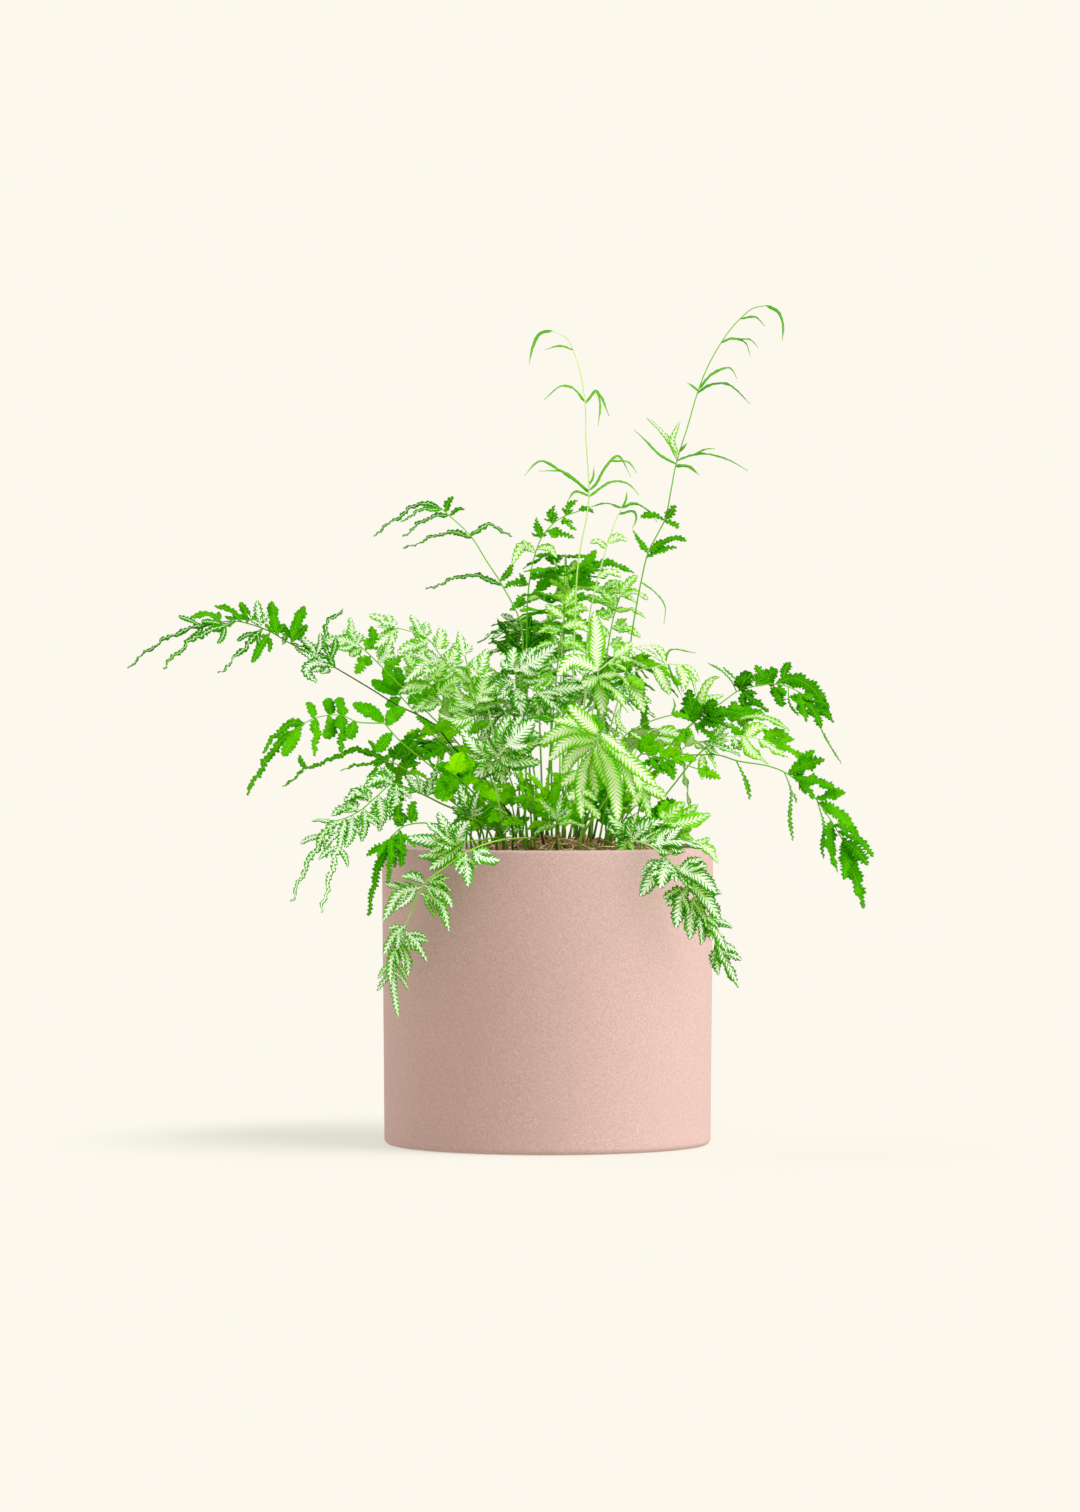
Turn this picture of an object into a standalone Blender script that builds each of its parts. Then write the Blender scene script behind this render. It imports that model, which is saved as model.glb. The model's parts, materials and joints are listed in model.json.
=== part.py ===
"""Potted silver lace fern: a plain cylindrical pot, potting mix, a fibrous rhizome clump
and the fronds that rise from it, each one a single piece of stalk and blades.

Metres, +Z up. The origin is the middle of the pot's foot, on the surface it stands on,
and -Y is the front. Every frond is one closed solid 0.7 mm thick; the gaps between pieces
are 0.3 mm or more.
"""

import bisect
import math

import bmesh
import bpy
import numpy as np
from mathutils import Vector
from mathutils.bvhtree import BVHTree

MM = 0.001

# ---- driving dimensions -----------------------------------------------------
POT_HEIGHT = 135.0 * MM
POT_RIM_RADIUS = 75.2 * MM
POT_FOOT_RADIUS = 74.0 * MM
POT_WALL = 5.0 * MM
POT_FLOOR = 7.0 * MM
FOOT_ROUNDING = 2.6 * MM
RIM_ROUNDING = 1.3 * MM
POT_SIDES = 52
GAP = 0.5 * MM  # between pieces that rest on each other
SOIL_EDGE_HEIGHT = 124.5 * MM
SOIL_MOUND = 3.0 * MM
SOIL_RADIUS = POT_RIM_RADIUS - POT_WALL
CROWN_CENTRE = (5.0 * MM, 1.0 * MM)
CROWN_HALF_WIDTH = 45.0 * MM
CROWN_HALF_DEPTH = 39.0 * MM
CROWN_HEIGHT = 10.5 * MM
FOOT_GAP = 1.2 * MM  # between a stalk's foot and the clump or mix below it
STALK_RISE = 3.5 * MM  # the upright part of a stalk above its foot
SLOT = 1.7 * MM  # closest spacing of blades along one side of a stalk
SLOT_HALF = 0.6 * MM
BLADE_THICKNESS = 0.7 * MM
CLEARANCE = 0.45 * MM  # kept all round while a frond is laid between its neighbours

# ---- the elevation grid on which the fronds are laid out ------------------
# A frond is planned on the front elevation, as a surveyor would plot it: columns
# across and rows down, on a grid of 0.4531 mm in the plane of the pot's axis, plus
# a depth in millimetres behind (+) or before (-) that plane. The elevation is in
# perspective from a station point 3.1 m away, so a point keeps its place on it
# whatever its depth.
CELL = 0.4531 * MM
AXIS_COLUMN = 547.5
EYE_ROW = 636.0
EYE_HEIGHT = 0.230
EYE_DISTANCE = 3.1


def plot(column, row, depth):
    scale = CELL * (1.0 + depth / EYE_DISTANCE)
    return Vector(((column - AXIS_COLUMN) * scale, depth, EYE_HEIGHT - (row - EYE_ROW) * scale))


def unplot(p):
    scale = CELL * (1.0 + p.y / EYE_DISTANCE)
    return AXIS_COLUMN + p.x / scale, EYE_ROW - (p.z - EYE_HEIGHT) / scale


# ---- heights of the planting ------------------------------------------------
def soil_height(x, y):
    """The top of the potting mix: a shallow mound, a little uneven."""
    r = math.hypot(x, y)
    return SOIL_EDGE_HEIGHT + SOIL_MOUND * max(0.0, 1.0 - (r / SOIL_RADIUS) ** 2)


def crown_lift(x, y):
    """Thickness of the fibrous rhizome clump above the mix, zero outside it."""
    u = (x - CROWN_CENTRE[0]) / CROWN_HALF_WIDTH
    v = (y - CROWN_CENTRE[1]) / CROWN_HALF_DEPTH
    q = 1.0 - u * u - v * v
    if q <= 0.0:
        return 0.0
    lumps = 0.10 * math.sin(x * 260.0 + 1.3) * math.cos(y * 230.0 - 0.4)
    return CROWN_HEIGHT * (q ** 0.6) * (1.0 + lumps)


def ground(x, y):
    lift = crown_lift(x, y)
    return soil_height(x, y) + (GAP + lift if lift > 0.0015 else 0.0)


# ---- curves -------------------------------------------------------------------
def smooth_path(points, spacing):
    """Points every `spacing` along a smooth curve that passes through `points`."""
    if len(points) == 2:
        dense = [points[0].lerp(points[1], i / 12) for i in range(13)]
    else:
        ends = [points[0] * 2 - points[1]] + list(points) + [points[-1] * 2 - points[-2]]
        dense = []
        for i in range(1, len(ends) - 2):
            a, b, c, d = ends[i - 1 : i + 3]
            ta = 0.0
            tb = ta + max((b - a).length, 1e-6) ** 0.5
            tc = tb + max((c - b).length, 1e-6) ** 0.5
            td = tc + max((d - c).length, 1e-6) ** 0.5
            steps = max(2, int((c - b).length / (spacing * 0.5)))
            for j in range(steps):
                t = tb + (tc - tb) * j / steps
                p1 = a * ((tb - t) / (tb - ta)) + b * ((t - ta) / (tb - ta))
                p2 = b * ((tc - t) / (tc - tb)) + c * ((t - tb) / (tc - tb))
                p3 = c * ((td - t) / (td - tc)) + d * ((t - tc) / (td - tc))
                q1 = p1 * ((tc - t) / (tc - ta)) + p2 * ((t - ta) / (tc - ta))
                q2 = p2 * ((td - t) / (td - tb)) + p3 * ((t - tb) / (td - tb))
                dense.append(q1 * ((tc - t) / (tc - tb)) + q2 * ((t - tb) / (tc - tb)))
        dense.append(points[-1].copy())
    return dense


def lift_share(u):
    """How much of a blade's lift it has reached at a share of its length: most of it early."""
    return 1.0 - (1.0 - min(max(u, 0.0), 1.0)) ** 2.4


class Branch:
    """A stalk or a blade along a smooth curve, with what grows from it."""

    def __init__(self, kind, width, points, facing, seed, is_end=False, lift=0.0):
        self.kind = kind
        self.width = width
        self.facing = facing
        self.seed = seed
        self.is_end = is_end
        self.children = []
        self.points = smooth_path(points, 0.8 * MM)
        if lift:
            last = len(self.points) - 1
            for i, p in enumerate(self.points):
                p.y += lift * lift_share(i / last)
        self.run = [0.0]
        for a, b in zip(self.points, self.points[1:]):
            self.run.append(self.run[-1] + (b - a).length)
        self.length = self.run[-1]
        self.normals = self.carried_normals()

    def carried_normals(self):
        """The face normal at each point: square to the course, turning no more than it must."""
        points, last = self.points, len(self.points) - 1
        ways = [(points[min(i + 1, last)] - points[max(i - 1, 0)]).normalized() for i in range(last + 1)]
        across = [self.facing - t * self.facing.dot(t) for t in ways]
        best = max(range(last + 1), key=lambda i: across[i].length + 0.15 * i / last)
        normals = [None] * (last + 1)
        n = across[best]
        if n.length < 0.1:
            other = Vector((0.35, -0.5, 0.8))
            n = other - ways[best] * other.dot(ways[best])
        normals[best] = n.normalized()
        for order in (range(best - 1, -1, -1), range(best + 1, last + 1)):
            n = normals[best]
            for i in order:
                n = (n - ways[i] * n.dot(ways[i])).normalized()
                normals[i] = n
        return normals

    def at(self, s):
        s = min(max(s, 0.0), self.length)
        i = min(max(bisect.bisect_right(self.run, s) - 1, 0), len(self.points) - 2)
        span = self.run[i + 1] - self.run[i]
        f = (s - self.run[i]) / span if span > 0 else 0.0
        return self.points[i].lerp(self.points[i + 1], f)

    def tangent(self, s):
        h = min(0.9 * MM, self.length * 0.2)
        d = self.at(s + h) - self.at(s - h)
        return d.normalized() if d.length > 1e-9 else Vector((0, 0, 1))

    def frame(self, s):
        """Point, direction, side and face normal at a distance along the curve."""
        s = min(max(s, 0.0), self.length)
        i = min(max(bisect.bisect_right(self.run, s) - 1, 0), len(self.points) - 2)
        span = self.run[i + 1] - self.run[i]
        f = (s - self.run[i]) / span if span > 0 else 0.0
        t = self.tangent(s)
        n = self.normals[i].lerp(self.normals[i + 1], f)
        n = (n - t * n.dot(t)).normalized()
        return self.at(s), t, n.cross(t), n

    def nearest(self, column, row):
        best, found = 1e9, 0.0
        for p, s in zip(self.points, self.run):
            c, r = unplot(p)
            d = (c - column) ** 2 + (r - row) ** 2
            if d < best:
                best, found = d, s
        return found


def parse(text):
    """'G14 788,773 806,766 824,759' is a green blade 14 cells wide through those points."""
    head, *places = text.split()
    kind = head[0]
    width = float(head[1:]) * CELL
    return kind, width, [tuple(float(v) for v in place.split(",")) for place in places]


def scatter(seed):
    """A fixed pseudo-random number from 0 to 1 for a whole-number seed."""
    value = math.sin(seed * 12.9898 + 4.1414) * 43758.5453
    return value - math.floor(value)


def coil(start, centre):
    """The rolled tip of a young frond: a turn and a quarter that closes on its centre."""
    arm = start - centre
    points = []
    for i in range(15):
        a = math.radians(-32 * i)
        size = 1.0 - 0.66 * i / 14
        points.append(centre + size * Vector((arm.x * math.cos(a) - arm.z * math.sin(a), 0.0,
                                              arm.x * math.sin(a) + arm.z * math.cos(a))))
    return points


def grow_child(parent, spec, lean, seed, tweak):
    """A blade or side stalk on its parent. Off the plotted plane it leans back as it rises."""
    text, subs = spec if isinstance(spec, tuple) else (spec, [])
    kind, width, places = parse(text)
    s = parent.nearest(*places[0][:2])
    at_end = parent.length - s < 1.6 * MM
    start = parent.at(parent.length if at_end else s)
    points = [start]
    depth_tweak, scale = tweak.get(seed, (0.0, 1.0))
    if scale == 0.0:
        return None
    if kind == "C":
        return Branch(kind, width, coil(start, plot(*places[1][:2], start.y)), parent.facing, seed, True)
    for place in places[1:]:
        column, row = place[:2]
        flat = plot(column, row, start.y)
        if len(place) > 2:
            off = place[2] * MM
        else:
            off = lean * (flat.z - start.z)
            off += (scatter(seed) - 0.5) * 0.35 * (flat - start).length
            off = max(-0.024, min(0.024, off))
        points.append(plot(column, row, start.y + off))
    if scale != 1.0:
        points = [start + (p - start) * scale for p in points]
    turn = (scatter(seed + 0.5) - 0.5) * 0.7
    facing = Vector((turn, -1.0, 0.55 + 0.5 * lean)).normalized()
    if parent.facing.y > 0.05:
        facing = parent.facing.copy()
    branch = Branch(kind, width * (0.6 + 0.4 * scale), points, facing, seed, at_end, depth_tweak)
    grown = [grow_child(branch, sub, lean, seed * 16 + j + 1, tweak) for j, sub in enumerate(subs)]
    branch.children = [(0.0, child) for child in grown if child]
    return branch


def settle(branch):
    """Finds where each child leaves the stalk, two to a slot, never closer than SLOT."""
    slots = []
    order = sorted(
        (c for _, c in branch.children if not c.is_end),
        key=lambda c: -branch.nearest(*unplot(c.points[0])),
    )
    placed = []
    limit = branch.length - 0.9 * MM
    for child in order:
        s = min(branch.nearest(*unplot(child.points[0])), limit)
        _, _, side, _ = branch.frame(s)
        reach = child.at(min(child.length, 6 * MM)) - child.points[0]
        hand = 1 if reach.dot(side) > 0 else -1
        for slot in slots:
            if abs(slot[0] - s) < 1.6 * MM and hand not in slot[1]:
                slot[1].append(hand)
                placed.append((slot[0], hand, child))
                break
        else:
            if slots and s > slots[-1][0] - SLOT:
                s = slots[-1][0] - SLOT
            if s < 0.9 * MM:
                continue
            slots.append([s, [hand]])
            placed.append((s, hand, child))
    ends = [c for _, c in branch.children if c.is_end]
    for _, c in branch.children:
        settle(c)
    branch.placed = placed
    branch.slots = sorted(slot[0] for slot in slots)
    branch.ends = ends[:1]
    for extra in ends[1:]:
        s = (branch.slots[-1] if branch.slots else limit) if False else limit
        _, _, side, _ = branch.frame(s)
        reach = extra.at(min(extra.length, 6 * MM)) - extra.points[0]
        hand = 1 if reach.dot(side) > 0 else -1
        taken = [x for x, h, _ in branch.placed if h == hand]
        while any(abs(x - s) < SLOT * 0.99 for x in branch.slots if x != s) or any(
            abs(x - s) < 1e-6 for x in taken
        ):
            match = [x for x in branch.slots if abs(x - s) < SLOT * 0.99]
            if match and not any(abs(x - match[0]) < 1e-6 for x in taken):
                s = match[0]
                break
            s = (match[0] if match else s) - SLOT
        if s < 0.9 * MM:
            continue
        if s not in branch.slots:
            branch.slots = sorted(branch.slots + [s])
        branch.placed.append((s, hand, extra))


def grow(entry, shift, tweak):
    """The whole frond. `shift` moves all but its foot in depth along the sight lines."""
    name, foot, lean, stalk, course, blades = entry[:6]
    foot_x, foot_y = foot[0] * MM, foot[1] * MM
    places = [tuple(float(v) for v in place.split(",")) for place in course.split()]
    start = Vector((foot_x, foot_y, ground(foot_x, foot_y) + FOOT_GAP))
    known = [(0, foot[1])]
    known += [(i, place[2]) for i, place in enumerate(places, 1) if len(place) > 2]
    if known[-1][0] != len(places):
        known.append((len(places), foot[1]))
    first = plot(places[0][0], places[0][1], (places[0][2] if len(places[0]) > 2 else foot[1]) * MM)
    away = Vector((first.x - foot_x, first.y - foot_y, 0.0))
    if away.length > 1e-6:
        away = away.normalized() * (0.8 * MM)
    points = [start, start + away + Vector((0.0, 0.0, STALK_RISE))]
    for i, place in enumerate(places, 1):
        lower = max((k for k in known if k[0] <= i), key=lambda k: k[0])
        upper = min((k for k in known if k[0] >= i), key=lambda k: k[0])
        if upper[0] == lower[0]:
            depth = lower[1]
        else:
            f = (i - lower[0]) / (upper[0] - lower[0])
            depth = lower[1] + (upper[1] - lower[1]) * f
        ramp = min(1.0, i / max(1.0, 0.45 * len(places)))
        points.append(plot(place[0], place[1], depth * MM + shift * ramp))
    facing = Vector((0.0, -1.0, 0.45 + 0.5 * lean)).normalized()
    if len(entry) > 6:
        facing = Vector(entry[6]).normalized()
    root = Branch("R", 1.5 * MM, points, facing, 0)
    root.stalk = stalk
    grown = [grow_child(root, blade, lean, j + 1, tweak) for j, blade in enumerate(blades)]
    root.children = [(0.0, child) for child in grown if child]
    settle(root)
    return root
# ---- the fronds -----------------------------------------------------------------
# name, foot (x, y in mm), lean, stalk, course of the stalk (column,row[,depth]), blades.
# A blade is its kind and width in cells, then its places from the stalk to its tip:
#   V silver-striped, P pale lime, G green, D dark green, F narrow fertile, R side stalk.
FRONDS = [
    ("tall_frond_left", (7, 6), 0.25, "pale",
     "566,790 572,700 575,620 577,576 581,545 587,515 589,491,14 586,440 585,402 580,372 573,350 566,338 552,331,4",
     ["F6 552,331 540,334 533,347 529,365", "F6 589,491 560,470 540,461 524,476", "F5 589,493 565,472 539,471",
      "F5 588,496 575,492 567,502", ("F5 589,491 596,484 605,468 618,456 631,477", ["F4 612,462 628,462 637,473"]),
      "F5 588,497 612,482 628,484 639,495", "F4 589,485 593,478 594,466", "F5 585,402 573,388 561,386 544,400",
      ("F5 585,404 590,398 596,391 600,405 598,426", ["F4 596,392 602,398 609,416"]),
      "F4 573,350 560,346 545,350"]),
    ("tall_frond_right", (21, 2), 0.25, "green",
     "608,770 622,700 634,620 641,582 648,553 657,535 665,519 671,490 676,464,-6 688,425 698,391 708,366 721,343 730,330 740,319 752,309 766,306,-12",
     ["F6 766,306 778,312 783,325 782,341", "F4 740,319 755,317 765,327",
      ("F5 721,343 732,339 745,343 750,356", ["F3 738,340 750,340 758,348"]), "F4 698,391 692,386 687,383",
      "F5 699,389 712,374 730,368 737,379", "F7 697,393 712,385 728,385 750,404", "F5 676,464 660,455 645,440 634,430",
      "P7 677,460 669,441 658,428 646,417", "P7 679,455 672,441 676,430 680,421", "F5 680,452 684,447 687,443",
      "F7 676,466 688,466 699,475", ("F5 677,461 690,456 704,454 728,460 748,471", ["F4 694,455 706,449 715,449"]),
      "G9 665,519 671,512 675,505", "G8 664,522 672,523 679,528", "G9 664,520 652,514 640,517",
      "G9 648,553 640,540 633,530", ("G9 648,552 662,542 673,539", ["G6 662,542 676,538 687,541"]),
      "G8 646,558 661,550 677,547", "F3 641,582 655,592 665,606 664,624"]),
    ("slender_fertile_frond", (12, 21), 0.3, "pale",
     "582,760 586,668 589,621 595,590 608,543 616,520 622,508,34",
     ["F4 622,508 626,500 627,491", "F5 621,510 606,503 588,508", "F6 621,511 634,503 648,510 657,522",
      "F5 619,515 634,512 636,520 632,529", "P7 608,543 617,537 628,541", "P7 606,548 598,541 590,543",
      "P8 598,578 610,571 622,577"]),
    ("upper_left_arching_frond", (-12, 16), 0.5, "green",
     "526,780 522,680 521,625 502,585 486,560 473,539 460,525 453,519 442,509,30",
     ["G8 442,509 422,503 400,516 373,536", "G7 430,505 418,511 402,523", "G8 502,585 471,575 448,581 426,590",
      "G8 500,582 508,573 513,564", "G8 472,538 449,532 425,540 403,549", "G10 470,535 488,525 500,529 512,537",
      "G8 449,515 431,517 415,527 403,537", "G7 450,516 457,509 465,509", "G8 446,512 448,503 453,496"]),
    ("upper_dark_frond", (-4, 25), 0.5, "dark",
     "529,760 527,618 528,595 533,562 542,537 552,525 561,518 579,511,38",
     ["D10 579,511 587,508 594,513", "D11 541,538 538,527 536,517", "D11 553,524 551,514 555,505",
      "G11 546,532 558,533 575,538", "P8 536,552 523,546 512,564", "P9 537,550 548,548 557,558",
      "D12 530,584 518,581 503,588", "D12 531,580 543,573 557,570", "G11 528,602 520,602 510,611",
      "P10 528,600 540,595 551,601", "G10 563,516 568,525 577,530", "D10 566,516 570,505 578,500"]),
    ("pale_upper_frond", (6, 29), 0.5, "pale",
     "560,770 561,680 564,620 571,581,44",
     ["P11 571,581 573,570 576,560", "P11 569,588 562,574 553,559", "P11 568,592 559,585 549,579",
      "P11 567,597 560,595 553,599", ("P10 569,591 587,585 602,590 621,592 638,604", ["P7 603,590 613,583 624,583"]),
      "P9 567,600 587,597 605,603 622,613", "G13 570,587 584,567 596,550", "G9 570,588 590,570 606,562 635,573",
      "P10 565,606 572,614 582,622", "P10 565,606 556,611 547,621"]),
    ("curled_dark_frond", (-16, 27), 0.5, "dark",
     "521,770 520,700 524,652,34",
     ["D15 524,652 528,636 531,616", "D13 523,657 534,643 548,636", "D15 523,658 510,636 497,618",
      "D14 523,662 541,640 557,622", "D12 522,664 506,650 491,638", "D13 522,668 511,668 499,676",
      "D13 522,668 534,668 547,676"]),
    ("far_left_frond", (-11, 6), 0.55, "green",
     "522,831 499,799 476,767 453,747 437,727 422,717 397,705 371,689 334,667 310,654 286,641 271,632 253,625 235,621 214,623,-2",
     ["G8 214,623 193,627 158,643 127,668", "G9 235,621 215,629 196,637 162,668", "G7 222,622 208,614 190,618",
      "G8 242,622 230,610 214,606", "G8 262,630 242,650 219,674", "G8 270,633 260,648 252,663",
      "V9 260,628 259,614 257,600", "G8 248,623 246,612 240,602", "G12 278,636 274,616 272,601", "G12 292,644 297,622 305,606",
      "V11 334,667 315,664 307,671 318,683", "G10 334,667 324,640 330,620 344,609",
      "V10 322,661 303,638 288,630 283,645"]),
    ("left_rear_frond", (-22, 16), 0.6, "green",
     "497,819 470,760 446,730 431,716 417,700 400,685 382,667 370,655 359,645,52",
     ["V10 359,645 353,631 351,617", "V10 361,647 340,640 314,648", "V10 362,648 355,651 351,657",
      "G11 365,651 374,640 371,626", "G11 370,656 362,664 356,674", "V10 378,664 388,650 386,636",
      "G11 384,669 392,664 403,655"]),
    ("silver_upper_left_frond", (-20, -4), 0.35, "green",
     "505,815 493,785 482,750 474,715 476,704 472,686 465,656,-24",
     ["V9 465,656 462,643 459,631", "V12 475,717 457,720 438,714", "V12 475,712 486,696 505,701",
      "V12 476,706 483,686 488,662", "V11 475,708 462,699 455,686", "V11 470,678 481,664 487,648",
      "V10 471,682 460,671 452,668",
      ("R2 473,694 456,675 440,655 428,639 412,632 398,628",
       ["V9 398,628 384,619 369,615", "V10 400,629 388,637 374,647", "V10 426,638 419,626 411,614",
        "V10 430,641 414,645 397,653", "V9 436,650 441,638 440,627", "V11 443,659 425,664 404,683",
        "V10 447,664 455,653 458,641"])]),
    ("left_green_frond", (-34, -4), 0.6, "green",
     "470,805 445,778 423,760 400,741 384,723,-22",
     [("R2 384,723 370,723 357,722 340,715 315,718 297,728",
       ["G10 297,728 280,742 263,766 246,795", "G9 304,723 289,724 273,738 262,753", "G9 301,726 292,741 283,756",
        "G11 315,718 316,736 314,756", "G9 314,718 311,709 307,702", "G10 328,716 332,728 324,738",
        "G10 330,716 330,707 327,698", "G13 341,715 342,736 341,756", "G11 344,716 342,706 339,697",
        "G10 353,721 352,730 347,738"]),
      "G11 384,724 370,712 352,704", "G10 386,727 394,714 405,708", "G9 390,733 384,742 376,752"]),
    ("left_slim_frond", (-36, 3), 0.6, "dark",
     "465,815 440,793 415,776 400,766 388,760,10",
     [("G8 388,760 355,750 330,760 304,770 283,788", ["G6 306,769 302,763 299,755"]), "G6 390,761 368,763 340,770",
      "G10 391,763 388,772 381,781", "D10 392,763 404,745 420,730", "G9 405,769 412,757 422,750"]),
    ("left_cluster_frond", (-21, 25), 0.6, "green",
     "500,820 470,772 440,735 415,712 397,692,60",
     ["G13 397,692 390,679 386,666", "G13 398,693 402,680 397,667", "G12 400,695 410,678 415,659",
      "G12 399,694 386,688 372,680", "G12 402,697 394,701 386,707", "G12 408,704 418,697 426,699",
      "G12 412,709 427,697 440,683", "V10 399,694 405,684 409,675"]),
    ("left_low_silver_frond", (-30, -13), 0.55, "green",
     "480,826 460,812 442,804 424,795 405,787 392,784 376,797 361,810 352,815 344,819,-44",
     ["V9 344,819 330,826 316,848 303,872 291,902", "V9 346,818 342,834 332,868 321,913", "V10 378,795 382,812 379,832",
      "V10 422,795 415,784 406,775", "V11 426,796 434,776 441,757", "V11 394,784 380,778 364,787",
      "V11 372,800 358,792 345,801", "V9 360,811 346,806 331,816", "V10 396,785 397,800 390,816",
      "V9 364,808 366,824 361,842", "V9 352,815 351,832 345,848"]),
    ("pot_edge_green_frond", (-31, -21), 0.5, "green",
     "467,832,-28 448,826,-38 420,823,-46 402,827,-50 392,836,-50",
     ["G11 392,836 380,862 373,888 368,916", "G11 394,834 391,860 387,883", "G11 399,829 401,848 401,867",
      "D13 404,826 398,816 399,804", "G10 412,824 411,812 415,801"]),
    ("front_left_trailing_frond", (-8, -26), 0.15, "lime",
     "534,838,-34 512,839,-56 496,841,-76 480,846,-85 465,853,-86 444,868,-82 424,884,-76 411,912,-72 402,934,-68 394,953,-64",
     ["V8 394,953 393,985 398,1018", "V12 465,853 467,868 468,887", "V13 472,850 484,858 500,860",
      "V12 424,883 412,877 401,877", "V12 422,887 399,895 383,921", "V11 427,881 441,882 451,891",
      "V11 424,886 444,893 452,908", "V11 420,893 441,905 449,932", "V10 406,925 392,938 383,955",
      "V9 400,938 391,962 390,985", "V10 404,930 417,944 427,962", "V9 399,942 407,958 408,976"]),
    ("front_left_rim_frond", (-20, -25), 0.2, "green",
     "497,838,-46 482,840,-66 469,841,-78 457,845,-84",
     ["V12 457,845 447,828 438,812", "V10 458,844 461,831 469,820", "V11 459,844 441,834 427,822",
      "V12 461,844 434,841 408,838", "V12 462,844 440,853 417,857", "V12 463,843 446,857 429,870"]),
    ("small_silver_frond", (-23, -18), 0.2, "green",
     "497,832,-28 485,826,-42 472,818,-52",
     ["V12 472,818 466,801 459,785", "V9 473,818 475,803 479,790", "V10 475,820 461,812 452,806",
      "D9 477,821 485,811 493,805"]),
    ("left_broad_green_frond", (-19, -12), 0.35, "green",
     "500,830 490,815 478,800 468,787 455,775,-34",
     ["G15 455,775 457,763 462,752", "D18 458,778 446,786 437,799", "D16 460,780 448,768 435,765",
      "G17 467,787 468,771 473,757", "G18 475,797 488,793 502,800", "G20 480,803 472,812 464,824",
      "G18 487,812 497,816 507,812"]),
    ("centre_silver_frond", (-18, -23), 0.2, "pale",
     "503,825 499,805 493,772 494,762 497,757 505,748,-54",
     ["V13 505,748 521,733 534,719", "V12 500,753 504,730 509,715", "V11 504,750 515,730 521,716",
      "V12 504,749 524,736 540,735", "V13 501,752 522,745 542,742", "V14 498,756 519,760 540,762",
      "V11 496,759 504,767 512,775", "V11 494,764 500,774 505,784", "V13 494,762 485,768 474,777",
      "V11 496,758 478,749 460,729", "V9 498,756 491,748 487,740"]),
    ("centre_frond", (-7, -6), 0.3, "green",
     "536,790 530,750 520,710 516,685 516,672,-14",
     ["V12 516,672 513,659 514,647", "V13 516,674 537,660 558,644", "V13 516,678 535,671 554,668",
      "V13 516,680 500,686 483,698", "V13 517,688 519,700 522,716",
      ("R2 516,684 530,688 542,693", ["V12 542,693 563,689 585,687", "V11 540,692 541,703 538,716",
                                      "V11 536,690 548,700 562,713"])]),
    ("centre_right_pale_frond", (10, -6), 0.25, "pale",
     "577,800 585,760 592,715 597,685 598,671,-32",
     ["P14 598,671 596,654 597,636 594,611", "P12 598,673 573,660 557,676", "P14 598,677 590,681 582,686",
      "P13 597,683 602,698 602,715", "P12 598,679 616,692 628,713", "P11 598,676 619,675 630,687",
      ("R2 598,673 616,657 634,647 650,645", ["P6 650,645 660,650 666,666", "P10 615,658 624,650 632,642",
                                             "P9 636,647 650,654 663,663", "P10 618,655 636,662 649,668"])]),
    ("pale_palmate_frond", (14, -26), 0.1, "pale",
     "583,815 582,795 585,770 591,752 597,741 601,733,-66",
     ["G11 601,733 596,725 593,714", "P13 600,735 583,719 568,705", "P12 599,736 573,722 553,720",
      "P13 598,739 568,730 539,744", "P13 597,741 568,741 549,760", "P13 595,744 574,754 563,774",
      ("P11 592,750 583,773 581,819", ["P10 583,772 572,777 561,786", "P9 582,788 576,793 568,800",
                                      "P9 582,790 590,795 597,801", "P9 581,798 591,807 600,819"]),
      "P11 591,752 591,771 597,796", "P13 593,747 602,766 609,787", "P14 597,742 612,773 618,821",
      "P12 599,739 622,763 634,796", ("P13 600,737 624,763 643,789 651,823", ["P10 642,787 654,790 666,799",
                                                                          "P9 640,785 637,797 633,807"]),
      "P13 601,736 631,763 656,786", "P12 601,734 616,745 631,757"]),
    ("right_hanging_pale_frond", (16, 9), 0.3, "pale",
     "598,780 614,715 628,676 640,670 655,667 668,664 683,665,-2",
     ["P6 683,665 692,670 699,682", "P12 655,667 663,680 670,695", "F4 668,664 674,680 682,697",
      "P10 678,664 684,677 682,692", "P9 681,664 693,676 696,694", "G13 629,676 636,681 645,688",
      "P13 628,678 637,694 644,713", "F4 664,664 670,650 696,653"]),
    ("right_upper_green_frond", (33, 10), 0.5, "green",
     "622,820 640,785 667,749 695,721 724,701 738,691 756,686,48",
     ["D18 739,690 744,681 752,673", "G12 741,691 755,701 769,712", "F4 737,692 731,680 720,669 708,663",
      "F4 743,689 735,678 723,667", "G9 755,686 762,675 755,665",
      ("R2 756,686 772,684 786,686 799,692 812,704",
       ["G11 812,704 825,712 834,723", "G14 776,684 792,678 811,687 829,711", "G13 799,692 803,706 806,722",
        "G10 805,697 815,714 821,728", "F3 809,701 817,720 829,743 842,764", "G11 778,685 779,696 783,707",
        "F4 788,688 790,704 799,716", "G14 766,684 770,675 778,669"])]),
    ("right_dark_frond", (28, -5), 0.45, "dark",
     "614,830 638,786 666,751 690,726 704,714,8",
     ["D13 704,714 724,711 743,714", "D17 694,723 691,706 688,689", "D17 703,715 708,705 717,701",
      "D11 701,716 717,720 730,728", "G10 698,719 710,722 721,727", "G10 694,723 706,731 717,740",
      "P8 700,715 701,698 712,679 720,677", "P8 703,714 706,701 724,695", "G9 688,727 683,737 676,745"]),
    ("right_side_sprig", (23, -13), 0.3, "green",
     "604,815 614,770 624,737 640,726 660,718 672,715,-14",
     ["G10 672,715 680,714 689,718", "F5 671,715 675,705 673,698", "P5 628,734 618,722 620,707", "P5 630,732 642,738 650,731"]),
    ("right_mid_pale_frond", (37, -9), 0.45, "green",
     "626,830 651,812 672,787 695,758 712,742 726,728 738,717,26",
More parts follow.
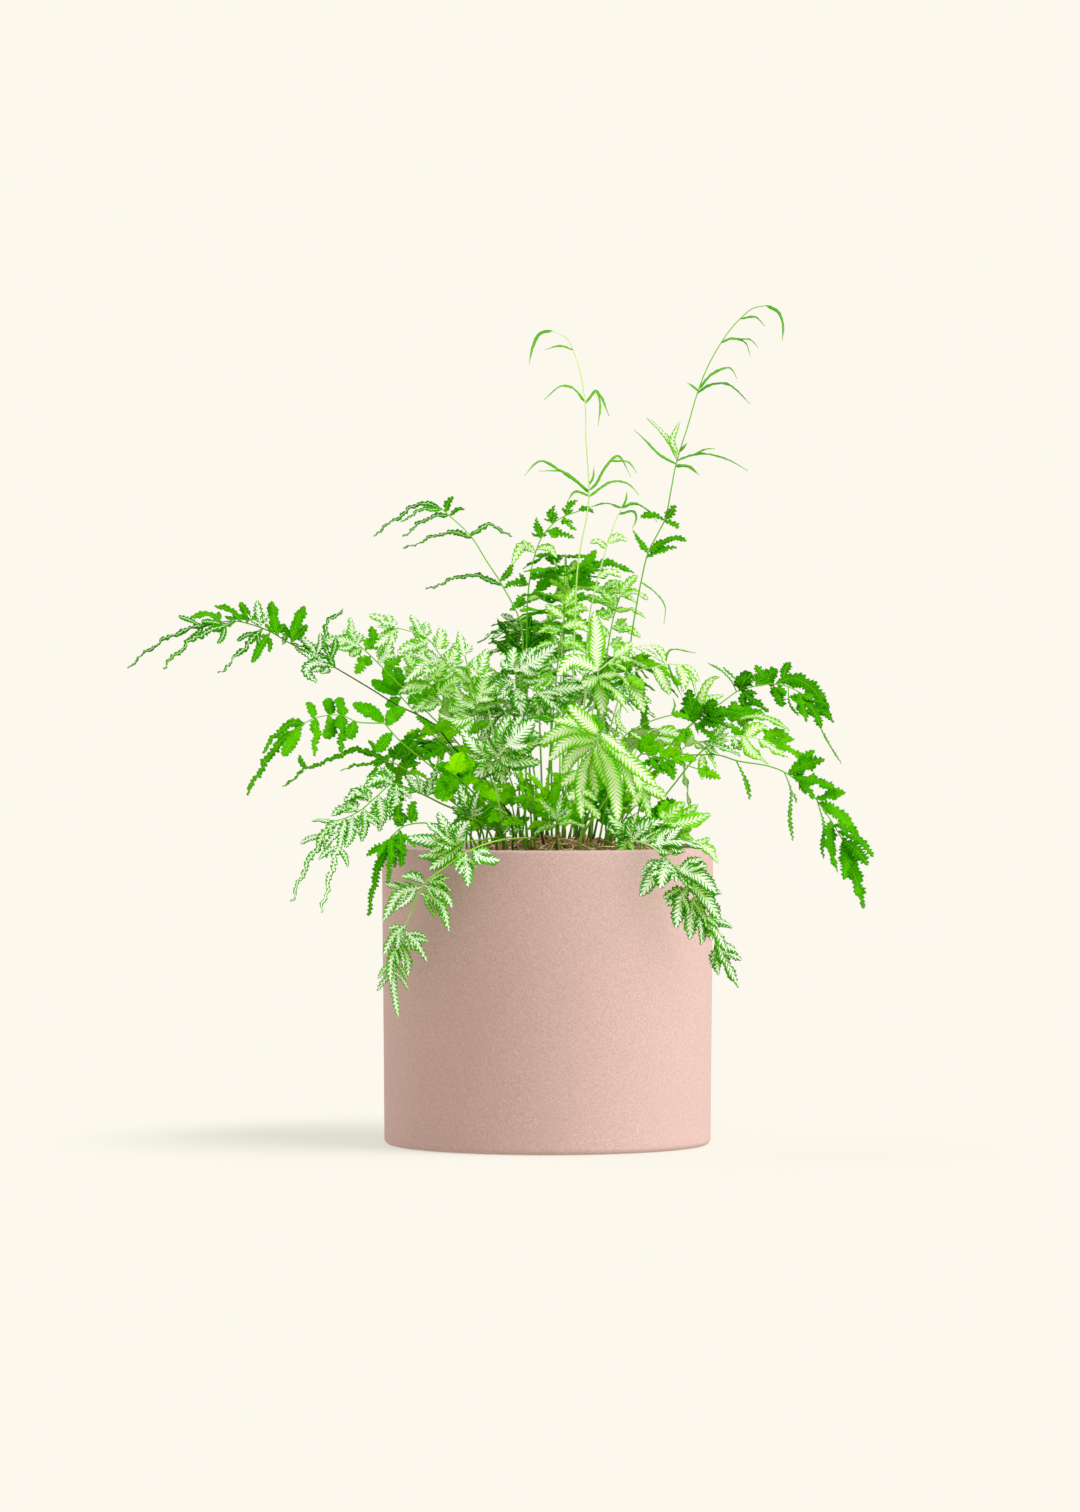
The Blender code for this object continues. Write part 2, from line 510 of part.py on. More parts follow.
     ["G12 738,717 750,712 764,713", "P15 736,719 746,724 744,737", "G11 731,723 735,730 743,736",
      "G12 732,722 733,710 736,701", "G11 735,720 746,706 759,702", "P12 734,720 757,716 776,722 790,731"]),
    ("long_right_frond", (30, -1), 0.5, "green",
     "617,818 637,787 657,762 678,754 690,755 718,755 738,761 768,766 786,773 806,788 816,799 832,822 845,844,-28",
     ["G13 845,844 854,872 864,909", "G14 788,774 806,764 825,759", "G11 795,779 803,762 815,750",
      "G14 792,777 816,779 838,790", "G12 798,782 808,789 814,800", ("F5 784,772 791,790 790,817 793,841",
                                                                    ["F3 790,790 794,795 797,803"]),
      "G14 816,799 832,793 846,792", "G13 819,803 840,814 860,836", "F5 817,801 824,827 822,848 824,859",
      "G13 834,825 848,830 861,843", "G9 838,831 860,840 874,857", "G14 831,821 831,847 837,872",
      "G12 842,838 857,851 868,865", "G10 843,841 846,862 844,880", "F6 736,760 746,782 750,800",
      "P9 702,755 703,766 702,780", "P6 708,755 713,761 716,769"]),
    ("right_pale_frond", (35, 3), 0.5, "pale",
     "624,812 640,793 653,780 673,758 690,744 706,741 733,736 756,738 772,743,16",
     ["G9 772,743 790,750 807,761", "P13 742,737 752,752 769,764", "P12 759,738 772,748 788,757",
      "G13 764,740 778,732 793,741", "V9 733,736 737,744 742,750", "V7 700,742 723,748 741,756",
      "V8 712,739 722,728 731,724", "P11 746,737 756,728 768,727", "P8 686,747 692,738 690,728"]),
    ("right_low_green_frond", (26, -17), 0.4, "green",
     "612,812 626,785 634,765 641,754 656,757 673,761 698,769,-34",
     ["G10 698,769 710,773 721,778", "G13 641,754 646,742 657,735", "D13 652,756 657,765 664,774",
      "D13 666,759 670,769 674,780", "G11 672,761 685,757 697,760", "G12 646,754 655,747 664,746",
      "G12 660,757 668,752 680,751"]),
    ("right_rim_pale_frond", (42, -17), 0.3, "pale",
     "642,832,-26 654,829,-40 664,824,-52",
     ["P14 664,824 690,821 711,814", "P14 663,825 673,812 685,802", "P14 662,825 685,814 698,804",
      "P14 661,826 680,827 692,830", "P13 659,827 680,833 694,841", "G12 661,826 663,812 666,800",
      "D11 659,827 662,806 676,800"]),
    ("front_right_trailing_frond", (31, -33), 0.15, "pale",
     "620,838,-48 632,840,-62 644,843,-76 654,848,-84 665,857,-84 686,882,-80 701,911,-76 715,938,-72",
     ["V12 715,938 727,962 739,988", "V13 630,840 620,826 608,816", "V12 632,840 631,829 633,818",
      "V13 633,840 645,827 664,820", "V14 640,842 658,835 678,836", "V15 650,845 676,841 703,848",
      "V11 628,840 624,848 618,857", "V13 664,857 655,874 640,897", "V11 667,859 663,874 660,889",
      "V12 688,885 680,905 676,929", "V11 694,897 691,917 690,940", "V10 700,909 701,926 701,945",
      "V14 674,868 696,875 717,893", "V13 686,882 704,897 720,920", "V11 703,915 717,932 727,953"]),
    ("small_right_rim_frond", (47, -24), 0.2, "lime",
     "664,838,-44 684,840,-58 699,845,-66",
     ["P11 699,845 709,850 718,864", "P9 695,843 704,841 710,838"]),
    ("crozier_right", (16, -15), 0.2, "lime",
     "598,812 612,788 622,762 625,742,-34", ["C6 625,742 619,737"]),
    ("crozier_left", (-15, -30), 0.2, "dark", "513,832 511,823,-32", ["C3 511,823 508,819"]),
    ("crozier_centre", (-2, -20), 0.2, "dark", "538,826 535,812,-24", ["C3 535,812 532,808"]),
    ("column_right_frond", (14, 17), 0.45, "green",
     "592,770 600,706 607,654 613,620 620,596,28",
     ["G12 620,596 628,583 638,575", "P12 620,600 636,593 648,600", "G11 618,605 607,595 598,588",
      "P12 617,611 632,609 646,618", "G12 615,617 601,612 590,619", "G12 613,628 628,627 641,638",
      "P11 612,635 598,631 587,640", "G12 610,645 624,646 636,657", "G12 608,653 596,651 586,661",
      "G11 606,664 620,665 631,676"]),
    ("column_left_frond", (-1, 14), 0.45, "green",
     "549,770 554,704 558,662 562,630 566,608,18",
     ["G12 566,608 570,597 577,588", "P11 564,617 554,610 545,605", "G12 565,614 577,608 589,610",
      "G12 562,631 549,627 538,633", "P12 563,627 577,623 589,631", "G12 560,646 546,643 534,651",
      "G12 560,643 574,643 587,653", "G12 558,661 545,661 533,672", "P11 558,659 572,663 584,675",
      "G12 556,676 543,680 533,692"]),
    ("inner_green_frond", (0, 3), 0.4, "green",
     "547,792 552,752 556,722 560,702,4",
     ["G13 560,702 571,691 585,685", "G12 558,707 547,696 536,688", "G13 557,712 573,709 590,716",
      "G12 555,721 542,715 528,718", "G12 554,731 568,729 583,739", "G12 553,742 540,739 526,746"]),
    ("silver_inner_left_frond", (-24, 4), 0.45, "green",
     "500,812 481,770 463,736 449,713 437,695 425,677,6",
     ["V11 425,677 413,665 404,651", "V11 427,681 440,669 446,653", "V11 431,687 415,685 400,692",
      "V12 437,695 450,685 462,671", "V11 442,702 427,703 412,712", "V12 449,712 463,705 477,699",
      "G12 455,722 441,725 428,736", "G12 461,732 475,727 489,722"]),
    ("left_inner_green_frond", (-23, 9), 0.5, "green",
     "498,815 481,786 463,762 447,746 431,734,16",
     ["G12 431,734 418,731 404,738", "D12 434,736 427,724 415,717", "G12 440,741 452,733 462,722",
      "D12 447,745 434,753 420,759", "G12 456,754 470,749 485,744", "G12 463,762 450,771 437,781"]),
    ("low_centre_green_frond", (19, -12), 0.2, "green",
     "591,822 593,804 594,788,-16",
     ["D13 594,788 604,782 615,786", "G12 593,793 583,784 572,780", "D12 593,799 606,800 618,809",
      "G12 592,806 580,803 569,810", "D12 591,813 603,816 612,826", "D11 590,818 579,819 571,828"]),
    ("low_star_frond", (4, -27), 0.15, "green",
     "556,828,-32 557,819,-36",
     ["V10 557,819 559,806 562,794", "P10 557,820 548,808 539,799", "P10 557,822 568,811 578,802",
      "P10 557,824 571,822 585,828", "P9 556,826 545,826 534,834"]),
    ("low_slim_frond", (-5, -13), 0.2, "green",
     "541,826 545,813 547,800,-18",
     ["G11 547,800 532,790 514,783", "G11 547,801 540,785 524,770", "D11 546,806 556,791 563,776",
      "G10 545,813 533,807 521,804"]),
    ("low_left_green_frond", (-27, 20), 0.3, "lime",
     "488,826 489,812 492,797,26",
     ["G20 492,797 484,786 476,776", "G20 490,806 503,797 514,786", "G18 489,815 477,808 468,800",
      "G18 489,817 500,818 511,812"]),
    ("low_mid_green_frond", (5, 13), 0.3, "green",
     "558,826 562,806 566,786,16",
     ["G12 566,786 557,776 546,768", "G12 565,792 577,784 590,780", "G12 563,801 550,797 538,800",
      "D12 562,808 573,806 585,812"]),
    ("low_right_green_frond", (26, 14), 0.3, "green",
     "606,826 614,806 622,788,18",
     ["G12 622,788 632,779 643,774", "G12 620,794 609,786 600,777", "D12 617,802 630,800 642,806",
      "G12 613,810 603,806 595,812"]),
]

# The far side of the plant: arching fronds set out by bearing. Name, foot (mm), bearing in
# degrees from +X towards +Y, reach, rise and drop at the tip (mm), kind, pairs of blades,
# length of the longest blade (mm) and the stalk.
FAR_FRONDS = [
    ("rear_frond_1", (20, 24), 74, 100, 86, 46, "G", 5, 26, "green"),
    ("rear_frond_2", (12, 30), 83, 135, 76, 58, "V", 5, 28, "pale"),
    ("rear_frond_3", (2, 33), 91, 112, 110, 40, "G", 5, 26, "green"),
    ("rear_frond_4", (-9, 31), 100, 140, 68, 62, "V", 5, 28, "green"),
    ("rear_frond_5", (-19, 28), 108, 104, 84, 48, "P", 5, 25, "pale"),
    ("rear_frond_6", (7, 24), 88, 70, 132, 30, "D", 5, 24, "dark"),
    ("rear_frond_7", (-2, 20), 100, 62, 100, 36, "V", 5, 24, "green"),
    ("rear_frond_8", (30, 22), 60, 74, 54, 40, "P", 4, 22, "pale"),
    ("rear_frond_9", (-30, 22), 124, 78, 52, 38, "D", 4, 22, "dark"),
]


def far_entry(name, foot, bearing, reach, rise, drop, kind, pairs, longest, stalk):
    """One arching frond of the far side, plotted on the same grid as the rest."""
    a = math.radians(bearing)
    out = Vector((math.cos(a), math.sin(a), 0.0))
    across = Vector((-math.sin(a), math.cos(a), 0.0))
    base = Vector((foot[0] * MM, foot[1] * MM, ground(foot[0] * MM, foot[1] * MM)))
    arc = [(0.10, 0.40), (0.24, 0.74), (0.42, 0.95), (0.60, 1.0), (0.78, 0.93)]
    stops = [base + out * (f * reach * MM) + Vector((0, 0, g * rise * MM)) for f, g in arc]
    seed = bearing

    def place(p, after=None):
        column, row = unplot(p)
        if after is None:
            return "%.1f,%.1f,%.1f" % (column, row, p.y / MM)
        return "%.1f,%.1f,%.1f" % (column, row, (p.y - after.y) / MM)

    course = " ".join(place(p) for p in stops)
    stalk_path = Branch("R", 1.5 * MM, [base] + stops, Vector((0, 0, 1)), 0)
    blades = []
    end = stops[-1]
    way = stalk_path.tangent(stalk_path.length)
    tip = base + out * (reach * MM) + Vector((0, 0, (rise - drop) * MM))
    middle = end.lerp(tip, 0.5) + Vector((0, 0, 0.006))
    blades.append("%s12 %s %s %s" % (kind, place(end, end), place(middle, end), place(tip, end)))
    for i in range(pairs):
        s = stalk_path.length * (1.0 - 0.04 - 0.44 * i / pairs)
        p, t, _, _ = stalk_path.frame(s)
        size = longest * MM * (0.78 + 0.22 * math.sin(2.2 * (i + 1) / pairs + 0.6))
        for hand in (-1, 1):
            jitter = 0.85 + 0.3 * scatter(seed + i * 2.0 + hand)
            flat = (across * hand * 0.9 + t * 0.55).normalized() * size * jitter
            sag = 0.18 + 0.14 * scatter(seed + i * 3.0 + hand * 0.5)
            mid = p + flat * 0.5 + Vector((0, 0, -sag * 0.35 * size))
            far = p + flat + Vector((0, 0, -sag * 1.6 * size))
            blades.append("%s%.1f %s %s %s" % (kind, 11.0 + 3.0 * jitter, place(p, p), place(mid, p), place(far, p)))
            if i == pairs - 1 and kind != "D":
                low = p + (across * hand * 0.75 - out * 0.05).normalized() * size * 0.55 + Vector((0, 0, -0.55 * size))
                half = p.lerp(low, 0.5) + Vector((0, 0, 0.1 * size))
                blades.append("%s9 %s %s %s" % (kind, place(p, p), place(half, p), place(low, p)))
    facing = (out.x * 0.35, max(0.06, out.y * 0.35), 0.93)
    return (name, foot, 0.0, stalk, course, blades, facing)


def all_entries():
    return FRONDS + [far_entry(*row) for row in FAR_FRONDS]


# ---- turned pieces ----------------------------------------------------------------
def arc(cx, cz, radius, start, stop, steps):
    """Points of a circular arc in the (radius, height) plane, angles in degrees."""
    out = []
    for i in range(steps + 1):
        a = math.radians(start + (stop - start) * i / steps)
        out.append((cx + radius * math.cos(a), cz + radius * math.sin(a)))
    return out


def pot_radius(z):
    return POT_FOOT_RADIUS + (POT_RIM_RADIUS - POT_FOOT_RADIUS) * z / POT_HEIGHT


def pot_profile():
    """From the middle of the foot, out, up, over the rim and down to the inner floor."""
    outer, inner = FOOT_ROUNDING, RIM_ROUNDING
    points = [(0.0, 0.0)]
    points += arc(pot_radius(outer) - outer, outer, outer, -90, 0, 3)
    points += [(pot_radius(POT_HEIGHT * 0.5), POT_HEIGHT * 0.5)]
    points += arc(POT_RIM_RADIUS - inner, POT_HEIGHT - inner, inner, 0, 90, 3)
    points += arc(POT_RIM_RADIUS - POT_WALL + inner, POT_HEIGHT - inner, inner, 90, 180, 3)
    points += arc(pot_radius(POT_FLOOR) - POT_WALL - 4 * MM, POT_FLOOR + 4 * MM, 4 * MM, 0, -90, 2)
    points += [(0.0, POT_FLOOR)]
    return points


def soil_profile():
    side = [(pot_radius(z) - POT_WALL - GAP, z) for z in (POT_FLOOR + 5 * MM, 0.066, SOIL_EDGE_HEIGHT - 1.2 * MM)]
    points = [(0.0, POT_FLOOR + GAP), (side[0][0] - 4.6 * MM, POT_FLOOR + GAP)] + side
    for f in (0.985, 0.86, 0.66, 0.44, 0.22):
        r = f * (SOIL_RADIUS - GAP)
        points.append((r, soil_height(r, 0.0)))
    points.append((0.0, soil_height(0.0, 0.0)))
    return points


def turned(profile, sides):
    """A closed solid of revolution; the profile starts and ends on the axis."""
    verts, faces, rings = [], [], []
    for r, z in profile:
        if r <= 1e-9:
            rings.append([len(verts)])
            verts.append(Vector((0.0, 0.0, z)))
        else:
            rings.append(list(range(len(verts), len(verts) + sides)))
            for i in range(sides):
                a = 2 * math.pi * i / sides
                verts.append(Vector((r * math.cos(a), r * math.sin(a), z)))
    for low, high in zip(rings, rings[1:]):
        for i in range(sides):
            j = (i + 1) % sides
            if len(low) == 1:
                faces.append((low[0], high[j], high[i]))
            elif len(high) == 1:
                faces.append((low[i], low[j], high[0]))
            else:
                faces.append((low[i], low[j], high[j], high[i]))
    return verts, faces


def crown_solid():
    """The fibrous clump: a low lumpy dome that follows the mix below it."""
    rings, sides = 5, 26
    edge = 0.985
    verts = [Vector((CROWN_CENTRE[0], CROWN_CENTRE[1], 0.0))]
    for k in range(1, rings + 1):
        for i in range(sides):
            a = 2 * math.pi * i / sides
            f = edge * k / rings * (1.0 if k < rings else 1.0 - 0.02 * math.sin(5 * a))
            verts.append(Vector((CROWN_CENTRE[0] + CROWN_HALF_WIDTH * f * math.cos(a),
                                 CROWN_CENTRE[1] + CROWN_HALF_DEPTH * f * math.sin(a), 0.0)))
    top, low = [], []
    for v in verts:
        floor = soil_height(v.x, v.y) + GAP
        top.append(Vector((v.x, v.y, floor + max(crown_lift(v.x, v.y), 1.2 * MM))))
        low.append(Vector((v.x, v.y, floor)))
    n = len(verts)
    faces = []
    for i in range(sides):
        j = (i + 1) % sides
        faces.append((0, 1 + i, 1 + j))
        faces.append((n, n + 1 + j, n + 1 + i))
        for k in range(rings - 1):
            a, b = 1 + k * sides + i, 1 + k * sides + j
            c, d = b + sides, a + sides
            faces.append((a, d, c, b))
            faces.append((n + a, n + b, n + c, n + d))
        a, b = 1 + (rings - 1) * sides + i, 1 + (rings - 1) * sides + j
        faces.append((a, n + a, n + b, b))
    return top + low, faces


# ---- fronds as solids -----------------------------------------------------------
def stalk_stations(branch):
    """Distances along a stalk where its section is set: its ends, its bends, its slots."""
    fixed = [0.0, branch.length]
    for s in branch.slots:
        fixed += [s - SLOT_HALF, s + SLOT_HALF]
    fixed = sorted(x for x in fixed if 0.0 <= x <= branch.length)
    out = [fixed[0]]
    for b in fixed[1:]:
        a = out[-1]
        if b - a > 4 * MM:
            turn = 0.0
            steps = 8
            last = branch.tangent(a)
            for i in range(1, steps + 1):
                t = branch.tangent(a + (b - a) * i / steps)
                turn += last.angle(t, 0.0)
                last = t
            parts = max(1, int(round(turn / 0.42)), int((b - a) / (42 * MM)) + 1)
            for i in range(1, parts):
                out.append(a + (b - a) * i / parts)
        if b - out[-1] > 0.15 * MM:
            out.append(b)
    return out


def blade_stations(branch):
    size, half = branch.length, branch.width / 2
    if branch.kind == "C":
        return [(size * i / 9, 0.55 * MM) for i in range(1, 10)]
    if branch.kind == "F":
        steps = 2 if size < 14 * MM else 3
        return [(size * i / steps, max(0.45 * MM, half * (0.9 if i < steps else 0.35))) for i in range(1, steps + 1)]
    foot = max(1.7 * MM, size * 0.11)
    if size < 15 * MM:
        return [(foot, half * 0.6), (size * 0.5, half), (size, 0.35 * MM)]
    return [(foot, half * 0.55), (size * 0.34, half * 0.95), (size * 0.70, half * 0.85), (size, 0.35 * MM)]


def strips(root):
    """The frond's mid-surface: points, their normals, quads, whose quad each is, and the
    share of that blade's length at the quad's two ends."""
    points, normals, quads, owners, shares = [], [], [], [], []

    def section(branch, s, half, turned=1.0, root_normal=None):
        p, t, _, n = branch.frame(s)
        n = n * turned
        if root_normal is not None:
            n = n + (root_normal - t * root_normal.dot(t)) * 0.8
            n = (n - t * n.dot(t)).normalized()
        side = n.cross(t)
        points.extend((p + side * half, p - side * half))
        normals.extend((n, n))
        return len(points) - 2, len(points) - 1

    def lay(branch, left, right):
        turned, root_normal = 1.0, None
        if branch.kind == "R":
            stations = [(s, branch.width / 2 * (1.0 - 0.3 * s / branch.length)) for s in stalk_stations(branch)]
        else:
            stations = blade_stations(branch)
        rows = []
        if left is None:
            left, right = section(branch, *stations[0])
            stations = stations[1:]
            rows.append((0.0, left, right))
        else:
            stations = [x for x in stations if x[0] > 0.9 * MM]
            rows.append((0.0, left, right))
            # the same face stays up where the blade joins the stalk
            if (points[left] - points[right]).dot(branch.frame(1.0 * MM)[2]) < 0:
                turned = -1.0
            if branch.kind not in "RC":
                root_normal = normals[left] + normals[right]
        for s, half in stations:
            a, b = section(branch, s, half, turned, root_normal)
            root_normal = None
            quads.append((rows[-1][1], rows[-1][2], b, a))
            owners.append(branch.seed)
            shares.append((rows[-1][0] / branch.length, s / branch.length))
            rows.append((s, a, b))
        if branch.kind != "R":
            return
        for s, hand, child in branch.placed:
            i = min(range(len(rows) - 1), key=lambda i: abs((rows[i][0] + rows[i + 1][0]) / 2 - s))
            if hand > 0:
                lay(child, rows[i][1], rows[i + 1][1])
            else:
                lay(child, rows[i + 1][2], rows[i][2])
        for child in branch.ends:
            lay(child, rows[-1][1], rows[-1][2])

    lay(root, None, None)
    return points, normals, quads, owners, shares


def halves(points, quad):
    """The quad as two triangles, split along the diagonal that folds it least."""
    a, b, c, d = quad
    best = None
    for pair in (((a, b, c), (a, c, d)), ((a, b, d), (b, c, d))):
        ways = [(points[j] - points[i]).cross(points[k] - points[i]) for i, j, k in pair]
        fit = ways[0].normalized().dot(ways[1].normalized())
        if best is None or fit > best[0] + 0.02:
            best = (fit, pair)
    return best[1]


def thick(points, normals, quads, thickness, spread=0.0):
    """Gives the mid-surface its thickness, as one closed solid."""
    n = len(points)
    h = thickness / 2
    top = [p + m * h for p, m in zip(points, normals)]
    low = [p - m * h for p, m in zip(points, normals)]
    if spread:
        shove = [Vector((0, 0, 0)) for _ in points]
        for a, b, c, d in quads:
            for x, y in ((a, b), (b, a), (c, d), (d, c)):
                way = points[x] - points[y]
                if way.length > 1e-9:
                    shove[x] += way.normalized()
        for i, way in enumerate(shove):
            if way.length > 1e-9:
                way = way.normalized() * spread
                top[i] += way
                low[i] += way
    faces, sources = [], []
    for k, q in enumerate(quads):
        for tri in halves(points, q):
            faces += [tri, tuple(i + n for i in reversed(tri))]
            sources += [k, k]
    used = {}
    for q in quads:
        for i in range(4):
            a, b = q[i], q[(i + 1) % 4]
            used[(a, b)] = used.get((a, b), 0) + 1
    for k, q in enumerate(quads):
        for i in range(4):
            a, b = q[i], q[(i + 1) % 4]
            if (b, a) not in used:
                faces.append((b, a, a + n, b + n))
                sources.append(k)
    return top + low, faces, sources


# shares along and across a quad at which a blade is compared with its neighbours
SAMPLES = [(a, b) for a in (0.12, 0.37, 0.62, 0.87) for b in (0.1, 0.5, 0.9)]
LIFTS = np.array([0.0, 1.2, -1.2, 2.4, -2.4, 3.6, -3.6, 4.8, -4.8, 6.0, -6.0, 7.5, -7.5, 9.0, -9.0]) * MM


def untangle(root):
    """Finds how far each blade of a frond is lifted so that no blade runs through another."""
    points, _, quads, owners, shares = strips(root)
    points = np.array([p[:] for p in points])
    blades = {}
    for quad, owner, (low, high) in zip(quads, owners, shares):
        blades.setdefault(owner, []).append((points[list(quad)], lift_share(low), lift_share(high)))
    kinds = {}

    def walk(branch):
        kinds[branch.seed] = branch.kind
        for _, child in branch.children:
            walk(child)

    walk(root)
    movable = [k for k in blades if kinds[k] not in "RC"]
    corners, corner_share, samples, sample_share, weights, boxes, faces = {}, {}, {}, {}, {}, {}, {}
    for k, pieces in blades.items():
        tri, share, dots, dot_share, weight = [], [], [], [], []
        normal = np.zeros(3)
        for p, low, high in pieces:
            level = np.array([low, low, high, high])
            for pick in ((0, 1, 2), (0, 2, 3)):
                tri.append(p[list(pick)])
                share.append(level[list(pick)])
            cross = np.cross(p[2] - p[0], p[3] - p[1])
            normal = normal + (cross if cross @ normal >= 0 else -cross)
            for a, b in SAMPLES:
                dots.append((p[0] * (1 - b) + p[1] * b) * (1 - a) + (p[3] * (1 - b) + p[2] * b) * a)
                dot_share.append(low * (1 - a) + high * a)
                weight.append(np.linalg.norm(cross) / 2 / len(SAMPLES) / MM ** 2)
        corners[k], corner_share[k] = np.array(tri), np.array(share)
        samples[k], sample_share[k], weights[k] = np.array(dots), np.array(dot_share), np.array(weight)
        faces[k] = normal / max(np.linalg.norm(normal), 1e-12)
        flat = points[[i for quad, owner in zip(quads, owners) if owner == k for i in quad]][:, [0, 2]]
        boxes[k] = (flat.min(0) - 1.5 * MM, flat.max(0) + 1.5 * MM)

    near = {
        k: [j for j in blades if j != k and (boxes[k][0] < boxes[j][1]).all() and (boxes[j][0] < boxes[k][1]).all()]
        for k in blades
    }
    lifts = dict.fromkeys(blades, 0.0)

    def cost(dots, weight, tri, face):
        """Area of the sampled blade that lies within the other's thickness, for each lift."""
        first = np.cross(face, (0.3, 0.2, 0.93))
        first /= np.linalg.norm(first)
        second = np.cross(face, first)
        p = np.stack((dots @ first, dots @ second, dots @ face), -1)[:, :, None]
        q = np.stack((tri @ first, tri @ second, tri @ face), -1)[:, None]
        a, b, c = q[..., 0, :], q[..., 1, :], q[..., 2, :]
        u, v, w = b - a, c - a, p - a
        area = u[..., 0] * v[..., 1] - u[..., 1] * v[..., 0]
        area = np.where(np.abs(area) < 1e-12, 1e-12, area)
        s = (w[..., 0] * v[..., 1] - w[..., 1] * v[..., 0]) / area
        t = (u[..., 0] * w[..., 1] - u[..., 1] * w[..., 0]) / area
        gap = np.abs(w[..., 2] - s * u[..., 2] - t * v[..., 2])
        inside = (s >= -0.02) & (t >= -0.02) & (s + t <= 1.02)
        depth = np.where(inside, np.clip(1.0 - gap / (1.1 * MM), 0.0, 1.0), 0.0).max(2)
        return (depth * weight).sum(1)

    def lifted(values, share, amounts):
        out = np.repeat(values[None], len(amounts), 0)
        out[..., 1] += share[None] * amounts.reshape((-1,) + (1,) * share.ndim)
        return out

    def total(k, amounts):
        value = np.abs(amounts) / MM * 0.12
        for j in near[k]:
            there = np.array([lifts[j]])
            value = value + cost(lifted(samples[k], sample_share[k], amounts), weights[k],
                                 lifted(corners[j], corner_share[j], there), faces[j])
            value = value + cost(lifted(samples[j], sample_share[j], there), weights[j],
                                 lifted(corners[k], corner_share[k], amounts), faces[k])
        return value

    for _ in range(3):
        moved = False
        for k in movable:
            now = total(k, np.array([lifts[k]]))[0]
            if now < 0.6:
                continue
            values = total(k, LIFTS)
            best = int(values.argmin())
            if values[best] < now - 0.3:
                lifts[k], moved = float(LIFTS[best]), True
        if not moved:
            break
    return {k: (lift, 1.0) for k, lift in lifts.items() if lift}


TWEAKS = [(3.5 * MM, 1.0), (-3.5 * MM, 1.0), (7 * MM, 1.0), (-7 * MM, 1.0), (11 * MM, 0.95), (-11 * MM, 0.95),
          (0.0, 0.72), (5 * MM, 0.72), (-5 * MM, 0.72), (9 * MM, 0.6), (-9 * MM, 0.6), (0.0, 0.45), (4 * MM, 0.35),
          (-4 * MM, 0.35), (0.0, 0.0)]
SHIFTS = [0.0]
for _step in range(1, 9):
    SHIFTS += [_step * 3.5 * MM, -_step * 3.5 * MM]


def lay_out():
    """Lays the fronds one after another, each moved in depth until it touches nothing."""
    pot = turned(pot_profile(), POT_SIDES)
    soil = turned(soil_profile(), 32)
    crown = crown_solid()
    trees = []

    def add_tree(verts, faces):
        xs = [[v[k] for v in verts] for k in range(3)]
        box = [(min(x), max(x)) for x in xs]
        trees.append((box, BVHTree.FromPolygons([tuple(v) for v in verts], faces)))

    for verts, faces in (pot, soil, crown):
        add_tree(verts, faces)

    def hits(root):
        points, normals, quads, owners, _ = strips(root)
        verts, faces, sources = thick(points, normals, quads, BLADE_THICKNESS + 2 * CLEARANCE, CLEARANCE)
        owner = [owners[k] for k in sources]
        tree = None
        found = set()
        box = [(min(v[k] for v in verts), max(v[k] for v in verts)) for k in range(3)]
        for index, (other, their) in enumerate(trees):
            if any(box[k][0] > other[k][1] or box[k][1] < other[k][0] for k in range(3)):
                continue
            if tree is None:
                tree = BVHTree.FromPolygons([tuple(v) for v in verts], faces)
            for mine, _ in tree.overlap(their):
                found.add(owner[mine])
        return found

    laid = []
    for entry in all_entries():
        best = None
        for shift in SHIFTS:
            found = hits(grow(entry, shift, {}))
            score = (100 if 0 in found else 0) + len(found) + abs(shift) / MM * 0.12
            if best is None or score < best[0]:
                best = (score, shift, found)
            if not found:
                break
        _, shift, found = best
        spread = untangle(grow(entry, shift, {}))
        state, tweak = {}, dict(spread)
        for _ in range(40):
            found = hits(grow(entry, shift, tweak))
            if not found - {0}:
                break
            for seed in found - {0}:
                state[seed] = min(state.get(seed, -1) + 1, len(TWEAKS) - 1)
                more, scale = TWEAKS[state[seed]]
                tweak[seed] = (spread.get(seed, (0.0, 1.0))[0] + more, scale)
        root = grow(entry, shift, tweak)
        points, normals, quads, _, _ = strips(root)
        verts, faces, _ = thick(points, normals, quads, BLADE_THICKNESS)
        add_tree(verts, faces)
        laid.append((entry[0], root, verts, faces, shift, tweak, 0 in found))
    return pot, soil, crown, laid


# ---- the objects ------------------------------------------------------------------
def material(name, colour, roughness):
    m = bpy.data.materials.new(name)
    m.use_nodes = True
    shader = m.node_tree.nodes["Principled BSDF"]
    shader.inputs["Base Color"].default_value = (*colour, 1.0)
    shader.inputs["Roughness"].default_value = roughness
    shader.inputs["Metallic"].default_value = 0.0
    return m


def add_object(name, verts, faces, finish, smooth=False):
    mesh = bpy.data.meshes.new(name)
    mesh.from_pydata([tuple(v) for v in verts], [], faces)
    work = bmesh.new()
    work.from_mesh(mesh)
    bmesh.ops.recalc_face_normals(work, faces=work.faces)
    work.to_mesh(mesh)
    work.free()
    obj = bpy.data.objects.new(name, mesh)
    bpy.context.scene.collection.objects.link(obj)
    mesh.materials.append(finish)
    if smooth:
        mesh.shade_smooth()
        mesh.set_sharp_from_angle(angle=math.radians(40))
    return obj


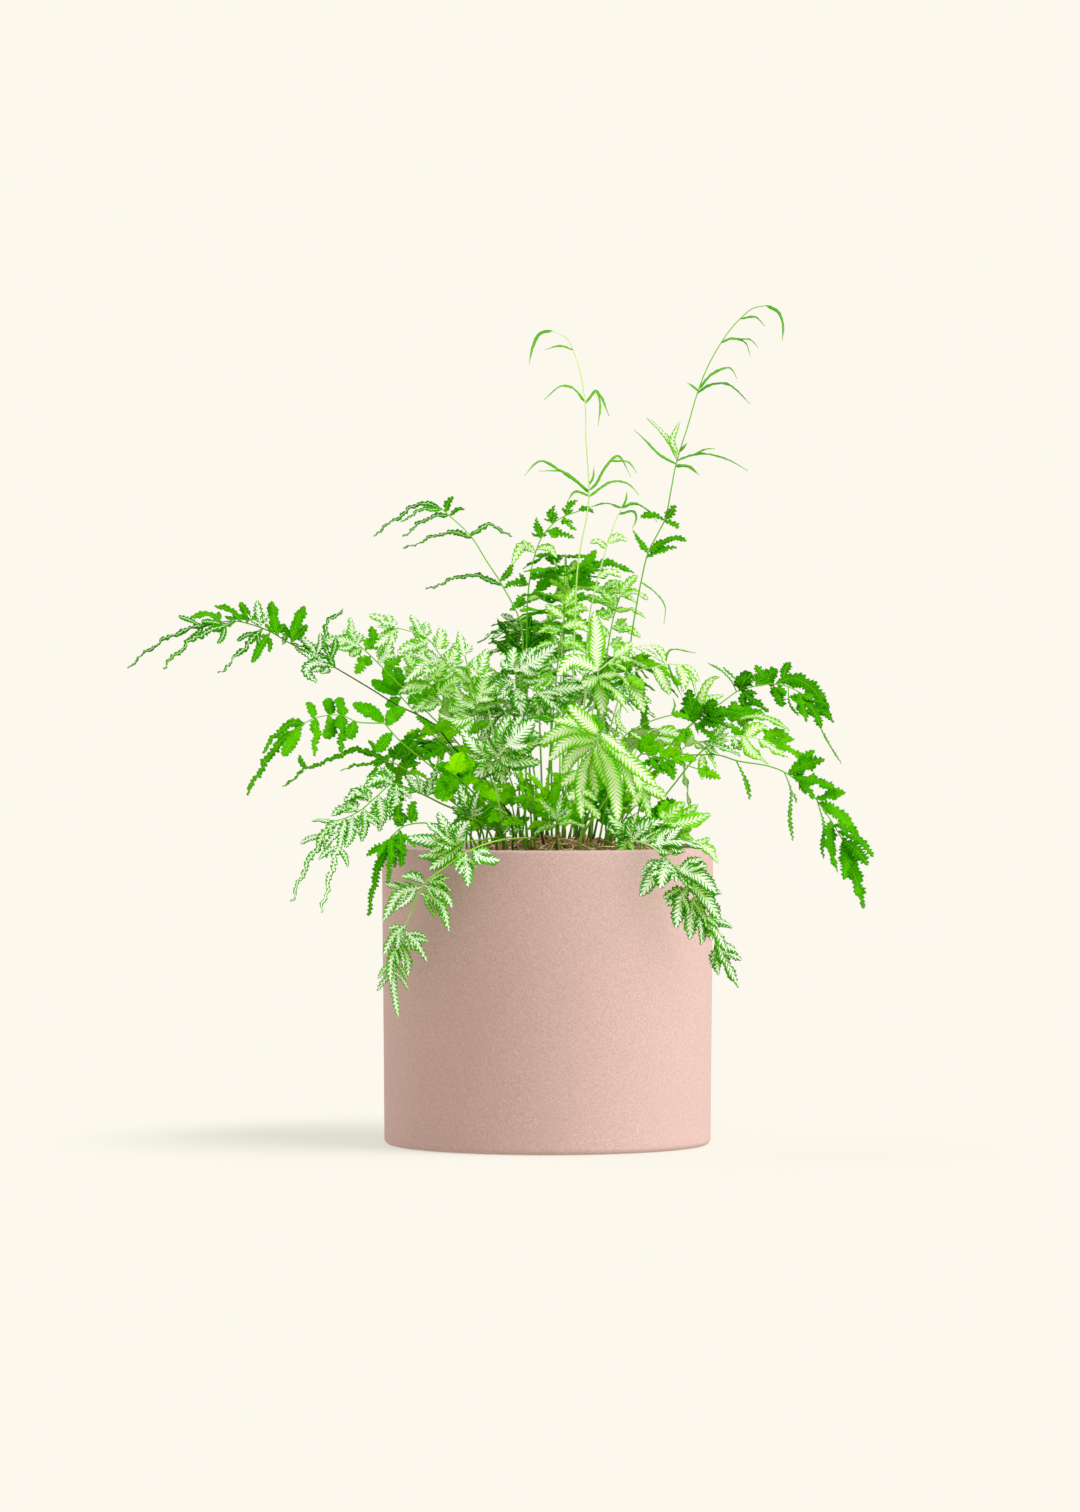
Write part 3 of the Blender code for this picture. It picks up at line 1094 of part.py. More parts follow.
def main():
    for obj in list(bpy.data.objects):
        bpy.data.objects.remove(obj, do_unlink=True)
    pot, soil, crown, laid = lay_out()
    add_object("pot", *pot, material("matte_ceramic", (0.72, 0.52, 0.46), 0.75), smooth=True)
    add_object("potting_mix", *soil, material("potting_mix", (0.06, 0.035, 0.02), 0.95))
    add_object("rhizome_crown", *crown, material("rhizome_crown", (0.16, 0.09, 0.03), 0.9))
    finishes = {
        "V": material("leaf_silver", (0.45, 0.62, 0.42), 0.5),
        "P": material("leaf_lime", (0.50, 0.75, 0.30), 0.5),
        "G": material("leaf_green", (0.10, 0.38, 0.02), 0.45),
        "D": material("leaf_dark", (0.03, 0.20, 0.02), 0.45),
    }
    for name, root, verts, faces, *_ in laid:
        kinds = [c.kind for _, c in root.children if c.kind in finishes]
        kind = max(sorted(set(kinds)), key=kinds.count) if kinds else "G"
        add_object(name, verts, faces, finishes[kind])


main()
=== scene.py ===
"""The looks of the potted silver lace fern: pot, potting mix, fibrous crown and fronds.

Every frond repeats the course that its solid follows, and gets round stalks and toothed,
creased blades in place of the plain strips. Metres, +Z up, -Y is the front.
"""

import bisect
import json
import math
import random

import bmesh
import bpy
import numpy as np
from mathutils import Matrix, Vector, noise
from mathutils.bvhtree import BVHTree

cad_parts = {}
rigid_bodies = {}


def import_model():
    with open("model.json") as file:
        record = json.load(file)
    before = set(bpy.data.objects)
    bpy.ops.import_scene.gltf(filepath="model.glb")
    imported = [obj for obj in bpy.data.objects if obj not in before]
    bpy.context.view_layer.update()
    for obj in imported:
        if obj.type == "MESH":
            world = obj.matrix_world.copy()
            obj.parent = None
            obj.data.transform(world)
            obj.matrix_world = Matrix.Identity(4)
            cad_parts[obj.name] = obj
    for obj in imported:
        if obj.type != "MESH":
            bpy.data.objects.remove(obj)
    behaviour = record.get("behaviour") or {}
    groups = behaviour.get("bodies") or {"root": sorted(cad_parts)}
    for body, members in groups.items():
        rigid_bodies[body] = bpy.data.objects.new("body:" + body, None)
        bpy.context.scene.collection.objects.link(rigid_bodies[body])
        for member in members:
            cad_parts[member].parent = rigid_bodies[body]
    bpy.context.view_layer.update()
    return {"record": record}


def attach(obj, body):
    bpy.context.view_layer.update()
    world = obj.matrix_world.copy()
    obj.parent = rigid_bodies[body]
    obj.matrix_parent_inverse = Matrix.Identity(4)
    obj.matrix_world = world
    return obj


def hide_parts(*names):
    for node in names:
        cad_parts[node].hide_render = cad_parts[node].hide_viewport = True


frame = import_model()

MM = 0.001

# ---- driving dimensions -----------------------------------------------------
POT_HEIGHT = 135.0 * MM
POT_RIM_RADIUS = 75.2 * MM
POT_FOOT_RADIUS = 74.0 * MM
POT_WALL = 5.0 * MM
POT_FLOOR = 7.0 * MM
FOOT_ROUNDING = 2.6 * MM
RIM_ROUNDING = 1.3 * MM
POT_SIDES = 52
GAP = 0.5 * MM  # between pieces that rest on each other
SOIL_EDGE_HEIGHT = 124.5 * MM
SOIL_MOUND = 3.0 * MM
SOIL_RADIUS = POT_RIM_RADIUS - POT_WALL
CROWN_CENTRE = (5.0 * MM, 1.0 * MM)
CROWN_HALF_WIDTH = 45.0 * MM
CROWN_HALF_DEPTH = 39.0 * MM
CROWN_HEIGHT = 10.5 * MM
FOOT_GAP = 1.2 * MM  # between a stalk's foot and the clump or mix below it
STALK_RISE = 3.5 * MM  # the upright part of a stalk above its foot
SLOT = 1.7 * MM  # closest spacing of blades along one side of a stalk
SLOT_HALF = 0.6 * MM
BLADE_THICKNESS = 0.7 * MM
CLEARANCE = 0.45 * MM  # kept all round while a frond is laid between its neighbours

# ---- the elevation grid on which the fronds are laid out ------------------
# A frond is planned on the front elevation, as a surveyor would plot it: columns
# across and rows down, on a grid of 0.4531 mm in the plane of the pot's axis, plus
# a depth in millimetres behind (+) or before (-) that plane. The elevation is in
# perspective from a station point 3.1 m away, so a point keeps its place on it
# whatever its depth.
CELL = 0.4531 * MM
AXIS_COLUMN = 547.5
EYE_ROW = 636.0
EYE_HEIGHT = 0.230
EYE_DISTANCE = 3.1


def plot(column, row, depth):
    scale = CELL * (1.0 + depth / EYE_DISTANCE)
    return Vector(((column - AXIS_COLUMN) * scale, depth, EYE_HEIGHT - (row - EYE_ROW) * scale))


def unplot(p):
    scale = CELL * (1.0 + p.y / EYE_DISTANCE)
    return AXIS_COLUMN + p.x / scale, EYE_ROW - (p.z - EYE_HEIGHT) / scale


# ---- heights of the planting ------------------------------------------------
def soil_height(x, y):
    """The top of the potting mix: a shallow mound, a little uneven."""
    r = math.hypot(x, y)
    return SOIL_EDGE_HEIGHT + SOIL_MOUND * max(0.0, 1.0 - (r / SOIL_RADIUS) ** 2)


def crown_lift(x, y):
    """Thickness of the fibrous rhizome clump above the mix, zero outside it."""
    u = (x - CROWN_CENTRE[0]) / CROWN_HALF_WIDTH
    v = (y - CROWN_CENTRE[1]) / CROWN_HALF_DEPTH
    q = 1.0 - u * u - v * v
    if q <= 0.0:
        return 0.0
    lumps = 0.10 * math.sin(x * 260.0 + 1.3) * math.cos(y * 230.0 - 0.4)
    return CROWN_HEIGHT * (q ** 0.6) * (1.0 + lumps)


def ground(x, y):
    lift = crown_lift(x, y)
    return soil_height(x, y) + (GAP + lift if lift > 0.0015 else 0.0)


# ---- curves -------------------------------------------------------------------
def smooth_path(points, spacing):
    """Points every `spacing` along a smooth curve that passes through `points`."""
    if len(points) == 2:
        dense = [points[0].lerp(points[1], i / 12) for i in range(13)]
    else:
        ends = [points[0] * 2 - points[1]] + list(points) + [points[-1] * 2 - points[-2]]
        dense = []
        for i in range(1, len(ends) - 2):
            a, b, c, d = ends[i - 1 : i + 3]
            ta = 0.0
            tb = ta + max((b - a).length, 1e-6) ** 0.5
            tc = tb + max((c - b).length, 1e-6) ** 0.5
            td = tc + max((d - c).length, 1e-6) ** 0.5
            steps = max(2, int((c - b).length / (spacing * 0.5)))
            for j in range(steps):
                t = tb + (tc - tb) * j / steps
                p1 = a * ((tb - t) / (tb - ta)) + b * ((t - ta) / (tb - ta))
                p2 = b * ((tc - t) / (tc - tb)) + c * ((t - tb) / (tc - tb))
                p3 = c * ((td - t) / (td - tc)) + d * ((t - tc) / (td - tc))
                q1 = p1 * ((tc - t) / (tc - ta)) + p2 * ((t - ta) / (tc - ta))
                q2 = p2 * ((td - t) / (td - tb)) + p3 * ((t - tb) / (td - tb))
                dense.append(q1 * ((tc - t) / (tc - tb)) + q2 * ((t - tb) / (tc - tb)))
        dense.append(points[-1].copy())
    return dense


def lift_share(u):
    """How much of a blade's lift it has reached at a share of its length: most of it early."""
    return 1.0 - (1.0 - min(max(u, 0.0), 1.0)) ** 2.4


class Branch:
    """A stalk or a blade along a smooth curve, with what grows from it."""

    def __init__(self, kind, width, points, facing, seed, is_end=False, lift=0.0):
        self.kind = kind
        self.width = width
        self.facing = facing
        self.seed = seed
        self.is_end = is_end
        self.children = []
        self.points = smooth_path(points, 0.8 * MM)
        if lift:
            last = len(self.points) - 1
            for i, p in enumerate(self.points):
                p.y += lift * lift_share(i / last)
        self.run = [0.0]
        for a, b in zip(self.points, self.points[1:]):
            self.run.append(self.run[-1] + (b - a).length)
        self.length = self.run[-1]
        self.normals = self.carried_normals()

    def carried_normals(self):
        """The face normal at each point: square to the course, turning no more than it must."""
        points, last = self.points, len(self.points) - 1
        ways = [(points[min(i + 1, last)] - points[max(i - 1, 0)]).normalized() for i in range(last + 1)]
        across = [self.facing - t * self.facing.dot(t) for t in ways]
        best = max(range(last + 1), key=lambda i: across[i].length + 0.15 * i / last)
        normals = [None] * (last + 1)
        n = across[best]
        if n.length < 0.1:
            other = Vector((0.35, -0.5, 0.8))
            n = other - ways[best] * other.dot(ways[best])
        normals[best] = n.normalized()
        for order in (range(best - 1, -1, -1), range(best + 1, last + 1)):
            n = normals[best]
            for i in order:
                n = (n - ways[i] * n.dot(ways[i])).normalized()
                normals[i] = n
        return normals

    def at(self, s):
        s = min(max(s, 0.0), self.length)
        i = min(max(bisect.bisect_right(self.run, s) - 1, 0), len(self.points) - 2)
        span = self.run[i + 1] - self.run[i]
        f = (s - self.run[i]) / span if span > 0 else 0.0
        return self.points[i].lerp(self.points[i + 1], f)

    def tangent(self, s):
        h = min(0.9 * MM, self.length * 0.2)
        d = self.at(s + h) - self.at(s - h)
        return d.normalized() if d.length > 1e-9 else Vector((0, 0, 1))

    def frame(self, s):
        """Point, direction, side and face normal at a distance along the curve."""
        s = min(max(s, 0.0), self.length)
        i = min(max(bisect.bisect_right(self.run, s) - 1, 0), len(self.points) - 2)
        span = self.run[i + 1] - self.run[i]
        f = (s - self.run[i]) / span if span > 0 else 0.0
        t = self.tangent(s)
        n = self.normals[i].lerp(self.normals[i + 1], f)
        n = (n - t * n.dot(t)).normalized()
        return self.at(s), t, n.cross(t), n

    def nearest(self, column, row):
        best, found = 1e9, 0.0
        for p, s in zip(self.points, self.run):
            c, r = unplot(p)
            d = (c - column) ** 2 + (r - row) ** 2
            if d < best:
                best, found = d, s
        return found


def parse(text):
    """'G14 788,773 806,766 824,759' is a green blade 14 cells wide through those points."""
    head, *places = text.split()
    kind = head[0]
    width = float(head[1:]) * CELL
    return kind, width, [tuple(float(v) for v in place.split(",")) for place in places]


def scatter(seed):
    """A fixed pseudo-random number from 0 to 1 for a whole-number seed."""
    value = math.sin(seed * 12.9898 + 4.1414) * 43758.5453
    return value - math.floor(value)


def coil(start, centre):
    """The rolled tip of a young frond: a turn and a quarter that closes on its centre."""
    arm = start - centre
    points = []
    for i in range(15):
        a = math.radians(-32 * i)
        size = 1.0 - 0.66 * i / 14
        points.append(centre + size * Vector((arm.x * math.cos(a) - arm.z * math.sin(a), 0.0,
                                              arm.x * math.sin(a) + arm.z * math.cos(a))))
    return points


def grow_child(parent, spec, lean, seed, tweak):
    """A blade or side stalk on its parent. Off the plotted plane it leans back as it rises."""
    text, subs = spec if isinstance(spec, tuple) else (spec, [])
    kind, width, places = parse(text)
    s = parent.nearest(*places[0][:2])
    at_end = parent.length - s < 1.6 * MM
    start = parent.at(parent.length if at_end else s)
    points = [start]
    depth_tweak, scale = tweak.get(seed, (0.0, 1.0))
    if scale == 0.0:
        return None
    if kind == "C":
        return Branch(kind, width, coil(start, plot(*places[1][:2], start.y)), parent.facing, seed, True)
    for place in places[1:]:
        column, row = place[:2]
        flat = plot(column, row, start.y)
        if len(place) > 2:
            off = place[2] * MM
        else:
            off = lean * (flat.z - start.z)
            off += (scatter(seed) - 0.5) * 0.35 * (flat - start).length
            off = max(-0.024, min(0.024, off))
        points.append(plot(column, row, start.y + off))
    if scale != 1.0:
        points = [start + (p - start) * scale for p in points]
    turn = (scatter(seed + 0.5) - 0.5) * 0.7
    facing = Vector((turn, -1.0, 0.55 + 0.5 * lean)).normalized()
    if parent.facing.y > 0.05:
        facing = parent.facing.copy()
    branch = Branch(kind, width * (0.6 + 0.4 * scale), points, facing, seed, at_end, depth_tweak)
    grown = [grow_child(branch, sub, lean, seed * 16 + j + 1, tweak) for j, sub in enumerate(subs)]
    branch.children = [(0.0, child) for child in grown if child]
    return branch


def settle(branch):
    """Finds where each child leaves the stalk, two to a slot, never closer than SLOT."""
    slots = []
    order = sorted(
        (c for _, c in branch.children if not c.is_end),
        key=lambda c: -branch.nearest(*unplot(c.points[0])),
    )
    placed = []
    limit = branch.length - 0.9 * MM
    for child in order:
        s = min(branch.nearest(*unplot(child.points[0])), limit)
        _, _, side, _ = branch.frame(s)
        reach = child.at(min(child.length, 6 * MM)) - child.points[0]
        hand = 1 if reach.dot(side) > 0 else -1
        for slot in slots:
            if abs(slot[0] - s) < 1.6 * MM and hand not in slot[1]:
                slot[1].append(hand)
                placed.append((slot[0], hand, child))
                break
        else:
            if slots and s > slots[-1][0] - SLOT:
                s = slots[-1][0] - SLOT
            if s < 0.9 * MM:
                continue
            slots.append([s, [hand]])
            placed.append((s, hand, child))
    ends = [c for _, c in branch.children if c.is_end]
    for _, c in branch.children:
        settle(c)
    branch.placed = placed
    branch.slots = sorted(slot[0] for slot in slots)
    branch.ends = ends[:1]
    for extra in ends[1:]:
        s = (branch.slots[-1] if branch.slots else limit) if False else limit
        _, _, side, _ = branch.frame(s)
        reach = extra.at(min(extra.length, 6 * MM)) - extra.points[0]
        hand = 1 if reach.dot(side) > 0 else -1
        taken = [x for x, h, _ in branch.placed if h == hand]
        while any(abs(x - s) < SLOT * 0.99 for x in branch.slots if x != s) or any(
            abs(x - s) < 1e-6 for x in taken
        ):
            match = [x for x in branch.slots if abs(x - s) < SLOT * 0.99]
            if match and not any(abs(x - match[0]) < 1e-6 for x in taken):
                s = match[0]
                break
            s = (match[0] if match else s) - SLOT
        if s < 0.9 * MM:
            continue
        if s not in branch.slots:
            branch.slots = sorted(branch.slots + [s])
        branch.placed.append((s, hand, extra))


def grow(entry, shift, tweak):
    """The whole frond. `shift` moves all but its foot in depth along the sight lines."""
    name, foot, lean, stalk, course, blades = entry[:6]
    foot_x, foot_y = foot[0] * MM, foot[1] * MM
    places = [tuple(float(v) for v in place.split(",")) for place in course.split()]
    start = Vector((foot_x, foot_y, ground(foot_x, foot_y) + FOOT_GAP))
    known = [(0, foot[1])]
    known += [(i, place[2]) for i, place in enumerate(places, 1) if len(place) > 2]
    if known[-1][0] != len(places):
        known.append((len(places), foot[1]))
    first = plot(places[0][0], places[0][1], (places[0][2] if len(places[0]) > 2 else foot[1]) * MM)
    away = Vector((first.x - foot_x, first.y - foot_y, 0.0))
    if away.length > 1e-6:
        away = away.normalized() * (0.8 * MM)
    points = [start, start + away + Vector((0.0, 0.0, STALK_RISE))]
    for i, place in enumerate(places, 1):
        lower = max((k for k in known if k[0] <= i), key=lambda k: k[0])
        upper = min((k for k in known if k[0] >= i), key=lambda k: k[0])
        if upper[0] == lower[0]:
            depth = lower[1]
        else:
            f = (i - lower[0]) / (upper[0] - lower[0])
            depth = lower[1] + (upper[1] - lower[1]) * f
        ramp = min(1.0, i / max(1.0, 0.45 * len(places)))
        points.append(plot(place[0], place[1], depth * MM + shift * ramp))
    facing = Vector((0.0, -1.0, 0.45 + 0.5 * lean)).normalized()
    if len(entry) > 6:
        facing = Vector(entry[6]).normalized()
    root = Branch("R", 1.5 * MM, points, facing, 0)
    root.stalk = stalk
    grown = [grow_child(root, blade, lean, j + 1, tweak) for j, blade in enumerate(blades)]
    root.children = [(0.0, child) for child in grown if child]
    settle(root)
    return root
# ---- the fronds -----------------------------------------------------------------
# name, foot (x, y in mm), lean, stalk, course of the stalk (column,row[,depth]), blades.
# A blade is its kind and width in cells, then its places from the stalk to its tip:
#   V silver-striped, P pale lime, G green, D dark green, F narrow fertile, R side stalk.
FRONDS = [
    ("tall_frond_left", (7, 6), 0.25, "pale",
     "566,790 572,700 575,620 577,576 581,545 587,515 589,491,14 586,440 585,402 580,372 573,350 566,338 552,331,4",
     ["F6 552,331 540,334 533,347 529,365", "F6 589,491 560,470 540,461 524,476", "F5 589,493 565,472 539,471",
      "F5 588,496 575,492 567,502", ("F5 589,491 596,484 605,468 618,456 631,477", ["F4 612,462 628,462 637,473"]),
      "F5 588,497 612,482 628,484 639,495", "F4 589,485 593,478 594,466", "F5 585,402 573,388 561,386 544,400",
      ("F5 585,404 590,398 596,391 600,405 598,426", ["F4 596,392 602,398 609,416"]),
      "F4 573,350 560,346 545,350"]),
    ("tall_frond_right", (21, 2), 0.25, "green",
     "608,770 622,700 634,620 641,582 648,553 657,535 665,519 671,490 676,464,-6 688,425 698,391 708,366 721,343 730,330 740,319 752,309 766,306,-12",
     ["F6 766,306 778,312 783,325 782,341", "F4 740,319 755,317 765,327",
      ("F5 721,343 732,339 745,343 750,356", ["F3 738,340 750,340 758,348"]), "F4 698,391 692,386 687,383",
      "F5 699,389 712,374 730,368 737,379", "F7 697,393 712,385 728,385 750,404", "F5 676,464 660,455 645,440 634,430",
      "P7 677,460 669,441 658,428 646,417", "P7 679,455 672,441 676,430 680,421", "F5 680,452 684,447 687,443",
      "F7 676,466 688,466 699,475", ("F5 677,461 690,456 704,454 728,460 748,471", ["F4 694,455 706,449 715,449"]),
      "G9 665,519 671,512 675,505", "G8 664,522 672,523 679,528", "G9 664,520 652,514 640,517",
      "G9 648,553 640,540 633,530", ("G9 648,552 662,542 673,539", ["G6 662,542 676,538 687,541"]),
      "G8 646,558 661,550 677,547", "F3 641,582 655,592 665,606 664,624"]),
    ("slender_fertile_frond", (12, 21), 0.3, "pale",
     "582,760 586,668 589,621 595,590 608,543 616,520 622,508,34",
     ["F4 622,508 626,500 627,491", "F5 621,510 606,503 588,508", "F6 621,511 634,503 648,510 657,522",
      "F5 619,515 634,512 636,520 632,529", "P7 608,543 617,537 628,541", "P7 606,548 598,541 590,543",
      "P8 598,578 610,571 622,577"]),
    ("upper_left_arching_frond", (-12, 16), 0.5, "green",
     "526,780 522,680 521,625 502,585 486,560 473,539 460,525 453,519 442,509,30",
     ["G8 442,509 422,503 400,516 373,536", "G7 430,505 418,511 402,523", "G8 502,585 471,575 448,581 426,590",
      "G8 500,582 508,573 513,564", "G8 472,538 449,532 425,540 403,549", "G10 470,535 488,525 500,529 512,537",
      "G8 449,515 431,517 415,527 403,537", "G7 450,516 457,509 465,509", "G8 446,512 448,503 453,496"]),
    ("upper_dark_frond", (-4, 25), 0.5, "dark",
     "529,760 527,618 528,595 533,562 542,537 552,525 561,518 579,511,38",
     ["D10 579,511 587,508 594,513", "D11 541,538 538,527 536,517", "D11 553,524 551,514 555,505",
      "G11 546,532 558,533 575,538", "P8 536,552 523,546 512,564", "P9 537,550 548,548 557,558",
      "D12 530,584 518,581 503,588", "D12 531,580 543,573 557,570", "G11 528,602 520,602 510,611",
      "P10 528,600 540,595 551,601", "G10 563,516 568,525 577,530", "D10 566,516 570,505 578,500"]),
    ("pale_upper_frond", (6, 29), 0.5, "pale",
     "560,770 561,680 564,620 571,581,44",
     ["P11 571,581 573,570 576,560", "P11 569,588 562,574 553,559", "P11 568,592 559,585 549,579",
      "P11 567,597 560,595 553,599", ("P10 569,591 587,585 602,590 621,592 638,604", ["P7 603,590 613,583 624,583"]),
      "P9 567,600 587,597 605,603 622,613", "G13 570,587 584,567 596,550", "G9 570,588 590,570 606,562 635,573",
      "P10 565,606 572,614 582,622", "P10 565,606 556,611 547,621"]),
    ("curled_dark_frond", (-16, 27), 0.5, "dark",
     "521,770 520,700 524,652,34",
     ["D15 524,652 528,636 531,616", "D13 523,657 534,643 548,636", "D15 523,658 510,636 497,618",
      "D14 523,662 541,640 557,622", "D12 522,664 506,650 491,638", "D13 522,668 511,668 499,676",
      "D13 522,668 534,668 547,676"]),
    ("far_left_frond", (-11, 6), 0.55, "green",
     "522,831 499,799 476,767 453,747 437,727 422,717 397,705 371,689 334,667 310,654 286,641 271,632 253,625 235,621 214,623,-2",
     ["G8 214,623 193,627 158,643 127,668", "G9 235,621 215,629 196,637 162,668", "G7 222,622 208,614 190,618",
      "G8 242,622 230,610 214,606", "G8 262,630 242,650 219,674", "G8 270,633 260,648 252,663",
      "V9 260,628 259,614 257,600", "G8 248,623 246,612 240,602", "G12 278,636 274,616 272,601", "G12 292,644 297,622 305,606",
      "V11 334,667 315,664 307,671 318,683", "G10 334,667 324,640 330,620 344,609",
      "V10 322,661 303,638 288,630 283,645"]),
    ("left_rear_frond", (-22, 16), 0.6, "green",
     "497,819 470,760 446,730 431,716 417,700 400,685 382,667 370,655 359,645,52",
     ["V10 359,645 353,631 351,617", "V10 361,647 340,640 314,648", "V10 362,648 355,651 351,657",
      "G11 365,651 374,640 371,626", "G11 370,656 362,664 356,674", "V10 378,664 388,650 386,636",
      "G11 384,669 392,664 403,655"]),
    ("silver_upper_left_frond", (-20, -4), 0.35, "green",
     "505,815 493,785 482,750 474,715 476,704 472,686 465,656,-24",
     ["V9 465,656 462,643 459,631", "V12 475,717 457,720 438,714", "V12 475,712 486,696 505,701",
      "V12 476,706 483,686 488,662", "V11 475,708 462,699 455,686", "V11 470,678 481,664 487,648",
      "V10 471,682 460,671 452,668",
      ("R2 473,694 456,675 440,655 428,639 412,632 398,628",
       ["V9 398,628 384,619 369,615", "V10 400,629 388,637 374,647", "V10 426,638 419,626 411,614",
        "V10 430,641 414,645 397,653", "V9 436,650 441,638 440,627", "V11 443,659 425,664 404,683",
        "V10 447,664 455,653 458,641"])]),
    ("left_green_frond", (-34, -4), 0.6, "green",
     "470,805 445,778 423,760 400,741 384,723,-22",
     [("R2 384,723 370,723 357,722 340,715 315,718 297,728",
       ["G10 297,728 280,742 263,766 246,795", "G9 304,723 289,724 273,738 262,753", "G9 301,726 292,741 283,756",
        "G11 315,718 316,736 314,756", "G9 314,718 311,709 307,702", "G10 328,716 332,728 324,738",
        "G10 330,716 330,707 327,698", "G13 341,715 342,736 341,756", "G11 344,716 342,706 339,697",
        "G10 353,721 352,730 347,738"]),
      "G11 384,724 370,712 352,704", "G10 386,727 394,714 405,708", "G9 390,733 384,742 376,752"]),
    ("left_slim_frond", (-36, 3), 0.6, "dark",
     "465,815 440,793 415,776 400,766 388,760,10",
     [("G8 388,760 355,750 330,760 304,770 283,788", ["G6 306,769 302,763 299,755"]), "G6 390,761 368,763 340,770",
      "G10 391,763 388,772 381,781", "D10 392,763 404,745 420,730", "G9 405,769 412,757 422,750"]),
    ("left_cluster_frond", (-21, 25), 0.6, "green",
     "500,820 470,772 440,735 415,712 397,692,60",
     ["G13 397,692 390,679 386,666", "G13 398,693 402,680 397,667", "G12 400,695 410,678 415,659",
      "G12 399,694 386,688 372,680", "G12 402,697 394,701 386,707", "G12 408,704 418,697 426,699",
      "G12 412,709 427,697 440,683", "V10 399,694 405,684 409,675"]),
    ("left_low_silver_frond", (-30, -13), 0.55, "green",
     "480,826 460,812 442,804 424,795 405,787 392,784 376,797 361,810 352,815 344,819,-44",
     ["V9 344,819 330,826 316,848 303,872 291,902", "V9 346,818 342,834 332,868 321,913", "V10 378,795 382,812 379,832",
      "V10 422,795 415,784 406,775", "V11 426,796 434,776 441,757", "V11 394,784 380,778 364,787",
      "V11 372,800 358,792 345,801", "V9 360,811 346,806 331,816", "V10 396,785 397,800 390,816",
      "V9 364,808 366,824 361,842", "V9 352,815 351,832 345,848"]),
    ("pot_edge_green_frond", (-31, -21), 0.5, "green",
     "467,832,-28 448,826,-38 420,823,-46 402,827,-50 392,836,-50",
     ["G11 392,836 380,862 373,888 368,916", "G11 394,834 391,860 387,883", "G11 399,829 401,848 401,867",
      "D13 404,826 398,816 399,804", "G10 412,824 411,812 415,801"]),
    ("front_left_trailing_frond", (-8, -26), 0.15, "lime",
     "534,838,-34 512,839,-56 496,841,-76 480,846,-85 465,853,-86 444,868,-82 424,884,-76 411,912,-72 402,934,-68 394,953,-64",
     ["V8 394,953 393,985 398,1018", "V12 465,853 467,868 468,887", "V13 472,850 484,858 500,860",
      "V12 424,883 412,877 401,877", "V12 422,887 399,895 383,921", "V11 427,881 441,882 451,891",
      "V11 424,886 444,893 452,908", "V11 420,893 441,905 449,932", "V10 406,925 392,938 383,955",
      "V9 400,938 391,962 390,985", "V10 404,930 417,944 427,962", "V9 399,942 407,958 408,976"]),
    ("front_left_rim_frond", (-20, -25), 0.2, "green",
     "497,838,-46 482,840,-66 469,841,-78 457,845,-84",
     ["V12 457,845 447,828 438,812", "V10 458,844 461,831 469,820", "V11 459,844 441,834 427,822",
      "V12 461,844 434,841 408,838", "V12 462,844 440,853 417,857", "V12 463,843 446,857 429,870"]),
    ("small_silver_frond", (-23, -18), 0.2, "green",
     "497,832,-28 485,826,-42 472,818,-52",
     ["V12 472,818 466,801 459,785", "V9 473,818 475,803 479,790", "V10 475,820 461,812 452,806",
      "D9 477,821 485,811 493,805"]),
    ("left_broad_green_frond", (-19, -12), 0.35, "green",
     "500,830 490,815 478,800 468,787 455,775,-34",
     ["G15 455,775 457,763 462,752", "D18 458,778 446,786 437,799", "D16 460,780 448,768 435,765",
      "G17 467,787 468,771 473,757", "G18 475,797 488,793 502,800", "G20 480,803 472,812 464,824",
      "G18 487,812 497,816 507,812"]),
    ("centre_silver_frond", (-18, -23), 0.2, "pale",
     "503,825 499,805 493,772 494,762 497,757 505,748,-54",
     ["V13 505,748 521,733 534,719", "V12 500,753 504,730 509,715", "V11 504,750 515,730 521,716",
      "V12 504,749 524,736 540,735", "V13 501,752 522,745 542,742", "V14 498,756 519,760 540,762",
      "V11 496,759 504,767 512,775", "V11 494,764 500,774 505,784", "V13 494,762 485,768 474,777",
      "V11 496,758 478,749 460,729", "V9 498,756 491,748 487,740"]),
    ("centre_frond", (-7, -6), 0.3, "green",
     "536,790 530,750 520,710 516,685 516,672,-14",
     ["V12 516,672 513,659 514,647", "V13 516,674 537,660 558,644", "V13 516,678 535,671 554,668",
      "V13 516,680 500,686 483,698", "V13 517,688 519,700 522,716",
      ("R2 516,684 530,688 542,693", ["V12 542,693 563,689 585,687", "V11 540,692 541,703 538,716",
                                      "V11 536,690 548,700 562,713"])]),
    ("centre_right_pale_frond", (10, -6), 0.25, "pale",
     "577,800 585,760 592,715 597,685 598,671,-32",
     ["P14 598,671 596,654 597,636 594,611", "P12 598,673 573,660 557,676", "P14 598,677 590,681 582,686",
      "P13 597,683 602,698 602,715", "P12 598,679 616,692 628,713", "P11 598,676 619,675 630,687",
      ("R2 598,673 616,657 634,647 650,645", ["P6 650,645 660,650 666,666", "P10 615,658 624,650 632,642",
                                             "P9 636,647 650,654 663,663", "P10 618,655 636,662 649,668"])]),
    ("pale_palmate_frond", (14, -26), 0.1, "pale",
     "583,815 582,795 585,770 591,752 597,741 601,733,-66",
     ["G11 601,733 596,725 593,714", "P13 600,735 583,719 568,705", "P12 599,736 573,722 553,720",
      "P13 598,739 568,730 539,744", "P13 597,741 568,741 549,760", "P13 595,744 574,754 563,774",
      ("P11 592,750 583,773 581,819", ["P10 583,772 572,777 561,786", "P9 582,788 576,793 568,800",
                                      "P9 582,790 590,795 597,801", "P9 581,798 591,807 600,819"]),
      "P11 591,752 591,771 597,796", "P13 593,747 602,766 609,787", "P14 597,742 612,773 618,821",
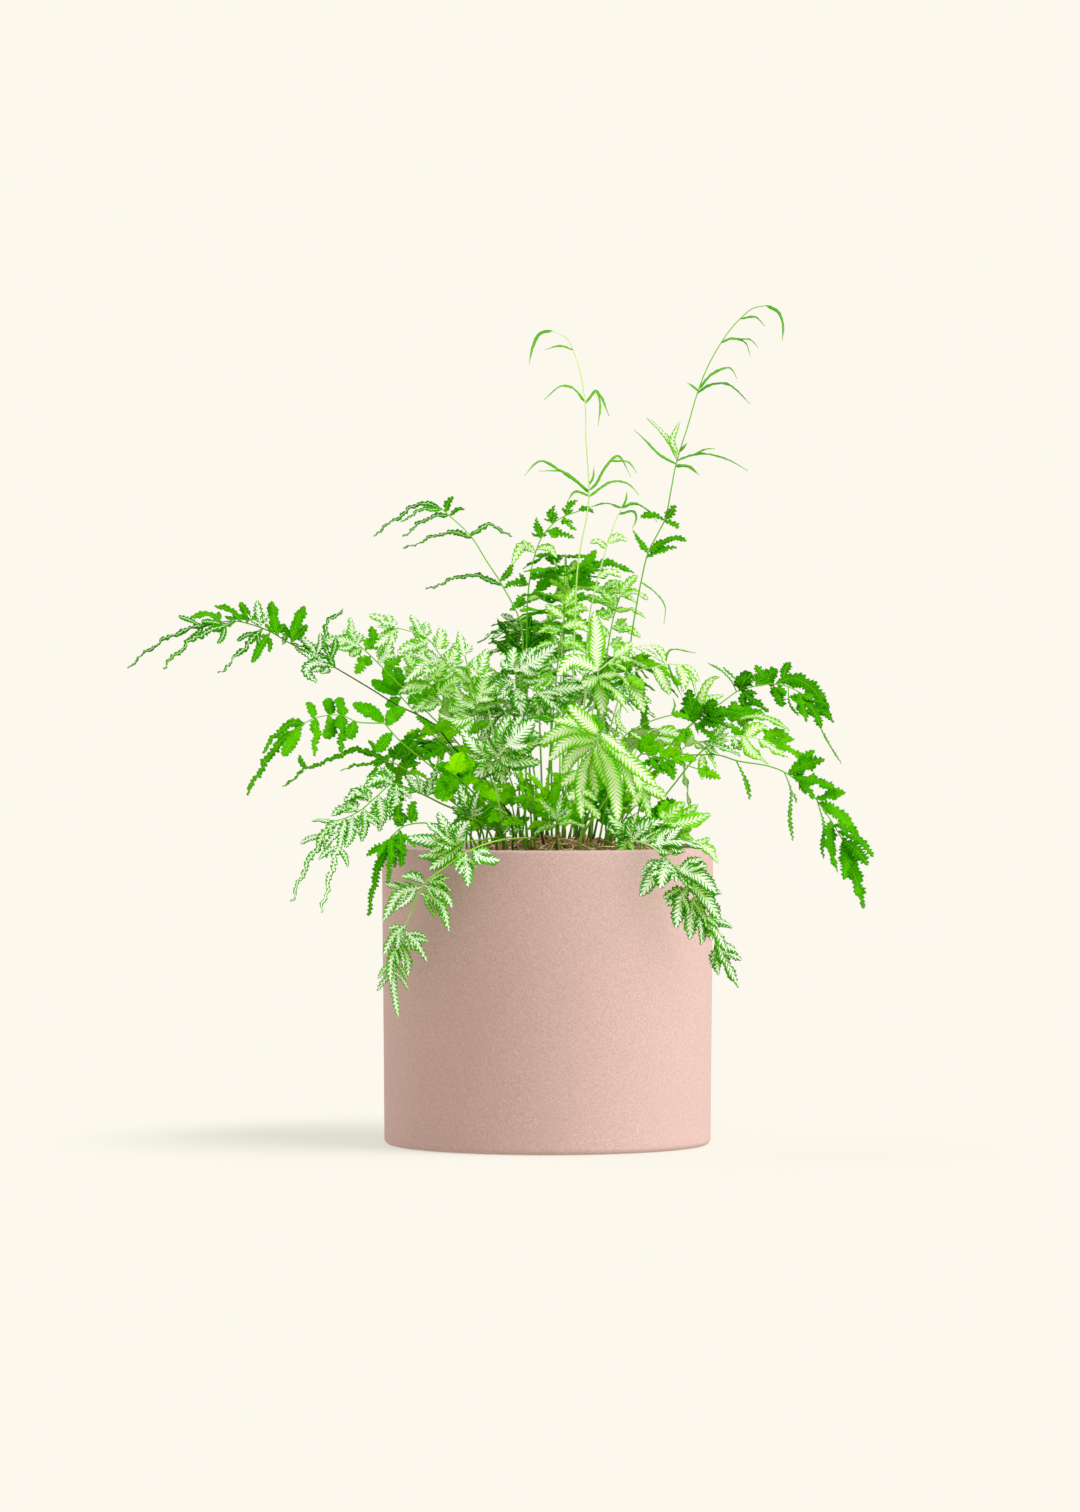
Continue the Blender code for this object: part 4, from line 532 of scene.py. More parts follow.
      "P12 599,739 622,763 634,796", ("P13 600,737 624,763 643,789 651,823", ["P10 642,787 654,790 666,799",
                                                                          "P9 640,785 637,797 633,807"]),
      "P13 601,736 631,763 656,786", "P12 601,734 616,745 631,757"]),
    ("right_hanging_pale_frond", (16, 9), 0.3, "pale",
     "598,780 614,715 628,676 640,670 655,667 668,664 683,665,-2",
     ["P6 683,665 692,670 699,682", "P12 655,667 663,680 670,695", "F4 668,664 674,680 682,697",
      "P10 678,664 684,677 682,692", "P9 681,664 693,676 696,694", "G13 629,676 636,681 645,688",
      "P13 628,678 637,694 644,713", "F4 664,664 670,650 696,653"]),
    ("right_upper_green_frond", (33, 10), 0.5, "green",
     "622,820 640,785 667,749 695,721 724,701 738,691 756,686,48",
     ["D18 739,690 744,681 752,673", "G12 741,691 755,701 769,712", "F4 737,692 731,680 720,669 708,663",
      "F4 743,689 735,678 723,667", "G9 755,686 762,675 755,665",
      ("R2 756,686 772,684 786,686 799,692 812,704",
       ["G11 812,704 825,712 834,723", "G14 776,684 792,678 811,687 829,711", "G13 799,692 803,706 806,722",
        "G10 805,697 815,714 821,728", "F3 809,701 817,720 829,743 842,764", "G11 778,685 779,696 783,707",
        "F4 788,688 790,704 799,716", "G14 766,684 770,675 778,669"])]),
    ("right_dark_frond", (28, -5), 0.45, "dark",
     "614,830 638,786 666,751 690,726 704,714,8",
     ["D13 704,714 724,711 743,714", "D17 694,723 691,706 688,689", "D17 703,715 708,705 717,701",
      "D11 701,716 717,720 730,728", "G10 698,719 710,722 721,727", "G10 694,723 706,731 717,740",
      "P8 700,715 701,698 712,679 720,677", "P8 703,714 706,701 724,695", "G9 688,727 683,737 676,745"]),
    ("right_side_sprig", (23, -13), 0.3, "green",
     "604,815 614,770 624,737 640,726 660,718 672,715,-14",
     ["G10 672,715 680,714 689,718", "F5 671,715 675,705 673,698", "P5 628,734 618,722 620,707", "P5 630,732 642,738 650,731"]),
    ("right_mid_pale_frond", (37, -9), 0.45, "green",
     "626,830 651,812 672,787 695,758 712,742 726,728 738,717,26",
     ["G12 738,717 750,712 764,713", "P15 736,719 746,724 744,737", "G11 731,723 735,730 743,736",
      "G12 732,722 733,710 736,701", "G11 735,720 746,706 759,702", "P12 734,720 757,716 776,722 790,731"]),
    ("long_right_frond", (30, -1), 0.5, "green",
     "617,818 637,787 657,762 678,754 690,755 718,755 738,761 768,766 786,773 806,788 816,799 832,822 845,844,-28",
     ["G13 845,844 854,872 864,909", "G14 788,774 806,764 825,759", "G11 795,779 803,762 815,750",
      "G14 792,777 816,779 838,790", "G12 798,782 808,789 814,800", ("F5 784,772 791,790 790,817 793,841",
                                                                    ["F3 790,790 794,795 797,803"]),
      "G14 816,799 832,793 846,792", "G13 819,803 840,814 860,836", "F5 817,801 824,827 822,848 824,859",
      "G13 834,825 848,830 861,843", "G9 838,831 860,840 874,857", "G14 831,821 831,847 837,872",
      "G12 842,838 857,851 868,865", "G10 843,841 846,862 844,880", "F6 736,760 746,782 750,800",
      "P9 702,755 703,766 702,780", "P6 708,755 713,761 716,769"]),
    ("right_pale_frond", (35, 3), 0.5, "pale",
     "624,812 640,793 653,780 673,758 690,744 706,741 733,736 756,738 772,743,16",
     ["G9 772,743 790,750 807,761", "P13 742,737 752,752 769,764", "P12 759,738 772,748 788,757",
      "G13 764,740 778,732 793,741", "V9 733,736 737,744 742,750", "V7 700,742 723,748 741,756",
      "V8 712,739 722,728 731,724", "P11 746,737 756,728 768,727", "P8 686,747 692,738 690,728"]),
    ("right_low_green_frond", (26, -17), 0.4, "green",
     "612,812 626,785 634,765 641,754 656,757 673,761 698,769,-34",
     ["G10 698,769 710,773 721,778", "G13 641,754 646,742 657,735", "D13 652,756 657,765 664,774",
      "D13 666,759 670,769 674,780", "G11 672,761 685,757 697,760", "G12 646,754 655,747 664,746",
      "G12 660,757 668,752 680,751"]),
    ("right_rim_pale_frond", (42, -17), 0.3, "pale",
     "642,832,-26 654,829,-40 664,824,-52",
     ["P14 664,824 690,821 711,814", "P14 663,825 673,812 685,802", "P14 662,825 685,814 698,804",
      "P14 661,826 680,827 692,830", "P13 659,827 680,833 694,841", "G12 661,826 663,812 666,800",
      "D11 659,827 662,806 676,800"]),
    ("front_right_trailing_frond", (31, -33), 0.15, "pale",
     "620,838,-48 632,840,-62 644,843,-76 654,848,-84 665,857,-84 686,882,-80 701,911,-76 715,938,-72",
     ["V12 715,938 727,962 739,988", "V13 630,840 620,826 608,816", "V12 632,840 631,829 633,818",
      "V13 633,840 645,827 664,820", "V14 640,842 658,835 678,836", "V15 650,845 676,841 703,848",
      "V11 628,840 624,848 618,857", "V13 664,857 655,874 640,897", "V11 667,859 663,874 660,889",
      "V12 688,885 680,905 676,929", "V11 694,897 691,917 690,940", "V10 700,909 701,926 701,945",
      "V14 674,868 696,875 717,893", "V13 686,882 704,897 720,920", "V11 703,915 717,932 727,953"]),
    ("small_right_rim_frond", (47, -24), 0.2, "lime",
     "664,838,-44 684,840,-58 699,845,-66",
     ["P11 699,845 709,850 718,864", "P9 695,843 704,841 710,838"]),
    ("crozier_right", (16, -15), 0.2, "lime",
     "598,812 612,788 622,762 625,742,-34", ["C6 625,742 619,737"]),
    ("crozier_left", (-15, -30), 0.2, "dark", "513,832 511,823,-32", ["C3 511,823 508,819"]),
    ("crozier_centre", (-2, -20), 0.2, "dark", "538,826 535,812,-24", ["C3 535,812 532,808"]),
    ("column_right_frond", (14, 17), 0.45, "green",
     "592,770 600,706 607,654 613,620 620,596,28",
     ["G12 620,596 628,583 638,575", "P12 620,600 636,593 648,600", "G11 618,605 607,595 598,588",
      "P12 617,611 632,609 646,618", "G12 615,617 601,612 590,619", "G12 613,628 628,627 641,638",
      "P11 612,635 598,631 587,640", "G12 610,645 624,646 636,657", "G12 608,653 596,651 586,661",
      "G11 606,664 620,665 631,676"]),
    ("column_left_frond", (-1, 14), 0.45, "green",
     "549,770 554,704 558,662 562,630 566,608,18",
     ["G12 566,608 570,597 577,588", "P11 564,617 554,610 545,605", "G12 565,614 577,608 589,610",
      "G12 562,631 549,627 538,633", "P12 563,627 577,623 589,631", "G12 560,646 546,643 534,651",
      "G12 560,643 574,643 587,653", "G12 558,661 545,661 533,672", "P11 558,659 572,663 584,675",
      "G12 556,676 543,680 533,692"]),
    ("inner_green_frond", (0, 3), 0.4, "green",
     "547,792 552,752 556,722 560,702,4",
     ["G13 560,702 571,691 585,685", "G12 558,707 547,696 536,688", "G13 557,712 573,709 590,716",
      "G12 555,721 542,715 528,718", "G12 554,731 568,729 583,739", "G12 553,742 540,739 526,746"]),
    ("silver_inner_left_frond", (-24, 4), 0.45, "green",
     "500,812 481,770 463,736 449,713 437,695 425,677,6",
     ["V11 425,677 413,665 404,651", "V11 427,681 440,669 446,653", "V11 431,687 415,685 400,692",
      "V12 437,695 450,685 462,671", "V11 442,702 427,703 412,712", "V12 449,712 463,705 477,699",
      "G12 455,722 441,725 428,736", "G12 461,732 475,727 489,722"]),
    ("left_inner_green_frond", (-23, 9), 0.5, "green",
     "498,815 481,786 463,762 447,746 431,734,16",
     ["G12 431,734 418,731 404,738", "D12 434,736 427,724 415,717", "G12 440,741 452,733 462,722",
      "D12 447,745 434,753 420,759", "G12 456,754 470,749 485,744", "G12 463,762 450,771 437,781"]),
    ("low_centre_green_frond", (19, -12), 0.2, "green",
     "591,822 593,804 594,788,-16",
     ["D13 594,788 604,782 615,786", "G12 593,793 583,784 572,780", "D12 593,799 606,800 618,809",
      "G12 592,806 580,803 569,810", "D12 591,813 603,816 612,826", "D11 590,818 579,819 571,828"]),
    ("low_star_frond", (4, -27), 0.15, "green",
     "556,828,-32 557,819,-36",
     ["V10 557,819 559,806 562,794", "P10 557,820 548,808 539,799", "P10 557,822 568,811 578,802",
      "P10 557,824 571,822 585,828", "P9 556,826 545,826 534,834"]),
    ("low_slim_frond", (-5, -13), 0.2, "green",
     "541,826 545,813 547,800,-18",
     ["G11 547,800 532,790 514,783", "G11 547,801 540,785 524,770", "D11 546,806 556,791 563,776",
      "G10 545,813 533,807 521,804"]),
    ("low_left_green_frond", (-27, 20), 0.3, "lime",
     "488,826 489,812 492,797,26",
     ["G20 492,797 484,786 476,776", "G20 490,806 503,797 514,786", "G18 489,815 477,808 468,800",
      "G18 489,817 500,818 511,812"]),
    ("low_mid_green_frond", (5, 13), 0.3, "green",
     "558,826 562,806 566,786,16",
     ["G12 566,786 557,776 546,768", "G12 565,792 577,784 590,780", "G12 563,801 550,797 538,800",
      "D12 562,808 573,806 585,812"]),
    ("low_right_green_frond", (26, 14), 0.3, "green",
     "606,826 614,806 622,788,18",
     ["G12 622,788 632,779 643,774", "G12 620,794 609,786 600,777", "D12 617,802 630,800 642,806",
      "G12 613,810 603,806 595,812"]),
]

# The far side of the plant: arching fronds set out by bearing. Name, foot (mm), bearing in
# degrees from +X towards +Y, reach, rise and drop at the tip (mm), kind, pairs of blades,
# length of the longest blade (mm) and the stalk.
FAR_FRONDS = [
    ("rear_frond_1", (20, 24), 74, 100, 86, 46, "G", 5, 26, "green"),
    ("rear_frond_2", (12, 30), 83, 135, 76, 58, "V", 5, 28, "pale"),
    ("rear_frond_3", (2, 33), 91, 112, 110, 40, "G", 5, 26, "green"),
    ("rear_frond_4", (-9, 31), 100, 140, 68, 62, "V", 5, 28, "green"),
    ("rear_frond_5", (-19, 28), 108, 104, 84, 48, "P", 5, 25, "pale"),
    ("rear_frond_6", (7, 24), 88, 70, 132, 30, "D", 5, 24, "dark"),
    ("rear_frond_7", (-2, 20), 100, 62, 100, 36, "V", 5, 24, "green"),
    ("rear_frond_8", (30, 22), 60, 74, 54, 40, "P", 4, 22, "pale"),
    ("rear_frond_9", (-30, 22), 124, 78, 52, 38, "D", 4, 22, "dark"),
]


def far_entry(name, foot, bearing, reach, rise, drop, kind, pairs, longest, stalk):
    """One arching frond of the far side, plotted on the same grid as the rest."""
    a = math.radians(bearing)
    out = Vector((math.cos(a), math.sin(a), 0.0))
    across = Vector((-math.sin(a), math.cos(a), 0.0))
    base = Vector((foot[0] * MM, foot[1] * MM, ground(foot[0] * MM, foot[1] * MM)))
    arc = [(0.10, 0.40), (0.24, 0.74), (0.42, 0.95), (0.60, 1.0), (0.78, 0.93)]
    stops = [base + out * (f * reach * MM) + Vector((0, 0, g * rise * MM)) for f, g in arc]
    seed = bearing

    def place(p, after=None):
        column, row = unplot(p)
        if after is None:
            return "%.1f,%.1f,%.1f" % (column, row, p.y / MM)
        return "%.1f,%.1f,%.1f" % (column, row, (p.y - after.y) / MM)

    course = " ".join(place(p) for p in stops)
    stalk_path = Branch("R", 1.5 * MM, [base] + stops, Vector((0, 0, 1)), 0)
    blades = []
    end = stops[-1]
    way = stalk_path.tangent(stalk_path.length)
    tip = base + out * (reach * MM) + Vector((0, 0, (rise - drop) * MM))
    middle = end.lerp(tip, 0.5) + Vector((0, 0, 0.006))
    blades.append("%s12 %s %s %s" % (kind, place(end, end), place(middle, end), place(tip, end)))
    for i in range(pairs):
        s = stalk_path.length * (1.0 - 0.04 - 0.44 * i / pairs)
        p, t, _, _ = stalk_path.frame(s)
        size = longest * MM * (0.78 + 0.22 * math.sin(2.2 * (i + 1) / pairs + 0.6))
        for hand in (-1, 1):
            jitter = 0.85 + 0.3 * scatter(seed + i * 2.0 + hand)
            flat = (across * hand * 0.9 + t * 0.55).normalized() * size * jitter
            sag = 0.18 + 0.14 * scatter(seed + i * 3.0 + hand * 0.5)
            mid = p + flat * 0.5 + Vector((0, 0, -sag * 0.35 * size))
            far = p + flat + Vector((0, 0, -sag * 1.6 * size))
            blades.append("%s%.1f %s %s %s" % (kind, 11.0 + 3.0 * jitter, place(p, p), place(mid, p), place(far, p)))
            if i == pairs - 1 and kind != "D":
                low = p + (across * hand * 0.75 - out * 0.05).normalized() * size * 0.55 + Vector((0, 0, -0.55 * size))
                half = p.lerp(low, 0.5) + Vector((0, 0, 0.1 * size))
                blades.append("%s9 %s %s %s" % (kind, place(p, p), place(half, p), place(low, p)))
    facing = (out.x * 0.35, max(0.06, out.y * 0.35), 0.93)
    return (name, foot, 0.0, stalk, course, blades, facing)


def all_entries():
    return FRONDS + [far_entry(*row) for row in FAR_FRONDS]


# ---- turned pieces ----------------------------------------------------------------
def arc(cx, cz, radius, start, stop, steps):
    """Points of a circular arc in the (radius, height) plane, angles in degrees."""
    out = []
    for i in range(steps + 1):
        a = math.radians(start + (stop - start) * i / steps)
        out.append((cx + radius * math.cos(a), cz + radius * math.sin(a)))
    return out


def pot_radius(z):
    return POT_FOOT_RADIUS + (POT_RIM_RADIUS - POT_FOOT_RADIUS) * z / POT_HEIGHT


def pot_profile():
    """From the middle of the foot, out, up, over the rim and down to the inner floor."""
    outer, inner = FOOT_ROUNDING, RIM_ROUNDING
    points = [(0.0, 0.0)]
    points += arc(pot_radius(outer) - outer, outer, outer, -90, 0, 3)
    points += [(pot_radius(POT_HEIGHT * 0.5), POT_HEIGHT * 0.5)]
    points += arc(POT_RIM_RADIUS - inner, POT_HEIGHT - inner, inner, 0, 90, 3)
    points += arc(POT_RIM_RADIUS - POT_WALL + inner, POT_HEIGHT - inner, inner, 90, 180, 3)
    points += arc(pot_radius(POT_FLOOR) - POT_WALL - 4 * MM, POT_FLOOR + 4 * MM, 4 * MM, 0, -90, 2)
    points += [(0.0, POT_FLOOR)]
    return points


def soil_profile():
    side = [(pot_radius(z) - POT_WALL - GAP, z) for z in (POT_FLOOR + 5 * MM, 0.066, SOIL_EDGE_HEIGHT - 1.2 * MM)]
    points = [(0.0, POT_FLOOR + GAP), (side[0][0] - 4.6 * MM, POT_FLOOR + GAP)] + side
    for f in (0.985, 0.86, 0.66, 0.44, 0.22):
        r = f * (SOIL_RADIUS - GAP)
        points.append((r, soil_height(r, 0.0)))
    points.append((0.0, soil_height(0.0, 0.0)))
    return points


def turned(profile, sides):
    """A closed solid of revolution; the profile starts and ends on the axis."""
    verts, faces, rings = [], [], []
    for r, z in profile:
        if r <= 1e-9:
            rings.append([len(verts)])
            verts.append(Vector((0.0, 0.0, z)))
        else:
            rings.append(list(range(len(verts), len(verts) + sides)))
            for i in range(sides):
                a = 2 * math.pi * i / sides
                verts.append(Vector((r * math.cos(a), r * math.sin(a), z)))
    for low, high in zip(rings, rings[1:]):
        for i in range(sides):
            j = (i + 1) % sides
            if len(low) == 1:
                faces.append((low[0], high[j], high[i]))
            elif len(high) == 1:
                faces.append((low[i], low[j], high[0]))
            else:
                faces.append((low[i], low[j], high[j], high[i]))
    return verts, faces


def crown_solid():
    """The fibrous clump: a low lumpy dome that follows the mix below it."""
    rings, sides = 5, 26
    edge = 0.985
    verts = [Vector((CROWN_CENTRE[0], CROWN_CENTRE[1], 0.0))]
    for k in range(1, rings + 1):
        for i in range(sides):
            a = 2 * math.pi * i / sides
            f = edge * k / rings * (1.0 if k < rings else 1.0 - 0.02 * math.sin(5 * a))
            verts.append(Vector((CROWN_CENTRE[0] + CROWN_HALF_WIDTH * f * math.cos(a),
                                 CROWN_CENTRE[1] + CROWN_HALF_DEPTH * f * math.sin(a), 0.0)))
    top, low = [], []
    for v in verts:
        floor = soil_height(v.x, v.y) + GAP
        top.append(Vector((v.x, v.y, floor + max(crown_lift(v.x, v.y), 1.2 * MM))))
        low.append(Vector((v.x, v.y, floor)))
    n = len(verts)
    faces = []
    for i in range(sides):
        j = (i + 1) % sides
        faces.append((0, 1 + i, 1 + j))
        faces.append((n, n + 1 + j, n + 1 + i))
        for k in range(rings - 1):
            a, b = 1 + k * sides + i, 1 + k * sides + j
            c, d = b + sides, a + sides
            faces.append((a, d, c, b))
            faces.append((n + a, n + b, n + c, n + d))
        a, b = 1 + (rings - 1) * sides + i, 1 + (rings - 1) * sides + j
        faces.append((a, n + a, n + b, b))
    return top + low, faces


# ---- fronds as solids -----------------------------------------------------------
def stalk_stations(branch):
    """Distances along a stalk where its section is set: its ends, its bends, its slots."""
    fixed = [0.0, branch.length]
    for s in branch.slots:
        fixed += [s - SLOT_HALF, s + SLOT_HALF]
    fixed = sorted(x for x in fixed if 0.0 <= x <= branch.length)
    out = [fixed[0]]
    for b in fixed[1:]:
        a = out[-1]
        if b - a > 4 * MM:
            turn = 0.0
            steps = 8
            last = branch.tangent(a)
            for i in range(1, steps + 1):
                t = branch.tangent(a + (b - a) * i / steps)
                turn += last.angle(t, 0.0)
                last = t
            parts = max(1, int(round(turn / 0.42)), int((b - a) / (42 * MM)) + 1)
            for i in range(1, parts):
                out.append(a + (b - a) * i / parts)
        if b - out[-1] > 0.15 * MM:
            out.append(b)
    return out


def blade_stations(branch):
    size, half = branch.length, branch.width / 2
    if branch.kind == "C":
        return [(size * i / 9, 0.55 * MM) for i in range(1, 10)]
    if branch.kind == "F":
        steps = 2 if size < 14 * MM else 3
        return [(size * i / steps, max(0.45 * MM, half * (0.9 if i < steps else 0.35))) for i in range(1, steps + 1)]
    foot = max(1.7 * MM, size * 0.11)
    if size < 15 * MM:
        return [(foot, half * 0.6), (size * 0.5, half), (size, 0.35 * MM)]
    return [(foot, half * 0.55), (size * 0.34, half * 0.95), (size * 0.70, half * 0.85), (size, 0.35 * MM)]


def strips(root):
    """The frond's mid-surface: points, their normals, quads, whose quad each is, and the
    share of that blade's length at the quad's two ends."""
    points, normals, quads, owners, shares = [], [], [], [], []

    def section(branch, s, half, turned=1.0, root_normal=None):
        p, t, _, n = branch.frame(s)
        n = n * turned
        if root_normal is not None:
            n = n + (root_normal - t * root_normal.dot(t)) * 0.8
            n = (n - t * n.dot(t)).normalized()
        side = n.cross(t)
        points.extend((p + side * half, p - side * half))
        normals.extend((n, n))
        return len(points) - 2, len(points) - 1

    def lay(branch, left, right):
        turned, root_normal = 1.0, None
        if branch.kind == "R":
            stations = [(s, branch.width / 2 * (1.0 - 0.3 * s / branch.length)) for s in stalk_stations(branch)]
        else:
            stations = blade_stations(branch)
        rows = []
        if left is None:
            left, right = section(branch, *stations[0])
            stations = stations[1:]
            rows.append((0.0, left, right))
        else:
            stations = [x for x in stations if x[0] > 0.9 * MM]
            rows.append((0.0, left, right))
            # the same face stays up where the blade joins the stalk
            if (points[left] - points[right]).dot(branch.frame(1.0 * MM)[2]) < 0:
                turned = -1.0
            if branch.kind not in "RC":
                root_normal = normals[left] + normals[right]
        for s, half in stations:
            a, b = section(branch, s, half, turned, root_normal)
            root_normal = None
            quads.append((rows[-1][1], rows[-1][2], b, a))
            owners.append(branch.seed)
            shares.append((rows[-1][0] / branch.length, s / branch.length))
            rows.append((s, a, b))
        if branch.kind != "R":
            return
        for s, hand, child in branch.placed:
            i = min(range(len(rows) - 1), key=lambda i: abs((rows[i][0] + rows[i + 1][0]) / 2 - s))
            if hand > 0:
                lay(child, rows[i][1], rows[i + 1][1])
            else:
                lay(child, rows[i + 1][2], rows[i][2])
        for child in branch.ends:
            lay(child, rows[-1][1], rows[-1][2])

    lay(root, None, None)
    return points, normals, quads, owners, shares


def halves(points, quad):
    """The quad as two triangles, split along the diagonal that folds it least."""
    a, b, c, d = quad
    best = None
    for pair in (((a, b, c), (a, c, d)), ((a, b, d), (b, c, d))):
        ways = [(points[j] - points[i]).cross(points[k] - points[i]) for i, j, k in pair]
        fit = ways[0].normalized().dot(ways[1].normalized())
        if best is None or fit > best[0] + 0.02:
            best = (fit, pair)
    return best[1]


def thick(points, normals, quads, thickness, spread=0.0):
    """Gives the mid-surface its thickness, as one closed solid."""
    n = len(points)
    h = thickness / 2
    top = [p + m * h for p, m in zip(points, normals)]
    low = [p - m * h for p, m in zip(points, normals)]
    if spread:
        shove = [Vector((0, 0, 0)) for _ in points]
        for a, b, c, d in quads:
            for x, y in ((a, b), (b, a), (c, d), (d, c)):
                way = points[x] - points[y]
                if way.length > 1e-9:
                    shove[x] += way.normalized()
        for i, way in enumerate(shove):
            if way.length > 1e-9:
                way = way.normalized() * spread
                top[i] += way
                low[i] += way
    faces, sources = [], []
    for k, q in enumerate(quads):
        for tri in halves(points, q):
            faces += [tri, tuple(i + n for i in reversed(tri))]
            sources += [k, k]
    used = {}
    for q in quads:
        for i in range(4):
            a, b = q[i], q[(i + 1) % 4]
            used[(a, b)] = used.get((a, b), 0) + 1
    for k, q in enumerate(quads):
        for i in range(4):
            a, b = q[i], q[(i + 1) % 4]
            if (b, a) not in used:
                faces.append((b, a, a + n, b + n))
                sources.append(k)
    return top + low, faces, sources


# shares along and across a quad at which a blade is compared with its neighbours
SAMPLES = [(a, b) for a in (0.12, 0.37, 0.62, 0.87) for b in (0.1, 0.5, 0.9)]
LIFTS = np.array([0.0, 1.2, -1.2, 2.4, -2.4, 3.6, -3.6, 4.8, -4.8, 6.0, -6.0, 7.5, -7.5, 9.0, -9.0]) * MM


def untangle(root):
    """Finds how far each blade of a frond is lifted so that no blade runs through another."""
    points, _, quads, owners, shares = strips(root)
    points = np.array([p[:] for p in points])
    blades = {}
    for quad, owner, (low, high) in zip(quads, owners, shares):
        blades.setdefault(owner, []).append((points[list(quad)], lift_share(low), lift_share(high)))
    kinds = {}

    def walk(branch):
        kinds[branch.seed] = branch.kind
        for _, child in branch.children:
            walk(child)

    walk(root)
    movable = [k for k in blades if kinds[k] not in "RC"]
    corners, corner_share, samples, sample_share, weights, boxes, faces = {}, {}, {}, {}, {}, {}, {}
    for k, pieces in blades.items():
        tri, share, dots, dot_share, weight = [], [], [], [], []
        normal = np.zeros(3)
        for p, low, high in pieces:
            level = np.array([low, low, high, high])
            for pick in ((0, 1, 2), (0, 2, 3)):
                tri.append(p[list(pick)])
                share.append(level[list(pick)])
            cross = np.cross(p[2] - p[0], p[3] - p[1])
            normal = normal + (cross if cross @ normal >= 0 else -cross)
            for a, b in SAMPLES:
                dots.append((p[0] * (1 - b) + p[1] * b) * (1 - a) + (p[3] * (1 - b) + p[2] * b) * a)
                dot_share.append(low * (1 - a) + high * a)
                weight.append(np.linalg.norm(cross) / 2 / len(SAMPLES) / MM ** 2)
        corners[k], corner_share[k] = np.array(tri), np.array(share)
        samples[k], sample_share[k], weights[k] = np.array(dots), np.array(dot_share), np.array(weight)
        faces[k] = normal / max(np.linalg.norm(normal), 1e-12)
        flat = points[[i for quad, owner in zip(quads, owners) if owner == k for i in quad]][:, [0, 2]]
        boxes[k] = (flat.min(0) - 1.5 * MM, flat.max(0) + 1.5 * MM)

    near = {
        k: [j for j in blades if j != k and (boxes[k][0] < boxes[j][1]).all() and (boxes[j][0] < boxes[k][1]).all()]
        for k in blades
    }
    lifts = dict.fromkeys(blades, 0.0)

    def cost(dots, weight, tri, face):
        """Area of the sampled blade that lies within the other's thickness, for each lift."""
        first = np.cross(face, (0.3, 0.2, 0.93))
        first /= np.linalg.norm(first)
        second = np.cross(face, first)
        p = np.stack((dots @ first, dots @ second, dots @ face), -1)[:, :, None]
        q = np.stack((tri @ first, tri @ second, tri @ face), -1)[:, None]
        a, b, c = q[..., 0, :], q[..., 1, :], q[..., 2, :]
        u, v, w = b - a, c - a, p - a
        area = u[..., 0] * v[..., 1] - u[..., 1] * v[..., 0]
        area = np.where(np.abs(area) < 1e-12, 1e-12, area)
        s = (w[..., 0] * v[..., 1] - w[..., 1] * v[..., 0]) / area
        t = (u[..., 0] * w[..., 1] - u[..., 1] * w[..., 0]) / area
        gap = np.abs(w[..., 2] - s * u[..., 2] - t * v[..., 2])
        inside = (s >= -0.02) & (t >= -0.02) & (s + t <= 1.02)
        depth = np.where(inside, np.clip(1.0 - gap / (1.1 * MM), 0.0, 1.0), 0.0).max(2)
        return (depth * weight).sum(1)

    def lifted(values, share, amounts):
        out = np.repeat(values[None], len(amounts), 0)
        out[..., 1] += share[None] * amounts.reshape((-1,) + (1,) * share.ndim)
        return out

    def total(k, amounts):
        value = np.abs(amounts) / MM * 0.12
        for j in near[k]:
            there = np.array([lifts[j]])
            value = value + cost(lifted(samples[k], sample_share[k], amounts), weights[k],
                                 lifted(corners[j], corner_share[j], there), faces[j])
            value = value + cost(lifted(samples[j], sample_share[j], there), weights[j],
                                 lifted(corners[k], corner_share[k], amounts), faces[k])
        return value

    for _ in range(3):
        moved = False
        for k in movable:
            now = total(k, np.array([lifts[k]]))[0]
            if now < 0.6:
                continue
            values = total(k, LIFTS)
            best = int(values.argmin())
            if values[best] < now - 0.3:
                lifts[k], moved = float(LIFTS[best]), True
        if not moved:
            break
    return {k: (lift, 1.0) for k, lift in lifts.items() if lift}


TWEAKS = [(3.5 * MM, 1.0), (-3.5 * MM, 1.0), (7 * MM, 1.0), (-7 * MM, 1.0), (11 * MM, 0.95), (-11 * MM, 0.95),
          (0.0, 0.72), (5 * MM, 0.72), (-5 * MM, 0.72), (9 * MM, 0.6), (-9 * MM, 0.6), (0.0, 0.45), (4 * MM, 0.35),
          (-4 * MM, 0.35), (0.0, 0.0)]
SHIFTS = [0.0]
for _step in range(1, 9):
    SHIFTS += [_step * 3.5 * MM, -_step * 3.5 * MM]


